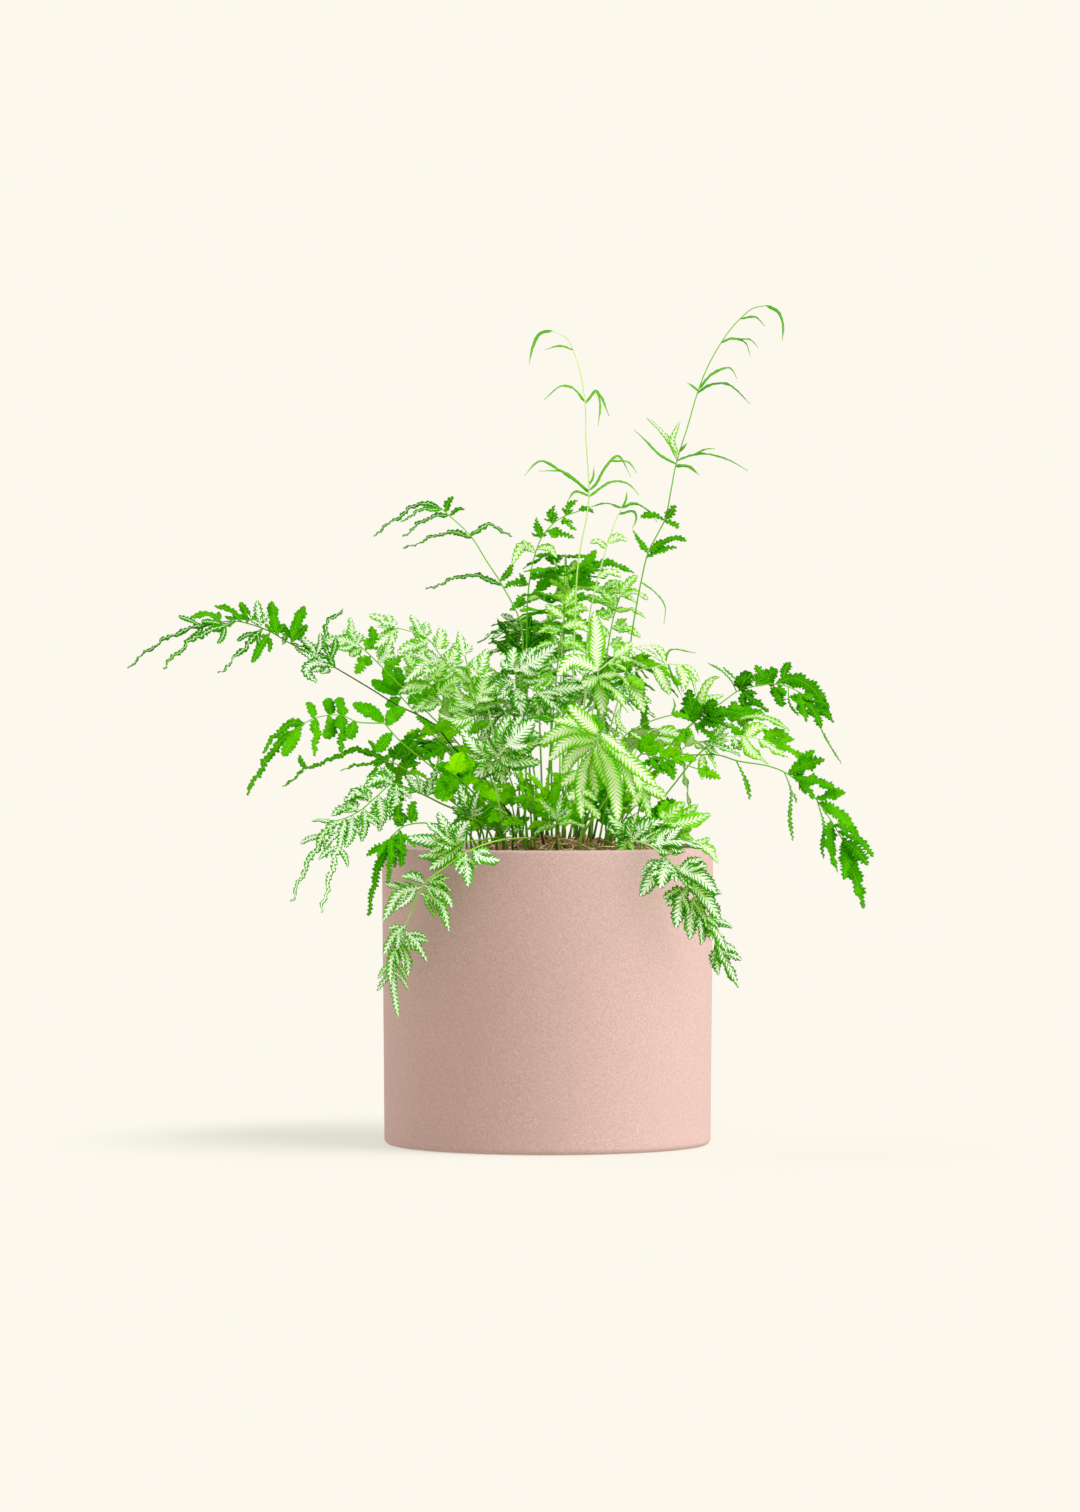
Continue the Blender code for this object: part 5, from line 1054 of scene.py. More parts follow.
def lay_out():
    """Lays the fronds one after another, each moved in depth until it touches nothing."""
    pot = turned(pot_profile(), POT_SIDES)
    soil = turned(soil_profile(), 32)
    crown = crown_solid()
    trees = []

    def add_tree(verts, faces):
        xs = [[v[k] for v in verts] for k in range(3)]
        box = [(min(x), max(x)) for x in xs]
        trees.append((box, BVHTree.FromPolygons([tuple(v) for v in verts], faces)))

    for verts, faces in (pot, soil, crown):
        add_tree(verts, faces)

    def hits(root):
        points, normals, quads, owners, _ = strips(root)
        verts, faces, sources = thick(points, normals, quads, BLADE_THICKNESS + 2 * CLEARANCE, CLEARANCE)
        owner = [owners[k] for k in sources]
        tree = None
        found = set()
        box = [(min(v[k] for v in verts), max(v[k] for v in verts)) for k in range(3)]
        for index, (other, their) in enumerate(trees):
            if any(box[k][0] > other[k][1] or box[k][1] < other[k][0] for k in range(3)):
                continue
            if tree is None:
                tree = BVHTree.FromPolygons([tuple(v) for v in verts], faces)
            for mine, _ in tree.overlap(their):
                found.add(owner[mine])
        return found

    laid = []
    for entry in all_entries():
        best = None
        for shift in SHIFTS:
            found = hits(grow(entry, shift, {}))
            score = (100 if 0 in found else 0) + len(found) + abs(shift) / MM * 0.12
            if best is None or score < best[0]:
                best = (score, shift, found)
            if not found:
                break
        _, shift, found = best
        spread = untangle(grow(entry, shift, {}))
        state, tweak = {}, dict(spread)
        for _ in range(40):
            found = hits(grow(entry, shift, tweak))
            if not found - {0}:
                break
            for seed in found - {0}:
                state[seed] = min(state.get(seed, -1) + 1, len(TWEAKS) - 1)
                more, scale = TWEAKS[state[seed]]
                tweak[seed] = (spread.get(seed, (0.0, 1.0))[0] + more, scale)
        root = grow(entry, shift, tweak)
        points, normals, quads, _, _ = strips(root)
        verts, faces, _ = thick(points, normals, quads, BLADE_THICKNESS)
        add_tree(verts, faces)
        laid.append((entry[0], root, verts, faces, shift, tweak, 0 in found))
    return pot, soil, crown, laid


# ======================================================================================
# Looks
# ======================================================================================
def srgb(r, g, b):
    """A colour given as 0-255 screen values, as the linear values a shader wants."""
    out = []
    for v in (r, g, b):
        v /= 255.0
        out.append(v / 12.92 if v <= 0.04045 else ((v + 0.055) / 1.055) ** 2.4)
    return tuple(out)


class Nodes:
    """Short hand for building a shader graph."""

    def __init__(self, name):
        self.material = bpy.data.materials.new(name)
        self.material.use_nodes = True
        self.tree = self.material.node_tree
        self.shader = self.tree.nodes["Principled BSDF"]

    def link(self, source, target):
        self.tree.links.new(source, target)

    def set(self, **values):
        for key, value in values.items():
            socket = self.shader.inputs[key.replace("_", " ")]
            if isinstance(value, bpy.types.NodeSocket):
                self.link(value, socket)
            elif isinstance(value, (tuple, list)) and len(value) == 3 and len(socket.default_value) == 4:
                socket.default_value = (*value, 1.0)
            else:
                socket.default_value = value

    def feed(self, socket, value):
        if isinstance(value, bpy.types.NodeSocket):
            self.link(value, socket)
        elif isinstance(value, (tuple, list)):
            socket.default_value = tuple(value) + ((1.0,) if len(value) == 3 and len(socket.default_value) == 4 else ())
        else:
            socket.default_value = value

    def math(self, operation, a, b=0.0, c=None):
        node = self.tree.nodes.new("ShaderNodeMath")
        node.operation = operation
        self.feed(node.inputs[0], a)
        self.feed(node.inputs[1], b)
        if c is not None:
            self.feed(node.inputs[2], c)
        return node.outputs[0]

    def add(self, a, b):
        return self.math("ADD", a, b)

    def sub(self, a, b):
        return self.math("SUBTRACT", a, b)

    def mul(self, a, b):
        return self.math("MULTIPLY", a, b)

    def ramp(self, value, low, high, to_low=0.0, to_high=1.0, smooth=True):
        node = self.tree.nodes.new("ShaderNodeMapRange")
        node.interpolation_type = "SMOOTHSTEP" if smooth else "LINEAR"
        self.feed(node.inputs["Value"], value)
        self.feed(node.inputs["From Min"], low)
        self.feed(node.inputs["From Max"], high)
        self.feed(node.inputs["To Min"], to_low)
        self.feed(node.inputs["To Max"], to_high)
        return node.outputs["Result"]

    def mix(self, factor, a, b, blend="MIX"):
        node = self.tree.nodes.new("ShaderNodeMix")
        node.data_type = "RGBA"
        node.blend_type = blend
        self.feed(node.inputs[0], factor)
        self.feed(node.inputs[6], a)
        self.feed(node.inputs[7], b)
        return node.outputs[2]

    def attribute(self, name):
        node = self.tree.nodes.new("ShaderNodeAttribute")
        node.attribute_type = "GEOMETRY"
        node.attribute_name = name
        return node

    def split(self, vector):
        node = self.tree.nodes.new("ShaderNodeSeparateXYZ")
        self.link(vector, node.inputs[0])
        return node.outputs

    def join(self, x, y, z):
        node = self.tree.nodes.new("ShaderNodeCombineXYZ")
        for socket, value in zip(node.inputs, (x, y, z)):
            self.feed(socket, value)
        return node.outputs[0]

    def place(self):
        return self.tree.nodes.new("ShaderNodeTexCoord").outputs["Object"]

    def noise(self, vector, scale, detail=3.0, rough=0.55, out="Fac"):
        node = self.tree.nodes.new("ShaderNodeTexNoise")
        self.link(vector, node.inputs["Vector"])
        node.inputs["Scale"].default_value = scale
        node.inputs["Detail"].default_value = detail
        node.inputs["Roughness"].default_value = rough
        return node.outputs[out]

    def cells(self, vector, scale, feature="F1", out="Distance"):
        node = self.tree.nodes.new("ShaderNodeTexVoronoi")
        node.feature = feature
        self.link(vector, node.inputs["Vector"])
        node.inputs["Scale"].default_value = scale
        return node.outputs[out]

    def bump(self, height, strength, distance, under=None):
        node = self.tree.nodes.new("ShaderNodeBump")
        node.inputs["Strength"].default_value = strength
        node.inputs["Distance"].default_value = distance
        self.link(height, node.inputs["Height"])
        if under is not None:
            self.link(under, node.inputs["Normal"])
        return node.outputs[0]


def leaf_material():
    """One leaf surface for every blade. Its blade attribute gives the distance along the
    blade, across it, and its half width there, in mm; vein counts the side veins, with the
    share of the half width and the lobing; tint gives how dark the green is, how much silver
    and how much lime; lot gives a number for the blade, its underside and its reach."""
    n = Nodes("fern_leaf")
    along, across, half = n.split(n.attribute("blade").outputs["Vector"])
    count, v, rough = n.split(n.attribute("vein").outputs["Vector"])
    tone, silver, lime = n.split(n.attribute("tint").outputs["Vector"])
    lot, under, reach = n.split(n.attribute("lot").outputs["Vector"])
    out = n.math("ABSOLUTE", across)
    flat = n.join(along, across, n.mul(lot, 37.0))
    wander = n.noise(flat, 0.45, 2.0)
    fine = n.noise(flat, 1.9, 3.0)
    broad = n.noise(flat, 0.15, 2.0)

    # side veins, one to each tooth and set in turn on either side of the midrib
    q = n.add(count, n.mul(n.math("GREATER_THAN", across, 0.0), 0.5))
    q = n.add(q, n.mul(n.sub(wander, 0.5), 0.35))
    firm = n.ramp(half, 0.5, 1.3)
    wave = n.mul(n.math("COSINE", n.mul(q, 2 * math.pi)), firm)
    vein = n.math("POWER", n.add(n.mul(wave, 0.5), 0.5), 1.3)
    fork = n.math("COSINE", n.mul(n.add(q, 0.25), 4 * math.pi))

    # greens
    bright = n.mix(n.ramp(tone, 0.0, 0.5, smooth=False), srgb(142, 222, 0), srgb(66, 168, 0))
    green = n.mix(n.ramp(tone, 0.5, 1.0, smooth=False), bright, srgb(6, 96, 2))
    darker = n.mix(0.55, green, srgb(4, 96, 0))
    lighter = n.mix(0.45, green, srgb(142, 226, 4))
    patch = n.add(n.mul(broad, 0.62), n.mul(fine, 0.38))
    patch = n.add(0.48, n.mul(n.sub(patch, 0.48), n.add(0.35, n.mul(firm, 0.65))))
    green = n.mix(n.ramp(patch, 0.50, 0.66), green, darker)
    green = n.mix(n.ramp(patch, 0.46, 0.30), green, lighter)
    green = n.mix(n.mul(n.ramp(wave, 0.45, 1.0), 0.42), green, lighter)
    green = n.mix(n.mul(n.mul(n.ramp(fork, 0.5, 1.0), firm), 0.16), green, srgb(8, 76, 4))

    # lime blades: yellow-green margins, mottled
    limed = n.mix(n.ramp(fine, 0.38, 0.66), srgb(140, 216, 34), srgb(88, 178, 6))
    limed = n.mix(n.mul(n.ramp(wave, 0.1, 1.0), 0.50), limed, srgb(172, 230, 84))
    edge = n.mix(lime, green, limed)
    # striped blades are a cooler green between the veins than at their margin
    inner = n.mul(n.ramp(v, 0.86, 0.60), n.ramp(silver, 0.35, 0.90))
    edge = n.mix(n.mul(inner, 0.58), edge, n.mix(lime, srgb(92, 172, 40), srgb(136, 212, 34)))

    # the pale stripe: solid along the midrib, then feathered out along the side veins
    pale_dull = n.mix(lime, srgb(170, 212, 64), srgb(180, 220, 40))
    pale_bright = n.mix(lime, srgb(239, 238, 236), srgb(241, 240, 216))
    pale = n.mix(n.ramp(n.add(n.mul(wave, 0.28), fine), 0.12, 0.62), pale_dull, pale_bright)
    low = n.sub(n.mul(silver, n.add(0.30, n.mul(lime, 0.16))), 0.12)
    high = n.add(n.mul(silver, 0.62), 0.24)
    limit = n.add(low, n.mul(n.sub(high, low), vein))
    limit = n.add(limit, n.mul(n.mul(n.sub(fine, 0.5), firm), 0.26))
    limit = n.add(limit, n.mul(n.sub(broad, 0.5), 0.34))
    amount = n.ramp(n.sub(limit, v), -0.05, 0.06)
    amount = n.mul(amount, n.ramp(silver, 0.02, 0.12))
    colour = n.mix(n.mul(amount, 0.96), edge, pale)

    # midrib: a thin pale line, with painted shade in the groove beside it
    line = n.ramp(out, 0.26, 0.10)
    rib = n.mix(n.math("MAXIMUM", lime, silver), srgb(150, 210, 24), srgb(238, 244, 214))
    colour = n.mix(n.mul(line, n.add(0.45, n.mul(silver, 0.5))), colour, rib)
    groove_shade = n.mul(n.ramp(out, 0.60, 0.32), n.ramp(out, 0.12, 0.32))
    colour = n.mix(n.mul(groove_shade, n.sub(0.30, n.mul(silver, 0.22))), colour, srgb(20, 96, 6))
    # a darker edge under the teeth, and some drying at the very tip
    rim = n.ramp(v, 0.76, 0.98)
    edging = n.mix(tone, srgb(74, 172, 4), srgb(16, 112, 4))
    colour = n.mix(n.mul(rim, n.add(0.12, n.mul(silver, 0.56))), colour, n.mix(lime, edging, srgb(104, 188, 8)))
    dry = n.mul(n.ramp(reach, 0.95, 1.0), n.ramp(n.noise(flat, 0.09, 0.0), 0.52, 0.62))
    colour = n.mix(n.mul(dry, 0.5), colour, srgb(140, 120, 50))
    # undersides are paler and duller
    colour = n.mix(n.mul(under, 0.18), colour, srgb(118, 204, 30))

    # painted shade: among other leaves, where the light is filtered, the colour is made darker and greener
    near = n.tree.nodes.new("ShaderNodeAmbientOcclusion")
    near.samples = 6
    near.inputs["Distance"].default_value = 0.030
    painted_shade = n.ramp(near.outputs["AO"], 0.95, 0.22)
    colour = n.mix(painted_shade, colour, (0.64, 1.05, 0.06), "MULTIPLY")

    relief = n.add(n.mul(n.math("POWER", n.add(n.mul(wave, -0.5), 0.5), 0.8), 0.60), n.mul(fine, 0.30))
    relief = n.sub(relief, n.mul(n.ramp(out, 0.42, 0.12), 0.65))
    relief = n.add(relief, n.mul(n.noise(flat, 9.0, 2.0), 0.10))
    n.set(Base_Color=colour, Roughness=n.ramp(fine, 0.2, 0.8, 0.50, 0.66, smooth=False),
          Normal=n.bump(relief, 0.7, 0.00025))
    n.shader.inputs["Specular IOR Level"].default_value = LEAF_GLOSS
    return n.material


def stalk_material():
    """Stalks carry their own colour along their length, with streaks and dots over it."""
    n = Nodes("fern_stalk")
    colour = n.attribute("stalk_colour").outputs["Color"]
    along, around, radius = n.split(n.attribute("blade").outputs["Vector"])
    flat = n.join(n.mul(along, 0.14), n.mul(around, 1.6), radius)
    streak = n.noise(flat, 1.3, 3.0)
    dots = n.noise(n.join(n.mul(along, 1.2), n.mul(around, 2.4), radius), 2.0, 2.0)
    shade = n.mix(n.mul(n.ramp(streak, 0.35, 0.75), 0.16), colour, srgb(70, 110, 26), "MULTIPLY")
    shade = n.mix(n.mul(n.ramp(dots, 0.62, 0.78), 0.14), shade, srgb(196, 214, 120))
    n.set(Base_Color=shade, Roughness=n.ramp(streak, 0.2, 0.8, 0.34, 0.52, smooth=False),
          Normal=n.bump(n.add(streak, n.mul(dots, 0.4)), 0.35, 0.00015))
    n.shader.inputs["Specular IOR Level"].default_value = 0.08
    return n.material


def pot_material():
    """Matte bisque with a fine two-tone grain and a soft, dry surface."""
    n = Nodes("pot_ceramic")
    p = n.place()
    grain = n.noise(p, 1500.0, 2.0, 0.7)
    speck = n.noise(p, 620.0, 3.0, 0.75)
    cloud = n.noise(p, 22.0, 3.0)
    body = n.mix(n.ramp(grain, 0.36, 0.66), srgb(188, 155, 147), srgb(206, 173, 165))
    body = n.mix(n.mul(n.ramp(speck, 0.60, 0.74), 0.35), body, srgb(178, 140, 128))
    body = n.mix(n.mul(n.ramp(speck, 0.40, 0.28), 0.28), body, srgb(228, 198, 189))
    body = n.mix(n.mul(n.ramp(cloud, 0.42, 0.66), 0.16), body, srgb(190, 154, 146))
    pits = n.ramp(n.cells(p, 900.0), 0.05, 0.32)
    relief = n.add(n.mul(grain, 0.6), n.mul(pits, 0.4))
    n.set(Base_Color=body, Roughness=n.ramp(grain, 0.2, 0.8, 0.74, 0.9, smooth=False),
          Normal=n.bump(relief, 0.35, 0.00012))
    n.shader.inputs["Specular IOR Level"].default_value = 0.25
    return n.material


def mix_material():
    """Damp peat, crumbs and fibres, with pale grit."""
    n = Nodes("potting_mix")
    p = n.place()
    crumbs = n.cells(p, 420.0)
    big = n.noise(p, 160.0, 4.0, 0.65)
    fibre = n.noise(p, 900.0, 3.0, 0.7)
    colour = n.mix(n.ramp(big, 0.35, 0.7), srgb(46, 28, 16), srgb(92, 62, 36))
    colour = n.mix(n.mul(n.ramp(fibre, 0.55, 0.75), 0.6), colour, srgb(132, 98, 60))
    colour = n.mix(n.ramp(n.noise(p, 300.0, 1.0), 0.70, 0.76), colour, srgb(206, 196, 176))
    relief = n.add(crumbs, n.mul(fibre, 0.5))
    n.set(Base_Color=colour, Roughness=n.ramp(big, 0.2, 0.8, 0.8, 0.97, smooth=False),
          Normal=n.bump(relief, 0.9, 0.0008))
    return n.material


def crown_material():
    """Brown scales of the rhizomes, mossy in places."""
    n = Nodes("rhizome_scales")
    p = n.place()
    scale = n.cells(p, 520.0)
    patch = n.noise(p, 70.0, 3.0)
    fibre = n.noise(p, 1100.0, 3.0, 0.7)
    colour = n.mix(n.ramp(scale, 0.1, 0.6), srgb(70, 44, 20), srgb(142, 100, 48))
    colour = n.mix(n.mul(n.ramp(patch, 0.48, 0.60), 0.75), colour, srgb(96, 118, 30))
    colour = n.mix(n.mul(n.ramp(fibre, 0.60, 0.76), 0.6), colour, srgb(204, 176, 104))
    n.set(Base_Color=colour, Roughness=n.ramp(fibre, 0.2, 0.8, 0.7, 0.95, smooth=False),
          Normal=n.bump(n.add(scale, n.mul(fibre, 0.6)), 0.9, 0.0007))
    return n.material


def root_material():
    """Dry straw-coloured roots and old stalk bases."""
    n = Nodes("straw_roots")
    colour = n.attribute("stalk_colour").outputs["Color"]
    p = n.place()
    streak = n.noise(p, 800.0, 3.0)
    colour = n.mix(n.mul(n.ramp(streak, 0.45, 0.75), 0.55), colour, srgb(110, 78, 36))
    n.set(Base_Color=colour, Roughness=n.ramp(streak, 0.2, 0.8, 0.6, 0.85, smooth=False),
          Normal=n.bump(streak, 0.6, 0.0003))
    return n.material


# ---- skins: meshes with the attributes that the materials read ------------------------
class Skin:
    def __init__(self):
        self.verts, self.faces, self.slots = [], [], []
        self.blade, self.tint, self.lot, self.colour, self.vein = [], [], [], [], []
        self.count = 0

    def put(self, verts, faces, slot, blade, tint=None, lot=None, colour=None, vein=None):
        k = len(verts)
        self.verts.append(np.asarray(verts, float))
        self.faces += [tuple(i + self.count for i in f) for f in faces]
        self.slots += [slot] * len(faces)
        self.blade.append(np.asarray(blade, float))
        self.tint.append(np.zeros((k, 3)) if tint is None else np.asarray(tint, float))
        self.lot.append(np.zeros((k, 3)) if lot is None else np.asarray(lot, float))
        self.vein.append(np.zeros((k, 3)) if vein is None else np.asarray(vein, float))
        self.colour.append(np.ones((k, 4)) if colour is None else np.asarray(colour, float))
        self.count += k

    def join(self, other):
        for rows in zip(other.verts, other.blade, other.tint, other.lot, other.vein, other.colour):
            for mine, row in zip((self.verts, self.blade, self.tint, self.lot, self.vein, self.colour), rows):
                mine.append(row)
        self.faces += [tuple(i + self.count for i in f) for f in other.faces]
        self.slots += other.slots
        self.count += other.count

    def build(self, name, materials):
        mesh = bpy.data.meshes.new(name)
        mesh.from_pydata(np.concatenate(self.verts).tolist(), [], self.faces)
        for material in materials:
            mesh.materials.append(material)
        mesh.polygons.foreach_set("material_index", self.slots)
        mesh.polygons.foreach_set("use_smooth", [True] * len(self.faces))
        for key, rows in (("blade", self.blade), ("tint", self.tint), ("lot", self.lot), ("vein", self.vein)):
            mesh.attributes.new(key, "FLOAT_VECTOR", "POINT").data.foreach_set(
                "vector", np.concatenate(rows).astype(np.float32).ravel())
        mesh.attributes.new("stalk_colour", "FLOAT_COLOR", "POINT").data.foreach_set(
            "color", np.concatenate(self.colour).astype(np.float32).ravel())
        mesh.update()
        obj = bpy.data.objects.new(name, mesh)
        bpy.context.scene.collection.objects.link(obj)
        return obj


def frames(branch, stations):
    rows = [branch.frame(s) for s in stations]
    return [np.array([r[k][:] for r in rows]) for k in range(4)]


def tube(skin, points, sides_dir, normals, radii, slot, along, colours, sides=7):
    """A round stalk with closed ends."""
    n = len(points)
    a = np.arange(sides) * 2 * np.pi / sides
    ring = np.cos(a)[None, :, None] * sides_dir[:, None] + np.sin(a)[None, :, None] * normals[:, None]
    verts = points[:, None] + ring * np.asarray(radii)[:, None, None]
    verts = np.concatenate([verts.reshape(-1, 3), points[:1], points[-1:]])
    faces = []
    for i in range(n - 1):
        for j in range(sides):
            k = (j + 1) % sides
            faces.append((i * sides + j, i * sides + k, (i + 1) * sides + k, (i + 1) * sides + j))
    first, last = n * sides, n * sides + 1
    for j in range(sides):
        k = (j + 1) % sides
        faces.append((first, k, j))
        faces.append((last, (n - 1) * sides + j, (n - 1) * sides + k))
    blade = np.zeros((len(verts), 3))
    blade[: n * sides, 0] = np.repeat(np.asarray(along) / MM, sides)
    blade[: n * sides, 1] = np.tile(np.abs(np.sin(a / 2)) * 3.0, n)
    blade[: n * sides, 2] = np.repeat(np.asarray(radii) / MM, sides)
    colour = np.ones((len(verts), 4))
    colour[: n * sides, :3] = np.repeat(np.asarray(colours), sides, axis=0)
    colour[first, :3], colour[last, :3] = colours[0], colours[-1]
    skin.put(verts, faces, slot, blade, colour=colour)


LEAF_GLOSS = 0.008
TO_LIGHT = np.array([0.52, -0.56, 0.64])
STALKS = {
    "pale": (srgb(140, 200, 60), srgb(212, 236, 158)),
    "lime": (srgb(130, 196, 36), srgb(160, 218, 70)),
    "green": (srgb(78, 150, 14), srgb(120, 192, 32)),
    "dark": (srgb(10, 26, 2), srgb(74, 128, 18)),
}
STALK_BASE = srgb(70, 52, 22)

# how each kind of blade looks. tone: 0 yellow-green to 1 dark; silver and lime: share of
# each; wide: width against the solid's; tooth and pitch: the teeth, mm; blunt: 0 pointed to
# 1 round; lobe: depth of the large lobes; fold: crease along the midrib; twins: pairs of
# side lobes near the foot and how long they are; strip: how ragged the long blades are;
# tail: widest near the tip; turn: how far a blade rolls to the light
LOOKS = {
    "V": dict(tone=0.66, silver=0.95, lime=0.08, wide=1.20, tooth=0.55, pitch=1.80, blunt=0.46, lobe=0.12,
              fold=0.22, twins=2, twin=0.50),
    "P": dict(tone=0.20, silver=0.84, lime=0.85, wide=1.22, tooth=0.34, pitch=1.9, blunt=0.36, lobe=0.06,
              fold=0.10, twins=0, twin=0.40, crenate=1),
    "G": dict(tone=0.46, silver=0.0, lime=0.0, wide=1.06, tooth=0.78, pitch=1.95, blunt=0.58, lobe=0.18,
              fold=0.16, twins=1, twin=0.42),
    "D": dict(tone=0.86, silver=0.0, lime=0.0, wide=1.06, tooth=0.80, pitch=1.95, blunt=0.60, lobe=0.20,
              fold=0.16, twins=2, twin=0.42),
    "F": dict(tone=0.58, silver=0.0, lime=0.12, wide=0.52, tooth=0.05, pitch=3.0, blunt=0.0, lobe=0.05,
              fold=0.30, twins=0, twin=0.0),
}
# what is particular to a frond: its stalk, and changes to the looks of its blades
OWN = {
    "tall_frond_left": {"F": dict(tone=0.42, lime=0.12)},
    "tall_frond_right": {"P": dict(silver=1.0, lime=0.5, wide=0.85, tooth=0.05), "G": dict(tone=0.55, twins=0)},
    "slender_fertile_frond": {"P": dict(silver=0.95, lime=0.7)},
    "upper_left_arching_frond": {"G": dict(tone=0.74, tooth=0.5, twins=0, wide=0.95, long=dict(silver=0.16, strip=0.9, tooth=0.3))},
    "upper_dark_frond": {"stalk": "green", "D": dict(tone=0.66, blunt=0.25, tooth=0.7, pitch=1.7, lobe=0.42, wide=0.84),
                         "G": dict(tone=0.46, blunt=0.25, tooth=0.7, pitch=1.7, lobe=0.42, twins=2, wide=0.84)},
    "pale_upper_frond": {"P": dict(silver=0.95, lime=0.70, wide=1.20)},
    "curled_dark_frond": {"stalk": "green", "D": dict(tone=0.92, twins=0, wide=0.80, lobe=0.34)},
    "far_left_frond": {"stalk": "dark", "V": dict(tone=0.86, silver=0.85),
                       "G": dict(tone=0.66, blunt=0.85, tooth=0.45, wide=1.1, long=dict(tone=0.80, silver=0.24, strip=1.0, tooth=0.3, wide=1.2))},
    "left_rear_frond": {"V": dict(tone=0.34, silver=0.94, lime=0.25, wide=1.3)},
    "silver_upper_left_frond": {"V": dict(tone=0.26, silver=1.06, lime=0.30, wide=1.42)},
    "silver_inner_left_frond": {"V": dict(tone=0.28, silver=1.02, lime=0.25, wide=1.4), "G": dict(tone=0.3)},
    "left_green_frond": {"G": dict(tone=0.56, twins=0, blunt=0.85, tooth=0.5, wide=1.42, lobe=0.08,
                                  long=dict(strip=0.75, wide=1.25))},
    "left_slim_frond": {"stalk": "green", "G": dict(tone=0.62, long=dict(strip=0.9, tooth=0.3, wide=1.1))},
    "left_cluster_frond": {"G": dict(tone=0.46, twins=0, lobe=0.06, blunt=0.85, tooth=0.30), "V": dict(tone=0.34, wide=1.3)},
    "left_low_silver_frond": {"V": dict(tone=0.62, silver=0.80, wide=1.25, long=dict(strip=0.9, tooth=0.3, wide=1.15))},
    "pot_edge_green_frond": {"G": dict(tone=0.58, long=dict(strip=0.5, wide=1.1))},
    "front_left_trailing_frond": {"V": dict(tone=0.56, silver=0.92, blunt=0.62, wide=1.05, tooth=0.5, lobe=0.14)},
    "front_left_rim_frond": {"V": dict(tone=0.74, silver=0.94, blunt=0.62, wide=1.34, tooth=0.5, lobe=0.14)},
    "small_silver_frond": {"V": dict(tone=0.90, silver=0.80, wide=1.35)},
    "left_broad_green_frond": {"G": dict(tone=0.08, twins=2, twin=0.6, wide=1.35, tooth=0.9, blunt=0.5, lobe=0.22), "D": dict(tone=0.50, wide=1.2)},
    "centre_silver_frond": {"V": dict(tone=0.74, silver=0.98, twin=0.42, wide=1.55, blunt=0.6)},
    "centre_frond": {"V": dict(tone=0.66, silver=0.98, wide=1.45, blunt=0.55)},
    "centre_right_pale_frond": {"P": dict(silver=1.0, lime=0.66, wide=1.3, blunt=0.5)},
    "pale_palmate_frond": {"P": dict(turn=0.15, silver=0.98, lime=0.74, wide=1.24, tooth=0.28, blunt=0.66)},
    "right_hanging_pale_frond": {"P": dict(silver=0.95, lime=0.80), "G": dict(tone=0.1, lime=0.5)},
    "right_upper_green_frond": {"G": dict(tone=0.72, tooth=0.8, pitch=1.9, bite=0.30, lobe=0.20, wide=1.2),
                                "F": dict(tone=0.62, wide=0.7, tooth=0.7, pitch=2.0, bite=0.6, tail=1.0)},
    "right_dark_frond": {"stalk": "green", "D": dict(tone=0.74)},
    "right_mid_pale_frond": {"P": dict(silver=0.45, tone=0.36, lime=0.6, wide=0.86, tooth=0.5, lobe=0.16, crenate=0)},
    "right_pale_frond": {"V": dict(tone=0.4, silver=0.85), "P": dict(silver=0.75)},
    "long_right_frond": {"G": dict(tone=0.58, twins=0, wide=1.30, blunt=0.45, tooth=0.85, pitch=2.0, lobe=0.16, bite=0.28),
                         "F": dict(tone=0.62, wide=0.8, tooth=0.8, pitch=2.2, bite=0.6, tail=1.0)},
    "right_low_green_frond": {"G": dict(tone=0.36), "D": dict(tone=0.62)},
    "right_rim_pale_frond": {"P": dict(silver=0.52, lime=0.9, tone=0.3, wide=1.3, twins=1), "G": dict(tone=0.3)},
    "front_right_trailing_frond": {"V": dict(tone=0.80, silver=0.94, wide=1.42, twin=0.62, tooth=0.55, lobe=0.16, blunt=0.5)},
    "column_right_frond": {"G": dict(tone=0.12, silver=0.58, lime=0.7, blunt=0.35, lobe=0.28, twins=2), "P": dict(silver=0.8)},
    "column_left_frond": {"G": dict(tone=0.18, silver=0.42, lime=0.6, blunt=0.35, lobe=0.28, twins=2), "P": dict(silver=0.75)},
    "inner_green_frond": {"G": dict(tone=0.36, silver=0.20, twins=2)},
    "left_inner_green_frond": {"G": dict(tone=0.18, wide=0.9), "D": dict(tone=0.44, wide=0.9)},
    "low_centre_green_frond": {"D": dict(tone=0.58, twins=1, twin=0.6, wide=0.86), "G": dict(tone=0.22, twins=1, twin=0.6, wide=0.86)},
    "low_star_frond": {"P": dict(silver=0.6, lime=0.6), "V": dict(tone=0.5, silver=0.8)},
    "low_slim_frond": {"G": dict(tone=0.14, twins=1, twin=0.5, wide=0.84), "D": dict(tone=0.40, twins=1, wide=0.84)},
    "low_left_green_frond": {"stalk": "green", "G": dict(tone=0.06, wide=1.1, twins=1, twin=0.55)},
    "low_mid_green_frond": {"G": dict(tone=0.16, twins=1, twin=0.5, wide=0.84), "D": dict(tone=0.52, twins=1, wide=0.84)},
    "low_right_green_frond": {"G": dict(tone=0.20, twins=1, twin=0.5, wide=0.84), "D": dict(tone=0.56, twins=1, wide=0.84)},
    "rear_frond_1": {"G": dict(tone=0.38)},
    "rear_frond_3": {"G": dict(tone=0.38)},
    "rear_frond_6": {"stalk": "green", "D": dict(tone=0.48)},
    "rear_frond_9": {"stalk": "green", "D": dict(tone=0.55)},
}
# where a tooth is sampled: at its notch and its point, on either side of the blade
BEATS = (0.0, 0.21, 0.5, 0.71)
FEW_BEATS = (0.0, 0.5, 0.71)


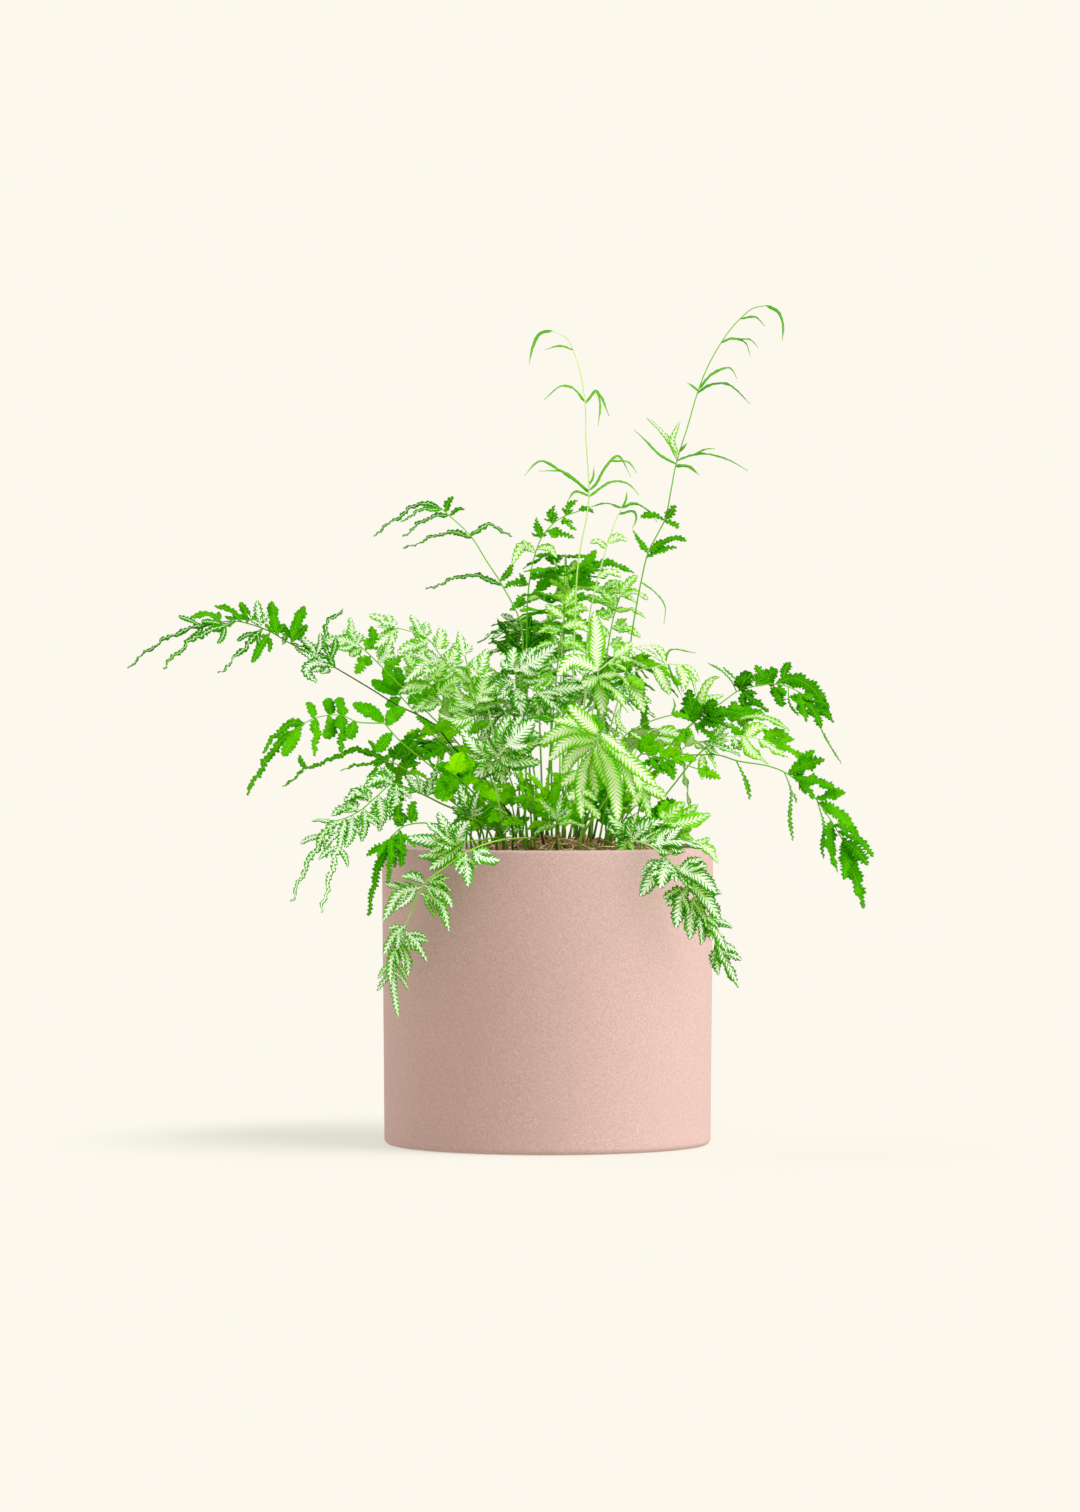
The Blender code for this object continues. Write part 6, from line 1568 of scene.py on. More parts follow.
def sharp_tooth(t):
    """A tooth that leans towards the blade's tip, from -1 in the notch to 1 at its point."""
    t = t % 1.0
    return -1.0 + 2.0 * (t / 0.70) ** 0.8 if t < 0.70 else 1.0 - 2.0 * (t - 0.70) / 0.30


def round_tooth(t):
    t = t % 1.0
    return 1.0 - 2.0 * abs(2.0 * ((t - 0.08) % 1.0) - 1.0) ** 1.9


def outline(u, half, blunt, kind, strip=0.0, tail=0.0):
    """Half width along the blade: a narrow foot, a full middle, a pointed or blunt tip."""
    if tail:
        return half * max(0.14, 0.20 + 0.80 * math.sin(math.pi * min(1.0, u ** 1.8)))
    if strip:
        return half * min(1.0, 0.30 + u / 0.16) * max(0.10, 1.0 - 0.70 * u ** 1.15)
    if kind == "F":
        rise = min(1.0, 0.35 + u / 0.12)
        fall = (1.0 - max(0.0, (u - 0.45) / 0.55) ** 1.5)
        return half * rise * max(fall, 0.02)
    foot = 0.09
    peak = 0.34 + 0.24 * blunt
    if u < peak:
        x = u / peak
        value = foot + (1 - foot) * (1 - (1 - x) ** (2.4 - 0.5 * blunt))
    else:
        x = (u - peak) / (1 - peak)
        pointed = 1 - x ** 1.45
        round_ = math.sqrt(max(0.0, 1 - x ** 2.8))
        value = pointed * (1 - blunt) + round_ * blunt
    return half * max(value, 0.015)


def blade_skin(skin, branch, rng, look, small=False):
    kind = branch.kind
    coarse = small or look.get("coarse")
    size, half = branch.length, branch.width / 2 * look["wide"]
    if kind == "F":
        half = max(half, 0.34 * MM)
    tooth = min(look["tooth"] * MM, half * look.get("bite", 0.32)) * (0.85 + 0.3 * rng.random())
    pitch = look["pitch"] * MM * (0.9 + 0.2 * rng.random()) * (0.86 if small else 1.0)
    start = 0.08
    teeth = max(3, int(round(size * (1 - start) / pitch)))
    pitch = size * (1 - start) / teeth
    us, beats = [0.0, start * 0.5], [0.0, 0.0]
    for k in range(teeth):
        for t in FEW_BEATS if coarse else BEATS:
            us.append(start + (1.0 - start) * (k + t) / teeth)
            beats.append(k + t)
    us.append(0.997)
    beats.append(float(teeth))
    us = np.array(us)
    m = len(us)
    shape = round_tooth if look.get("crenate") else sharp_tooth
    strip = 0.0 if small else look.get("strip", 0.0)
    plain = np.array([outline(u, half, look["blunt"], kind, strip, look.get("tail", 0.0)) for u in us])
    lobes = max(1.0, size / ((5.2 + 2.4 * rng.random()) * MM))
    turn, pace = rng.random() * 6.3, 0.50 + 0.35 * rng.random()

    def course(u):
        """How far a long strip wanders to its sides, in metres."""
        far = u * size / MM
        return strip * (0.62 * np.sin(far * 0.50 + turn) + 0.34 * np.sin(far * 1.3 + turn * 3)) * np.minimum(1.0, u * 2.2) * MM

    widths = []
    for hand in (0, 1):
        phase = rng.random()
        ts = np.array([shape(b + 0.5 * hand) if 0 < i < m - 1 else -0.6 for i, b in enumerate(beats)])
        strength = np.array([0.5 + 0.8 * scatter(branch.seed * 3.7 + 7.0 * hand + int(b + 0.5 * hand)) for b in beats])
        deep = look["lobe"] * (0.5 - 0.5 * np.cos(2 * np.pi * (us * lobes + phase)))
        if strip:
            q = us * lobes * 1.2 + phase + 0.36 * np.sin(us * lobes * 2.3 + turn * 2 + hand)
            cut = np.array([0.45 + 0.55 * scatter(branch.seed * 5.1 + 11.0 * hand + int(x)) for x in q])
            saw = np.array([0.5 - 0.5 * sharp_tooth(x) for x in q])
            deep = np.clip(strip * (0.62 + 0.50 * us) * cut * saw, 0.0, 0.90)
        width = plain * (1.0 - deep) + ts * tooth * strength * np.clip(plain / half * 1.7, 0, 1)
        widths.append(np.maximum(width, 0.09 * MM))
    points, tangents, sides, normals = frames(branch, us * size)
    if strip:
        points = points + sides * course(us)[:, None]
    # the blade rolls a little along its length
    roll = (rng.random() - 0.5) * 0.5 + (rng.random() - 0.5) * 1.0 * us
    middle_row = len(us) // 2
    facing = math.atan2(-float(np.dot(TO_LIGHT, sides[middle_row])), float(np.dot(TO_LIGHT, normals[middle_row])))
    if abs(facing) < 1.9:
        turned = look.get("turn", 0.6)
        roll = roll + max(-1.25 * turned, min(1.25 * turned, facing * turned)) * np.minimum(1.0, us * 3.0)
    c, s = np.cos(roll)[:, None], np.sin(roll)[:, None]
    sides, normals = sides * c + normals * s, normals * c - sides * s
    if half > 3.3 * MM and not coarse:
        vs = np.array([-1.0, -0.70, -0.36, 0.0, 0.36, 0.70, 1.0])
    else:
        vs = np.array([-1.0, -0.5, 0.0, 0.5, 1.0])
    a = np.abs(vs)
    width = np.where(vs[None, :] < 0, widths[0][:, None], widths[1][:, None])
    middle = (widths[0] + widths[1]) / 2
    width[:, len(vs) // 2] = middle
    fold = look["fold"] * (0.5 + rng.random()) * (1 if rng.random() < 0.72 else -0.8)
    far = us * size / MM
    wave = (0.14 + 0.16 * rng.random()) * np.sin(far * pace + turn)
    sway = 0.10 * np.cos(far * 1.25 + turn * 2)
    lift = -fold * (a ** 1.4)[None, :] * plain[:, None]
    lift += wave[:, None] * (np.sign(vs) * a ** 2)[None, :] * plain[:, None]
    lift += sway[:, None] * (a ** 2)[None, :] * plain[:, None]
    lift -= 0.12 * MM * (a < 0.1)[None, :] * np.clip(plain / half, 0, 1)[:, None]
    count = np.array(beats)[:, None] - 0.70 + (0.80 * (plain[:, None] - a[None, :] * plain[:, None])) / pitch
    hand = (vs > 0)[None, :] * 0.5
    ripple = 0.10 * MM * np.cos(2 * np.pi * (count + hand)) * (a ** 0.8)[None, :]
    lift += ripple * np.clip(plain / half * 1.3 - 0.2, 0, 1)[:, None]
    body = points[:, None] + sides[:, None] * (vs[None, :, None] * width[..., None]) + normals[:, None] * lift[..., None]
    thin = 0.12 * MM
    top = body + normals[:, None] * thin
    low = body - normals[:, None] * thin
    n, m = len(us), len(vs)
    verts = np.concatenate([top.reshape(-1, 3), low.reshape(-1, 3)])
    k = n * m
    faces = []
    for i in range(n - 1):
        for j in range(m - 1):
            a0 = i * m + j
            faces.append((a0, a0 + 1, a0 + m + 1, a0 + m)[::-1])
            faces.append((k + a0, k + a0 + 1, k + a0 + m + 1, k + a0 + m))
        faces.append((i * m, (i + 1) * m, k + (i + 1) * m, k + i * m)[::-1])
        e = i * m + m - 1
        faces.append((e, k + e, k + e + m, e + m)[::-1])
    for j in range(m - 1):
        faces.append((j, k + j, k + j + 1, j + 1)[::-1])
        e = (n - 1) * m + j
        faces.append((e, e + 1, k + e + 1, k + e)[::-1])
    blade = np.zeros((2 * k, 3))
    blade[:, 0] = np.tile(np.repeat(far, m), 2)
    blade[:, 1] = np.tile((vs[None, :] * width / MM).ravel(), 2)
    blade[:, 2] = np.tile((width / MM).ravel(), 2)
    vein = np.zeros((2 * k, 3))
    vein[:, 0] = np.tile(count.ravel(), 2)
    vein[:, 1] = np.tile(np.repeat(a[None, :], n, 0).ravel(), 2)
    vein[:, 2] = look["lobe"]
    tone = min(1.0, max(0.0, look["tone"] + (rng.random() - 0.5) * 0.24))
    silver = max(0.0, look["silver"] * (0.86 + 0.26 * rng.random())) if look["silver"] else 0.0
    tint = np.tile([tone, silver, look["lime"]], (2 * k, 1))
    lot = np.zeros((2 * k, 3))
    lot[:, 0] = rng.random()
    lot[k:, 1] = 1.0
    lot[:, 2] = np.tile(np.repeat(us, m), 2)
    skin.put(verts, faces, 0, blade, tint, lot, vein=vein)
    # the petiole and the underside of the midrib
    steps = np.linspace(0.0, 0.86, 5 if coarse else 7)
    p, _, sd, nm = frames(branch, steps * size)
    if strip:
        p = p + sd * course(steps)[:, None]
    radius = np.interp(steps, [0, 0.08, 0.86], [0.32 * MM, 0.24 * MM, 0.08 * MM]) * (0.75 if small else 1.0)
    base = np.array(srgb(112, 184, 24) if look["silver"] < 0.5 else srgb(196, 230, 140))
    tube(skin, p - nm * 0.16 * MM, sd, nm, radius, 1, steps * size, np.tile(base, (len(steps), 1)), sides=4)
    if not small:
        twins(skin, branch, rng, look, half)


def twins(skin, branch, rng, look, half):
    """Pairs of side lobes near the foot of a blade, the lowest the longest."""
    size = branch.length
    if size < 9 * MM or not look["twins"]:
        return
    pairs = min(look["twins"], 1 if size < 14 * MM else 2)
    for k in range(pairs):
        for hand in (-1, 1):
            if rng.random() < 0.10:
                continue
            s = size * (0.10 + 0.17 * k + 0.05 * rng.random())
            p, t, side, normal = branch.frame(s)
            reach = size * look["twin"] * (1.0 - 0.28 * k) * (0.75 + 0.5 * rng.random())
            reach = min(reach, 11 * MM)
            angle = math.radians(40 + 18 * rng.random())
            out = t * math.cos(angle) + side * (hand * math.sin(angle))
            tip_way = t * math.cos(angle * 0.6) + side * (hand * math.sin(angle * 0.6))
            tilt = normal * ((rng.random() - 0.6) * 0.45)
            line = [p, p + (out + tilt * 0.5) * (reach * 0.5), p + (out * 0.55 + tip_way * 0.45 + tilt) * reach]
            child = Branch(branch.kind, branch.width * 0.66, line, normal + side * (hand * -0.25), branch.seed * 7 + k * 2 + hand)
            blade_skin(skin, child, rng, look, small=True)


def frond_skin(root, rng, own):
    skin = Skin()
    base, tip = STALKS[own.get("stalk", root.stalk)]

    def stalk(branch, depth):
        n = max(4, int(branch.length / (2.2 * MM)))
        s = np.linspace(0.0, branch.length, n)
        p, t, sd, nm = frames(branch, s)
        u = s / branch.length
        if depth == 0:
            extra = 3.0 * MM
            p = np.concatenate([p[:1] - t[:1] * extra, p])
            t, sd, nm = (np.concatenate([x[:1], x]) for x in (t, sd, nm))
            s = np.concatenate([[0.0], s])
            u = np.concatenate([[0.0], u])
            slim = 0.10 * min(1.0, branch.length / 0.25)
            radius = (0.50 - (0.16 + slim) * u ** 0.8) * MM * (1.0 + 0.40 * np.exp(-s / (4 * MM)))
        else:
            radius = (0.38 - 0.18 * u) * MM
        shade = 0.72 + 0.5 * scatter(branch.seed * 2.3 + 1.0) if depth == 0 else 1.0
        mixed = shade * np.array(base)[None] * (1 - u[:, None]) + np.array(tip)[None] * u[:, None]
        if depth == 0:
            brown = 0.8 * np.exp(-s / (3.5 * MM))[:, None]
            mixed = mixed * (1 - brown) + np.array(STALK_BASE)[None] * brown
        else:
            mixed = np.tile(np.array(tip), (len(u), 1))
        tube(skin, p, sd, nm, radius, 1, s, mixed, sides=6)
        for _, child in branch.children:
            part(child, depth + 1)

    def part(child, depth):
        if child.kind == "R":
            stalk(child, depth)
        elif child.kind == "C":
            roll(child)
        else:
            look = dict(LOOKS[child.kind], coarse=own.get("coarse", 0))
            look.update(own.get(child.kind, {}))
            if child.length > 21 * MM:
                look.update(look.get("long", {}))
            blade_skin(skin, child, rng, look)
            for _, sub in child.children:
                part(sub, depth + 1)

    def roll(child):
        n = 46
        s = np.linspace(0.0, child.length, n)
        p, t, sd, nm = frames(child, s)
        u = s / child.length
        radius = (0.50 - 0.22 * u) * MM * (1 + 0.10 * np.sin(u * 60))
        tube(skin, p, sd, nm, radius, 1, s, np.tile(np.array(tip), (n, 1)), sides=8)
        # the folded leaflets packed inside the roll
        centre = np.array(child.points[-1][:])
        for k in range(9):
            i = int(n * (0.25 + 0.7 * k / 9))
            way = centre - p[i]
            way = way / max(np.linalg.norm(way), 1e-9)
            q = np.linspace(0, 1, 5)[:, None]
            line = p[i] + way * q * 0.9 * MM + nm[i] * np.sin(q * 3) * 0.35 * MM
            tube(skin, line, np.tile(t[i], (5, 1)), np.tile(nm[i], (5, 1)), np.array([0.30, 0.36, 0.34, 0.26, 0.08]) * MM,
                 1, np.linspace(0, 0.001, 5), np.tile(np.array(srgb(150, 205, 70)), (5, 1)), sides=6)

    stalk(root, 0)
    return skin


# ---- pot, mix, crown and roots ----------------------------------------------------------
def show(obj, slot, *nodes):
    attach(obj, "root")
    if nodes:
        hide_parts(*nodes)
    return obj


def mesh_piece(name, verts, faces, material, smooth=True, sharp=None):
    mesh = bpy.data.meshes.new(name)
    mesh.from_pydata([tuple(v) for v in verts], [], faces)
    mesh.materials.append(material)
    mesh.update()
    obj = bpy.data.objects.new(name, mesh)
    bpy.context.scene.collection.objects.link(obj)
    if smooth:
        mesh.shade_smooth()
    if sharp:
        mesh.set_sharp_from_angle(angle=math.radians(sharp))
    return obj


def fine_pot_profile():
    outer, inner = FOOT_ROUNDING, RIM_ROUNDING
    points = [(0.0, 0.0), (0.035, 0.0), (0.058, 0.0)]
    points += arc(pot_radius(outer) - outer, outer, outer, -90, 0, 8)
    top = POT_HEIGHT - inner
    for i in range(1, 30):
        z = outer + (top - outer) * i / 30
        points.append((pot_radius(z), z))
    points += arc(POT_RIM_RADIUS - inner, POT_HEIGHT - inner, inner, 0, 90, 8)
    points += [(POT_RIM_RADIUS - POT_WALL / 2, POT_HEIGHT - 0.02 * MM)]
    points += arc(POT_RIM_RADIUS - POT_WALL + inner, POT_HEIGHT - inner, inner, 90, 180, 8)
    for i in range(1, 12):
        z = top + (POT_FLOOR + 4 * MM - top) * i / 12
        points.append((pot_radius(z) - POT_WALL, z))
    points += arc(pot_radius(POT_FLOOR) - POT_WALL - 4 * MM, POT_FLOOR + 4 * MM, 4 * MM, 0, -90, 5)
    points += [(0.03, POT_FLOOR), (0.0, POT_FLOOR)]
    return points


def build_pot():
    verts, faces = turned(fine_pot_profile(), 200)
    out = []
    for v in verts:
        r = math.hypot(v.x, v.y)
        if r > 0.05 and v.z > 0.004:
            wobble = 0.07 * MM * noise.noise(Vector((v.x, v.y, v.z * 0.6)) * 45.0)
            wobble += 0.03 * MM * noise.noise(v * 240.0) - 0.10 * MM
            v = Vector((v.x * (1 + wobble / r), v.y * (1 + wobble / r), v.z))
        out.append(v)
    obj = mesh_piece("planter", out, faces, pot_material(), sharp=50)
    return show(obj, "pot_ceramic", "pot")


def lump(rng, centre, size, flat=1.0):
    """A small broken crumb: a coarse ball pushed about by noise."""
    verts, faces = [], []
    rows, sides = 4, 7
    spin = Matrix.Rotation(rng.random() * 6.28, 3, "Z") @ Matrix.Rotation((rng.random() - 0.5) * 0.9, 3, "X")
    stretch = Vector((1.0 + 0.7 * rng.random(), 0.8 + 0.3 * rng.random(), flat * (0.6 + 0.4 * rng.random())))
    offset = Vector((rng.random(), rng.random(), rng.random())) * 50.0
    for i in range(rows + 1):
        a = math.pi * i / rows
        ring = sides if 0 < i < rows else 1
        for j in range(ring):
            b = 2 * math.pi * j / sides
            d = Vector((math.sin(a) * math.cos(b), math.sin(a) * math.sin(b), math.cos(a)))
            d = d * (1.0 + 0.45 * noise.noise(d * 1.7 + offset))
            verts.append(centre + spin @ Vector((d.x * stretch.x, d.y * stretch.y, d.z * stretch.z)) * size)
    for j in range(sides):
        k = (j + 1) % sides
        faces.append((0, 1 + j, 1 + k))
        last = len(verts) - 1
        base = 1 + (rows - 2) * sides
        faces.append((last, base + k, base + j))
        for i in range(rows - 2):
            p = 1 + i * sides
            faces.append((p + j, p + sides + j, p + sides + k, p + k))
    return verts, faces


def build_mix():
    rng = random.Random(71)
    radius = pot_radius(SOIL_EDGE_HEIGHT) - POT_WALL - 0.25 * MM
    rings, sides = 62, 160
    verts, faces = [], []

    def top(x, y):
        p = Vector((x, y, 0.0))
        h = soil_height(x, y)
        h += 1.1 * MM * noise.noise(p * 95.0) + 0.8 * MM * noise.noise(p * 260.0) + 0.45 * MM * noise.noise(p * 620.0)
        return h - 0.9 * MM

    verts.append(Vector((0, 0, top(0, 0))))
    for i in range(1, rings + 1):
        r = radius * i / rings
        for j in range(sides):
            a = 2 * math.pi * j / sides
            x, y = r * math.cos(a), r * math.sin(a)
            verts.append(Vector((x, y, top(x, y))))
    for j in range(sides):
        k = (j + 1) % sides
        faces.append((0, 1 + j, 1 + k))
        for i in range(rings - 1):
            p = 1 + i * sides
            faces.append((p + j, p + sides + j, p + sides + k, p + k))
    edge = 1 + (rings - 1) * sides
    floor = []
    for j in range(sides):
        v = verts[edge + j]
        floor.append(len(verts))
        verts.append(Vector((v.x, v.y, SOIL_EDGE_HEIGHT - 9 * MM)))
    middle = len(verts)
    verts.append(Vector((0, 0, SOIL_EDGE_HEIGHT - 9 * MM)))
    for j in range(sides):
        k = (j + 1) % sides
        faces.append((edge + j, floor[j], floor[k], edge + k))
        faces.append((middle, floor[k], floor[j]))
    for _ in range(1200):
        a, r = rng.random() * 6.2832, radius * math.sqrt(rng.random()) * 0.975
        x, y = r * math.cos(a), r * math.sin(a)
        size = (0.5 + 1.3 * rng.random() ** 2.2) * MM
        if crown_lift(x, y) > 3.0 * MM:
            continue
        crumb, sides_of = lump(rng, Vector((x, y, top(x, y) + size * 0.25)), size)
        base = len(verts)
        verts += crumb
        faces += [tuple(q + base for q in f) for f in sides_of]
    obj = mesh_piece("peat_mix", verts, faces, mix_material())
    return show(obj, "potting_mix", "potting_mix")


def crown_top(x, y):
    p = Vector((x, y, 0.0))
    lift = crown_lift(x, y)
    h = soil_height(x, y) + GAP + lift - 1.0 * MM
    h += min(1.0, lift / (3 * MM)) * (1.5 * MM * noise.noise(p * 120.0) + 0.8 * MM * noise.noise(p * 330.0)
                                      + 0.4 * MM * noise.noise(p * 800.0))
    return h


def build_crown():
    rng = random.Random(19)
    rings, sides = 52, 176
    verts, faces = [Vector((CROWN_CENTRE[0], CROWN_CENTRE[1], crown_top(*CROWN_CENTRE)))], []
    for i in range(1, rings + 1):
        f = i / rings * 0.985
        for j in range(sides):
            a = 2 * math.pi * j / sides
            ragged = 1.0 + 0.05 * noise.noise(Vector((math.cos(a) * 2.4, math.sin(a) * 2.4, 3.0))) * f
            x = CROWN_CENTRE[0] + CROWN_HALF_WIDTH * f * ragged * 0.985 * math.cos(a)
            y = CROWN_CENTRE[1] + CROWN_HALF_DEPTH * f * ragged * 0.985 * math.sin(a)
            z = crown_top(x, y) if i < rings else soil_height(x, y) - 1.5 * MM
            verts.append(Vector((x, y, z)))
    for j in range(sides):
        k = (j + 1) % sides
        faces.append((0, 1 + j, 1 + k))
        for i in range(rings - 1):
            p = 1 + i * sides
            faces.append((p + j, p + sides + j, p + sides + k, p + k))
    edge = 1 + (rings - 1) * sides
    under = len(verts)
    verts.append(Vector((CROWN_CENTRE[0], CROWN_CENTRE[1], SOIL_EDGE_HEIGHT - 2 * MM)))
    for j in range(sides):
        k = (j + 1) % sides
        faces.append((under, edge + k, edge + j))
    for _ in range(440):
        a, f = rng.random() * 6.2832, math.sqrt(rng.random()) * 0.94
        x = CROWN_CENTRE[0] + CROWN_HALF_WIDTH * f * math.cos(a)
        y = CROWN_CENTRE[1] + CROWN_HALF_DEPTH * f * math.sin(a)
        size = (0.7 + 1.5 * rng.random() ** 2) * MM
        crumb, sides_of = lump(rng, Vector((x, y, crown_top(x, y) + size * 0.1)), size, 0.7)
        base = len(verts)
        verts += crumb
        faces += [tuple(q + base for q in f) for f in sides_of]
    obj = mesh_piece("rhizome_clump", verts, faces, crown_material())
    return show(obj, "rhizome_crown", "rhizome_crown")


def build_roots():
    """Dry roots and old stalk bases over the clump."""
    rng = random.Random(5)
    skin = Skin()
    straw, tan, dark = (np.array(srgb(*c)) for c in ((236, 218, 164), (172, 130, 74), (74, 48, 24)))
    for index in range(330):
        a = rng.random() * 6.2832
        f = 0.35 + 0.62 * math.sqrt(rng.random())
        x = CROWN_CENTRE[0] + CROWN_HALF_WIDTH * f * math.cos(a)
        y = CROWN_CENTRE[1] + CROWN_HALF_DEPTH * f * math.sin(a)
        heading = a + (rng.random() - 0.5) * 2.4
        length = (8 + 22 * rng.random()) * MM
        high = (0.3 + 4.2 * rng.random() ** 2.5) * MM
        steps = 6
        points = []
        for i in range(steps + 1):
            u = i / steps
            px = x + math.cos(heading) * length * u
            py = y + math.sin(heading) * length * u
            r = math.hypot(px, py)
            if r > 66 * MM:
                px, py = px * 66 * MM / r, py * 66 * MM / r
            floor = max(crown_top(px, py), soil_height(px, py) - 0.3 * MM)
            points.append(Vector((px, py, floor + 0.2 * MM + high * math.sin(math.pi * min(1.0, u * 1.05)))))
            heading += (rng.random() - 0.5) * 1.1
        branch = Branch("R", 1 * MM, points, Vector((0, 0, 1)), 0)
        n = max(7, int(branch.length / (1.9 * MM)))
        s = np.linspace(0, branch.length, n)
        p, _, sd, nm = frames(branch, s)
        thick_ = (0.16 + 0.26 * rng.random()) * MM
        radius = thick_ * np.interp(s / branch.length, [0, 0.1, 0.7, 1], [0.8, 1.0, 0.8, 0.25])
        mixed = straw if rng.random() < 0.45 else tan
        mixed = mixed * (0.75 + 0.35 * rng.random())
        colours = mixed[None] * (1 - 0.5 * (s / branch.length)[:, None]) + dark[None] * 0.5 * (s / branch.length)[:, None]
        tube(skin, p, sd, nm, radius, 0, s, colours, sides=4)
    # stumps of old stalks
    for index in range(46):
        a, f = rng.random() * 6.2832, math.sqrt(rng.random()) * 0.9
        x = CROWN_CENTRE[0] + CROWN_HALF_WIDTH * f * math.cos(a)
        y = CROWN_CENTRE[1] + CROWN_HALF_DEPTH * f * math.sin(a)
        tilt = Vector((math.cos(a) * 0.7 * rng.random(), math.sin(a) * 0.7 * rng.random(), 1.0)).normalized()
        size = (2.5 + 4.5 * rng.random()) * MM
        base = Vector((x, y, crown_top(x, y) - 1.0 * MM))
        branch = Branch("R", 1 * MM, [base, base + tilt * size * 0.5, base + tilt * size], Vector((0.3, -1, 0.2)), 0)
        s = np.linspace(0, branch.length, 6)
        p, _, sd, nm = frames(branch, s)
        radius = (0.45 + 0.25 * rng.random()) * MM * np.interp(s / branch.length, [0, 0.5, 0.95, 1], [1.3, 1.0, 0.85, 0.6])
        tube(skin, p, sd, nm, radius, 0, s, np.tile(tan * (0.5 + 0.6 * rng.random()), (6, 1)), sides=7)
    obj = skin.build("straw_roots", [root_material()])
    return show(obj, "rhizome_crown")


def build_young_fronds(leaf, stem):
    """Low young fronds between the stalks: short stalks with a few small leaflets each."""
    rng = random.Random(31)
    parts = Skin()
    for index in range(YOUNG_FRONDS):
        a = rng.random() * 6.2832
        f = math.sqrt(rng.random()) * 0.90
        x = CROWN_CENTRE[0] + CROWN_HALF_WIDTH * f * math.cos(a)
        y = CROWN_CENTRE[1] + CROWN_HALF_DEPTH * f * math.sin(a)
        tall = (9 + 24 * rng.random()) * MM
        out = Vector((math.cos(a), math.sin(a), 0.0)) * (0.25 + 0.6 * f) + Vector((rng.random() - 0.5, rng.random() - 0.5, 0.0)) * 0.9
        base = Vector((x, y, crown_top(x, y) + 0.5 * MM))
        top = base + out * tall * 0.7 + Vector((0, 0, tall))
        line = [base, base + out * tall * 0.15 + Vector((0, 0, tall * 0.55)), top]
        facing = Vector((rng.random() - 0.5, -0.6 + 0.5 * (rng.random() - 0.5), 0.8))
        root = Branch("R", 0.8 * MM, line, facing, 500.0 + index)
        root.stalk = "green"
        pick = rng.random()
        kind, own = ("G", dict(tone=0.08 + 0.34 * rng.random())) if pick < 0.66 else (
            ("D", dict(tone=0.50 + 0.30 * rng.random())) if pick < 0.80 else ("V", dict(tone=0.5, silver=0.8)))
        own.update(twins=0, wide=0.80 + 0.25 * rng.random())
        count = 3 + int(3 * rng.random())
        for k in range(count):
            end = k == count - 1
            s = root.length * (1.0 if end else 0.55 + 0.45 * k / count)
            p, t, side, normal = root.frame(s)
            hand = 0 if end else (1 if k % 2 else -1)
            size = (7 + 7 * rng.random()) * MM * (1.15 if end else 1.0)
            way = (t * (0.9 if end else 0.55) + side * hand * 0.9 + normal * (rng.random() - 0.4) * 0.5).normalized()
            drop = Vector((0, 0, -0.25 * size))
            blade = Branch(kind, (3.2 + 1.6 * rng.random()) * MM, [p, p + way * size * 0.5, p + way * size + drop],
                           normal + Vector((0, -0.4, 0.3)), 900.0 + index * 7 + k)
            root.children.append((s, blade))
        parts.join(frond_skin(root, rng, {kind: own, "coarse": 1}))
    obj = parts.build("young_fronds", [leaf, stem])
    return show(obj, "leaf_green")


# ---- light, floor and camera ---------------------------------------------------------------
def floor_material():
    """A lit sweep: as bright as the backdrop, with the soft shadow fading away from the pot."""
    n = Nodes("plain_floor")
    x, y, _ = n.split(n.place())
    away = n.math("SQRT", n.add(n.mul(x, x), n.mul(y, y)))
    share = n.ramp(away, 0.245, 0.155)
    steep = Vector(KEY_FROM).normalized().z
    rim = Vector(RIM_FROM).normalized().z
    level = [FILL * w + (KEY_POWER * steep + RIM_POWER * rim) * k / math.pi for w, k in zip(WORLD_COLOUR, KEY_COLOUR)]
    lit = tuple(c * v for c, v in zip(FLOOR_COLOUR, level))
    n.set(Base_Color=n.mix(share, (0.0, 0.0, 0.0), FLOOR_COLOUR), Roughness=0.9, Specular_IOR_Level=0.0,
          Emission_Color=n.mix(share, WORLD_COLOUR, tuple(w - v for w, v in zip(WORLD_COLOUR, lit))), Emission_Strength=1.0)
    return n.material


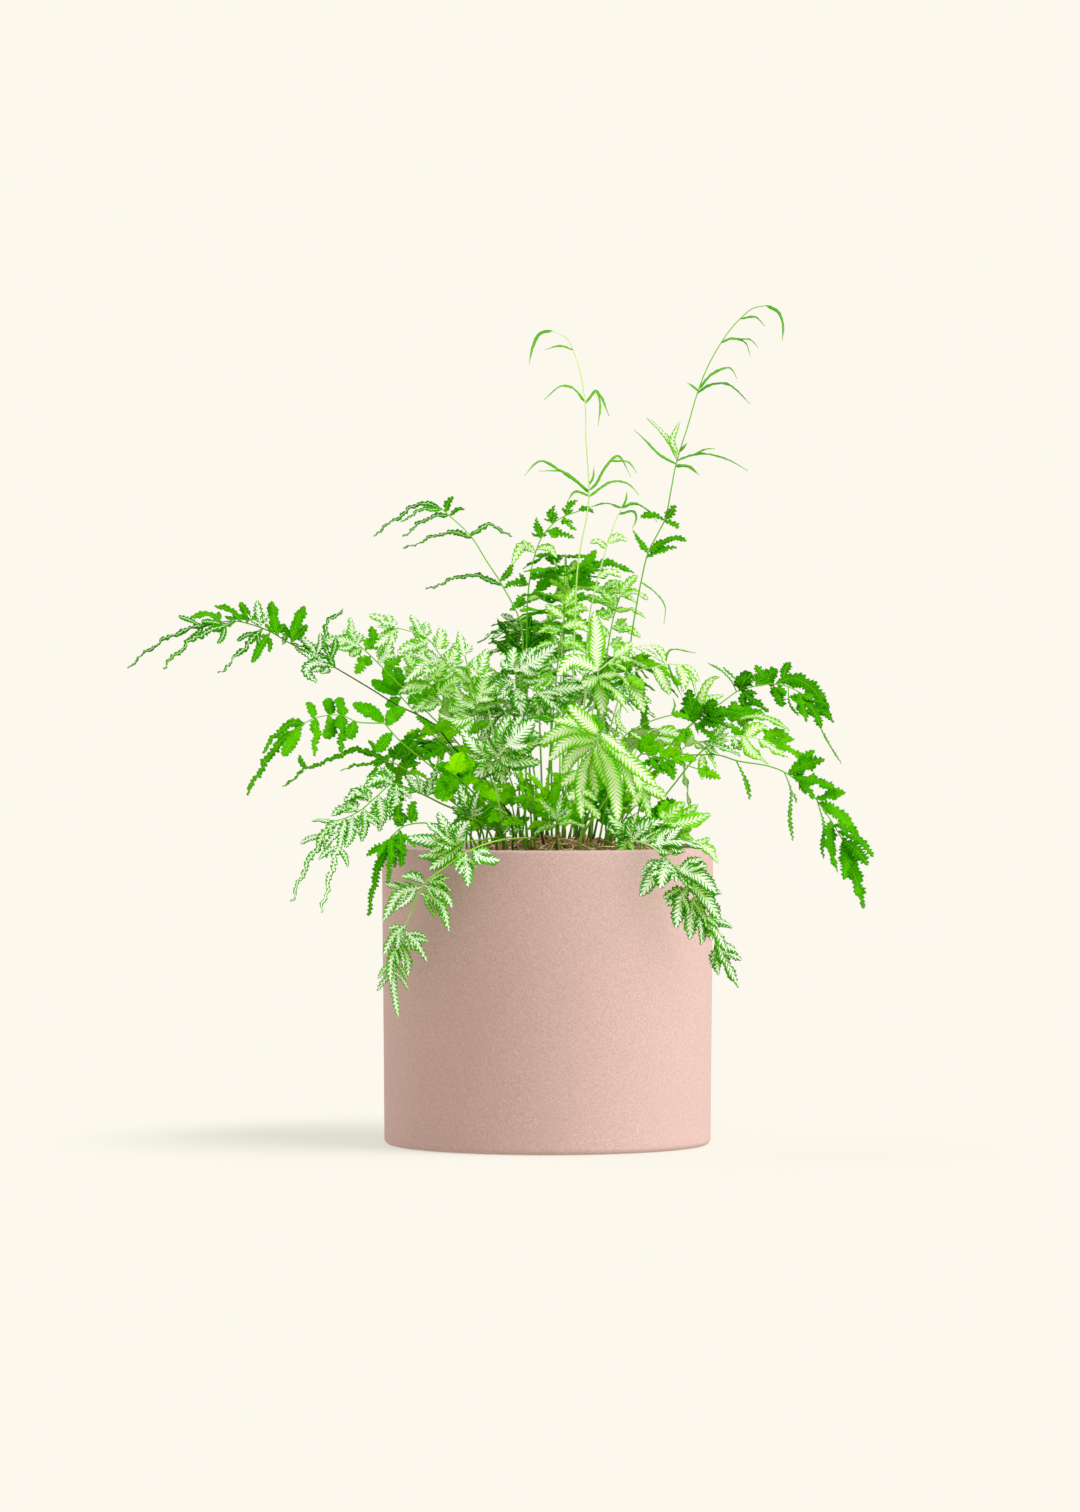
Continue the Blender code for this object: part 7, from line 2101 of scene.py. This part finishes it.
def build_stage(leaves):
    floor = mesh_piece("floor", [(-40, -40, -0.0002), (40, -40, -0.0002), (40, 40, -0.0002), (-40, 40, -0.0002)],
                       [(0, 1, 2, 3)], floor_material(), smooth=False)

    world = bpy.data.worlds.new("studio")
    world.use_nodes = True
    back = world.node_tree.nodes["Background"]
    back.inputs["Color"].default_value = (*WORLD_COLOUR, 1.0)
    # the backdrop shows at full strength and lights the object at FILL
    path = world.node_tree.nodes.new("ShaderNodeLightPath")
    level = world.node_tree.nodes.new("ShaderNodeMapRange")
    level.inputs["To Min"].default_value = FILL
    level.inputs["To Max"].default_value = 1.0
    world.node_tree.links.new(path.outputs["Is Camera Ray"], level.inputs["Value"])
    world.node_tree.links.new(level.outputs["Result"], back.inputs["Strength"])
    bpy.context.scene.world = world

    # the blades are lit more evenly than the pot: a weaker key, and a fill from the front left.
    # They shade the pot only faintly, so most of its key passes them
    other = bpy.data.collections.new("all_but_leaves")
    for piece in leaves:
        other.objects.link(piece)
    for entry in other.collection_objects:
        entry.light_linking.link_state = "EXCLUDE"
    for name, share, spread, blockers in (("key", 1.0 - LEAF_SHADE, KEY_SPREAD, other), ("shaded_key", LEAF_SHADE, 90.0, None)):
        light = bpy.data.lights.new(name, "SUN")
        light.energy = KEY_POWER * share
        light.color = KEY_COLOUR
        light.angle = math.radians(spread)
        lamp = bpy.data.objects.new(name, light)
        lamp.rotation_euler = Vector(KEY_FROM).normalized().to_track_quat("Z", "Y").to_euler()
        lamp.light_linking.receiver_collection = other
        if blockers:
            lamp.light_linking.blocker_collection = blockers
        bpy.context.scene.collection.objects.link(lamp)
    only = bpy.data.collections.new("only_leaves")
    for piece in leaves:
        only.objects.link(piece)
    for name, way, power, spread in (("leaf_key", KEY_FROM, LEAF_KEY, KEY_SPREAD), ("leaf_fill", LEAF_FILL_FROM, LEAF_FILL, 90.0)):
        light = bpy.data.lights.new(name, "SUN")
        light.energy = power
        light.color = KEY_COLOUR
        light.angle = math.radians(spread)
        lamp = bpy.data.objects.new(name, light)
        lamp.rotation_euler = Vector(way).normalized().to_track_quat("Z", "Y").to_euler()
        lamp.light_linking.receiver_collection = only
        bpy.context.scene.collection.objects.link(lamp)

    rim = bpy.data.lights.new("rim", "SUN")
    rim.energy = RIM_POWER
    rim.color = KEY_COLOUR
    rim.angle = math.radians(60.0)
    lamp = bpy.data.objects.new("rim", rim)
    lamp.rotation_euler = Vector(RIM_FROM).normalized().to_track_quat("Z", "Y").to_euler()
    bpy.context.scene.collection.objects.link(lamp)

    settings = bpy.context.scene.view_settings
    settings.view_transform = "Standard"
    settings.look = "None"
    settings.exposure = 0.0
    settings.gamma = 1.0

    camera = bpy.data.cameras.new("camera")
    camera.sensor_width = 36.0
    camera.sensor_fit = "AUTO"
    camera.lens = 162.9
    camera.clip_start = 0.05
    camera.clip_end = 200.0
    eye = bpy.data.objects.new("camera", camera)
    eye.location = (-0.0034, -EYE_DISTANCE, EYE_HEIGHT)
    eye.rotation_euler = (math.radians(90.0 - 1.005), 0.0, 0.0)
    bpy.context.scene.collection.objects.link(eye)
    bpy.context.scene.camera = eye


YOUNG_FRONDS = 26
WORLD_COLOUR = srgb(252, 248, 237)
FILL = 0.54
KEY_FROM = (1.0, -0.45, 0.86)
KEY_POWER = 3.8
KEY_COLOUR = (0.93, 1.0, 1.03)
KEY_SPREAD = 50.0
LEAF_KEY = 2.2
LEAF_SHADE = 0.28
LEAF_FILL_FROM = (-0.55, -0.80, 0.45)
LEAF_FILL = 1.50
RIM_FROM = (-1.0, 0.55, 0.25)
RIM_POWER = 1.25
FLOOR_COLOUR = (0.335, 0.275, 0.262)

leaf, stem = leaf_material(), stalk_material()
_, _, _, laid = lay_out()
slots = {item["node"]: item["material_slot"] for item in frame["record"]["subparts"]}
leaves = []
for index, (name, root, *_rest) in enumerate(laid):
    rng = random.Random(1000 + index)
    skin = frond_skin(root, rng, dict(OWN.get(name, {}), coarse=name.startswith("rear_frond")))
    leaves.append(show(skin.build(name + "_leaf", [leaf, stem]), slots[name], name))
build_pot()
build_mix()
build_crown()
build_roots()
leaves.append(build_young_fronds(leaf, stem))
build_stage(leaves)

bpy.context.view_layer.update()
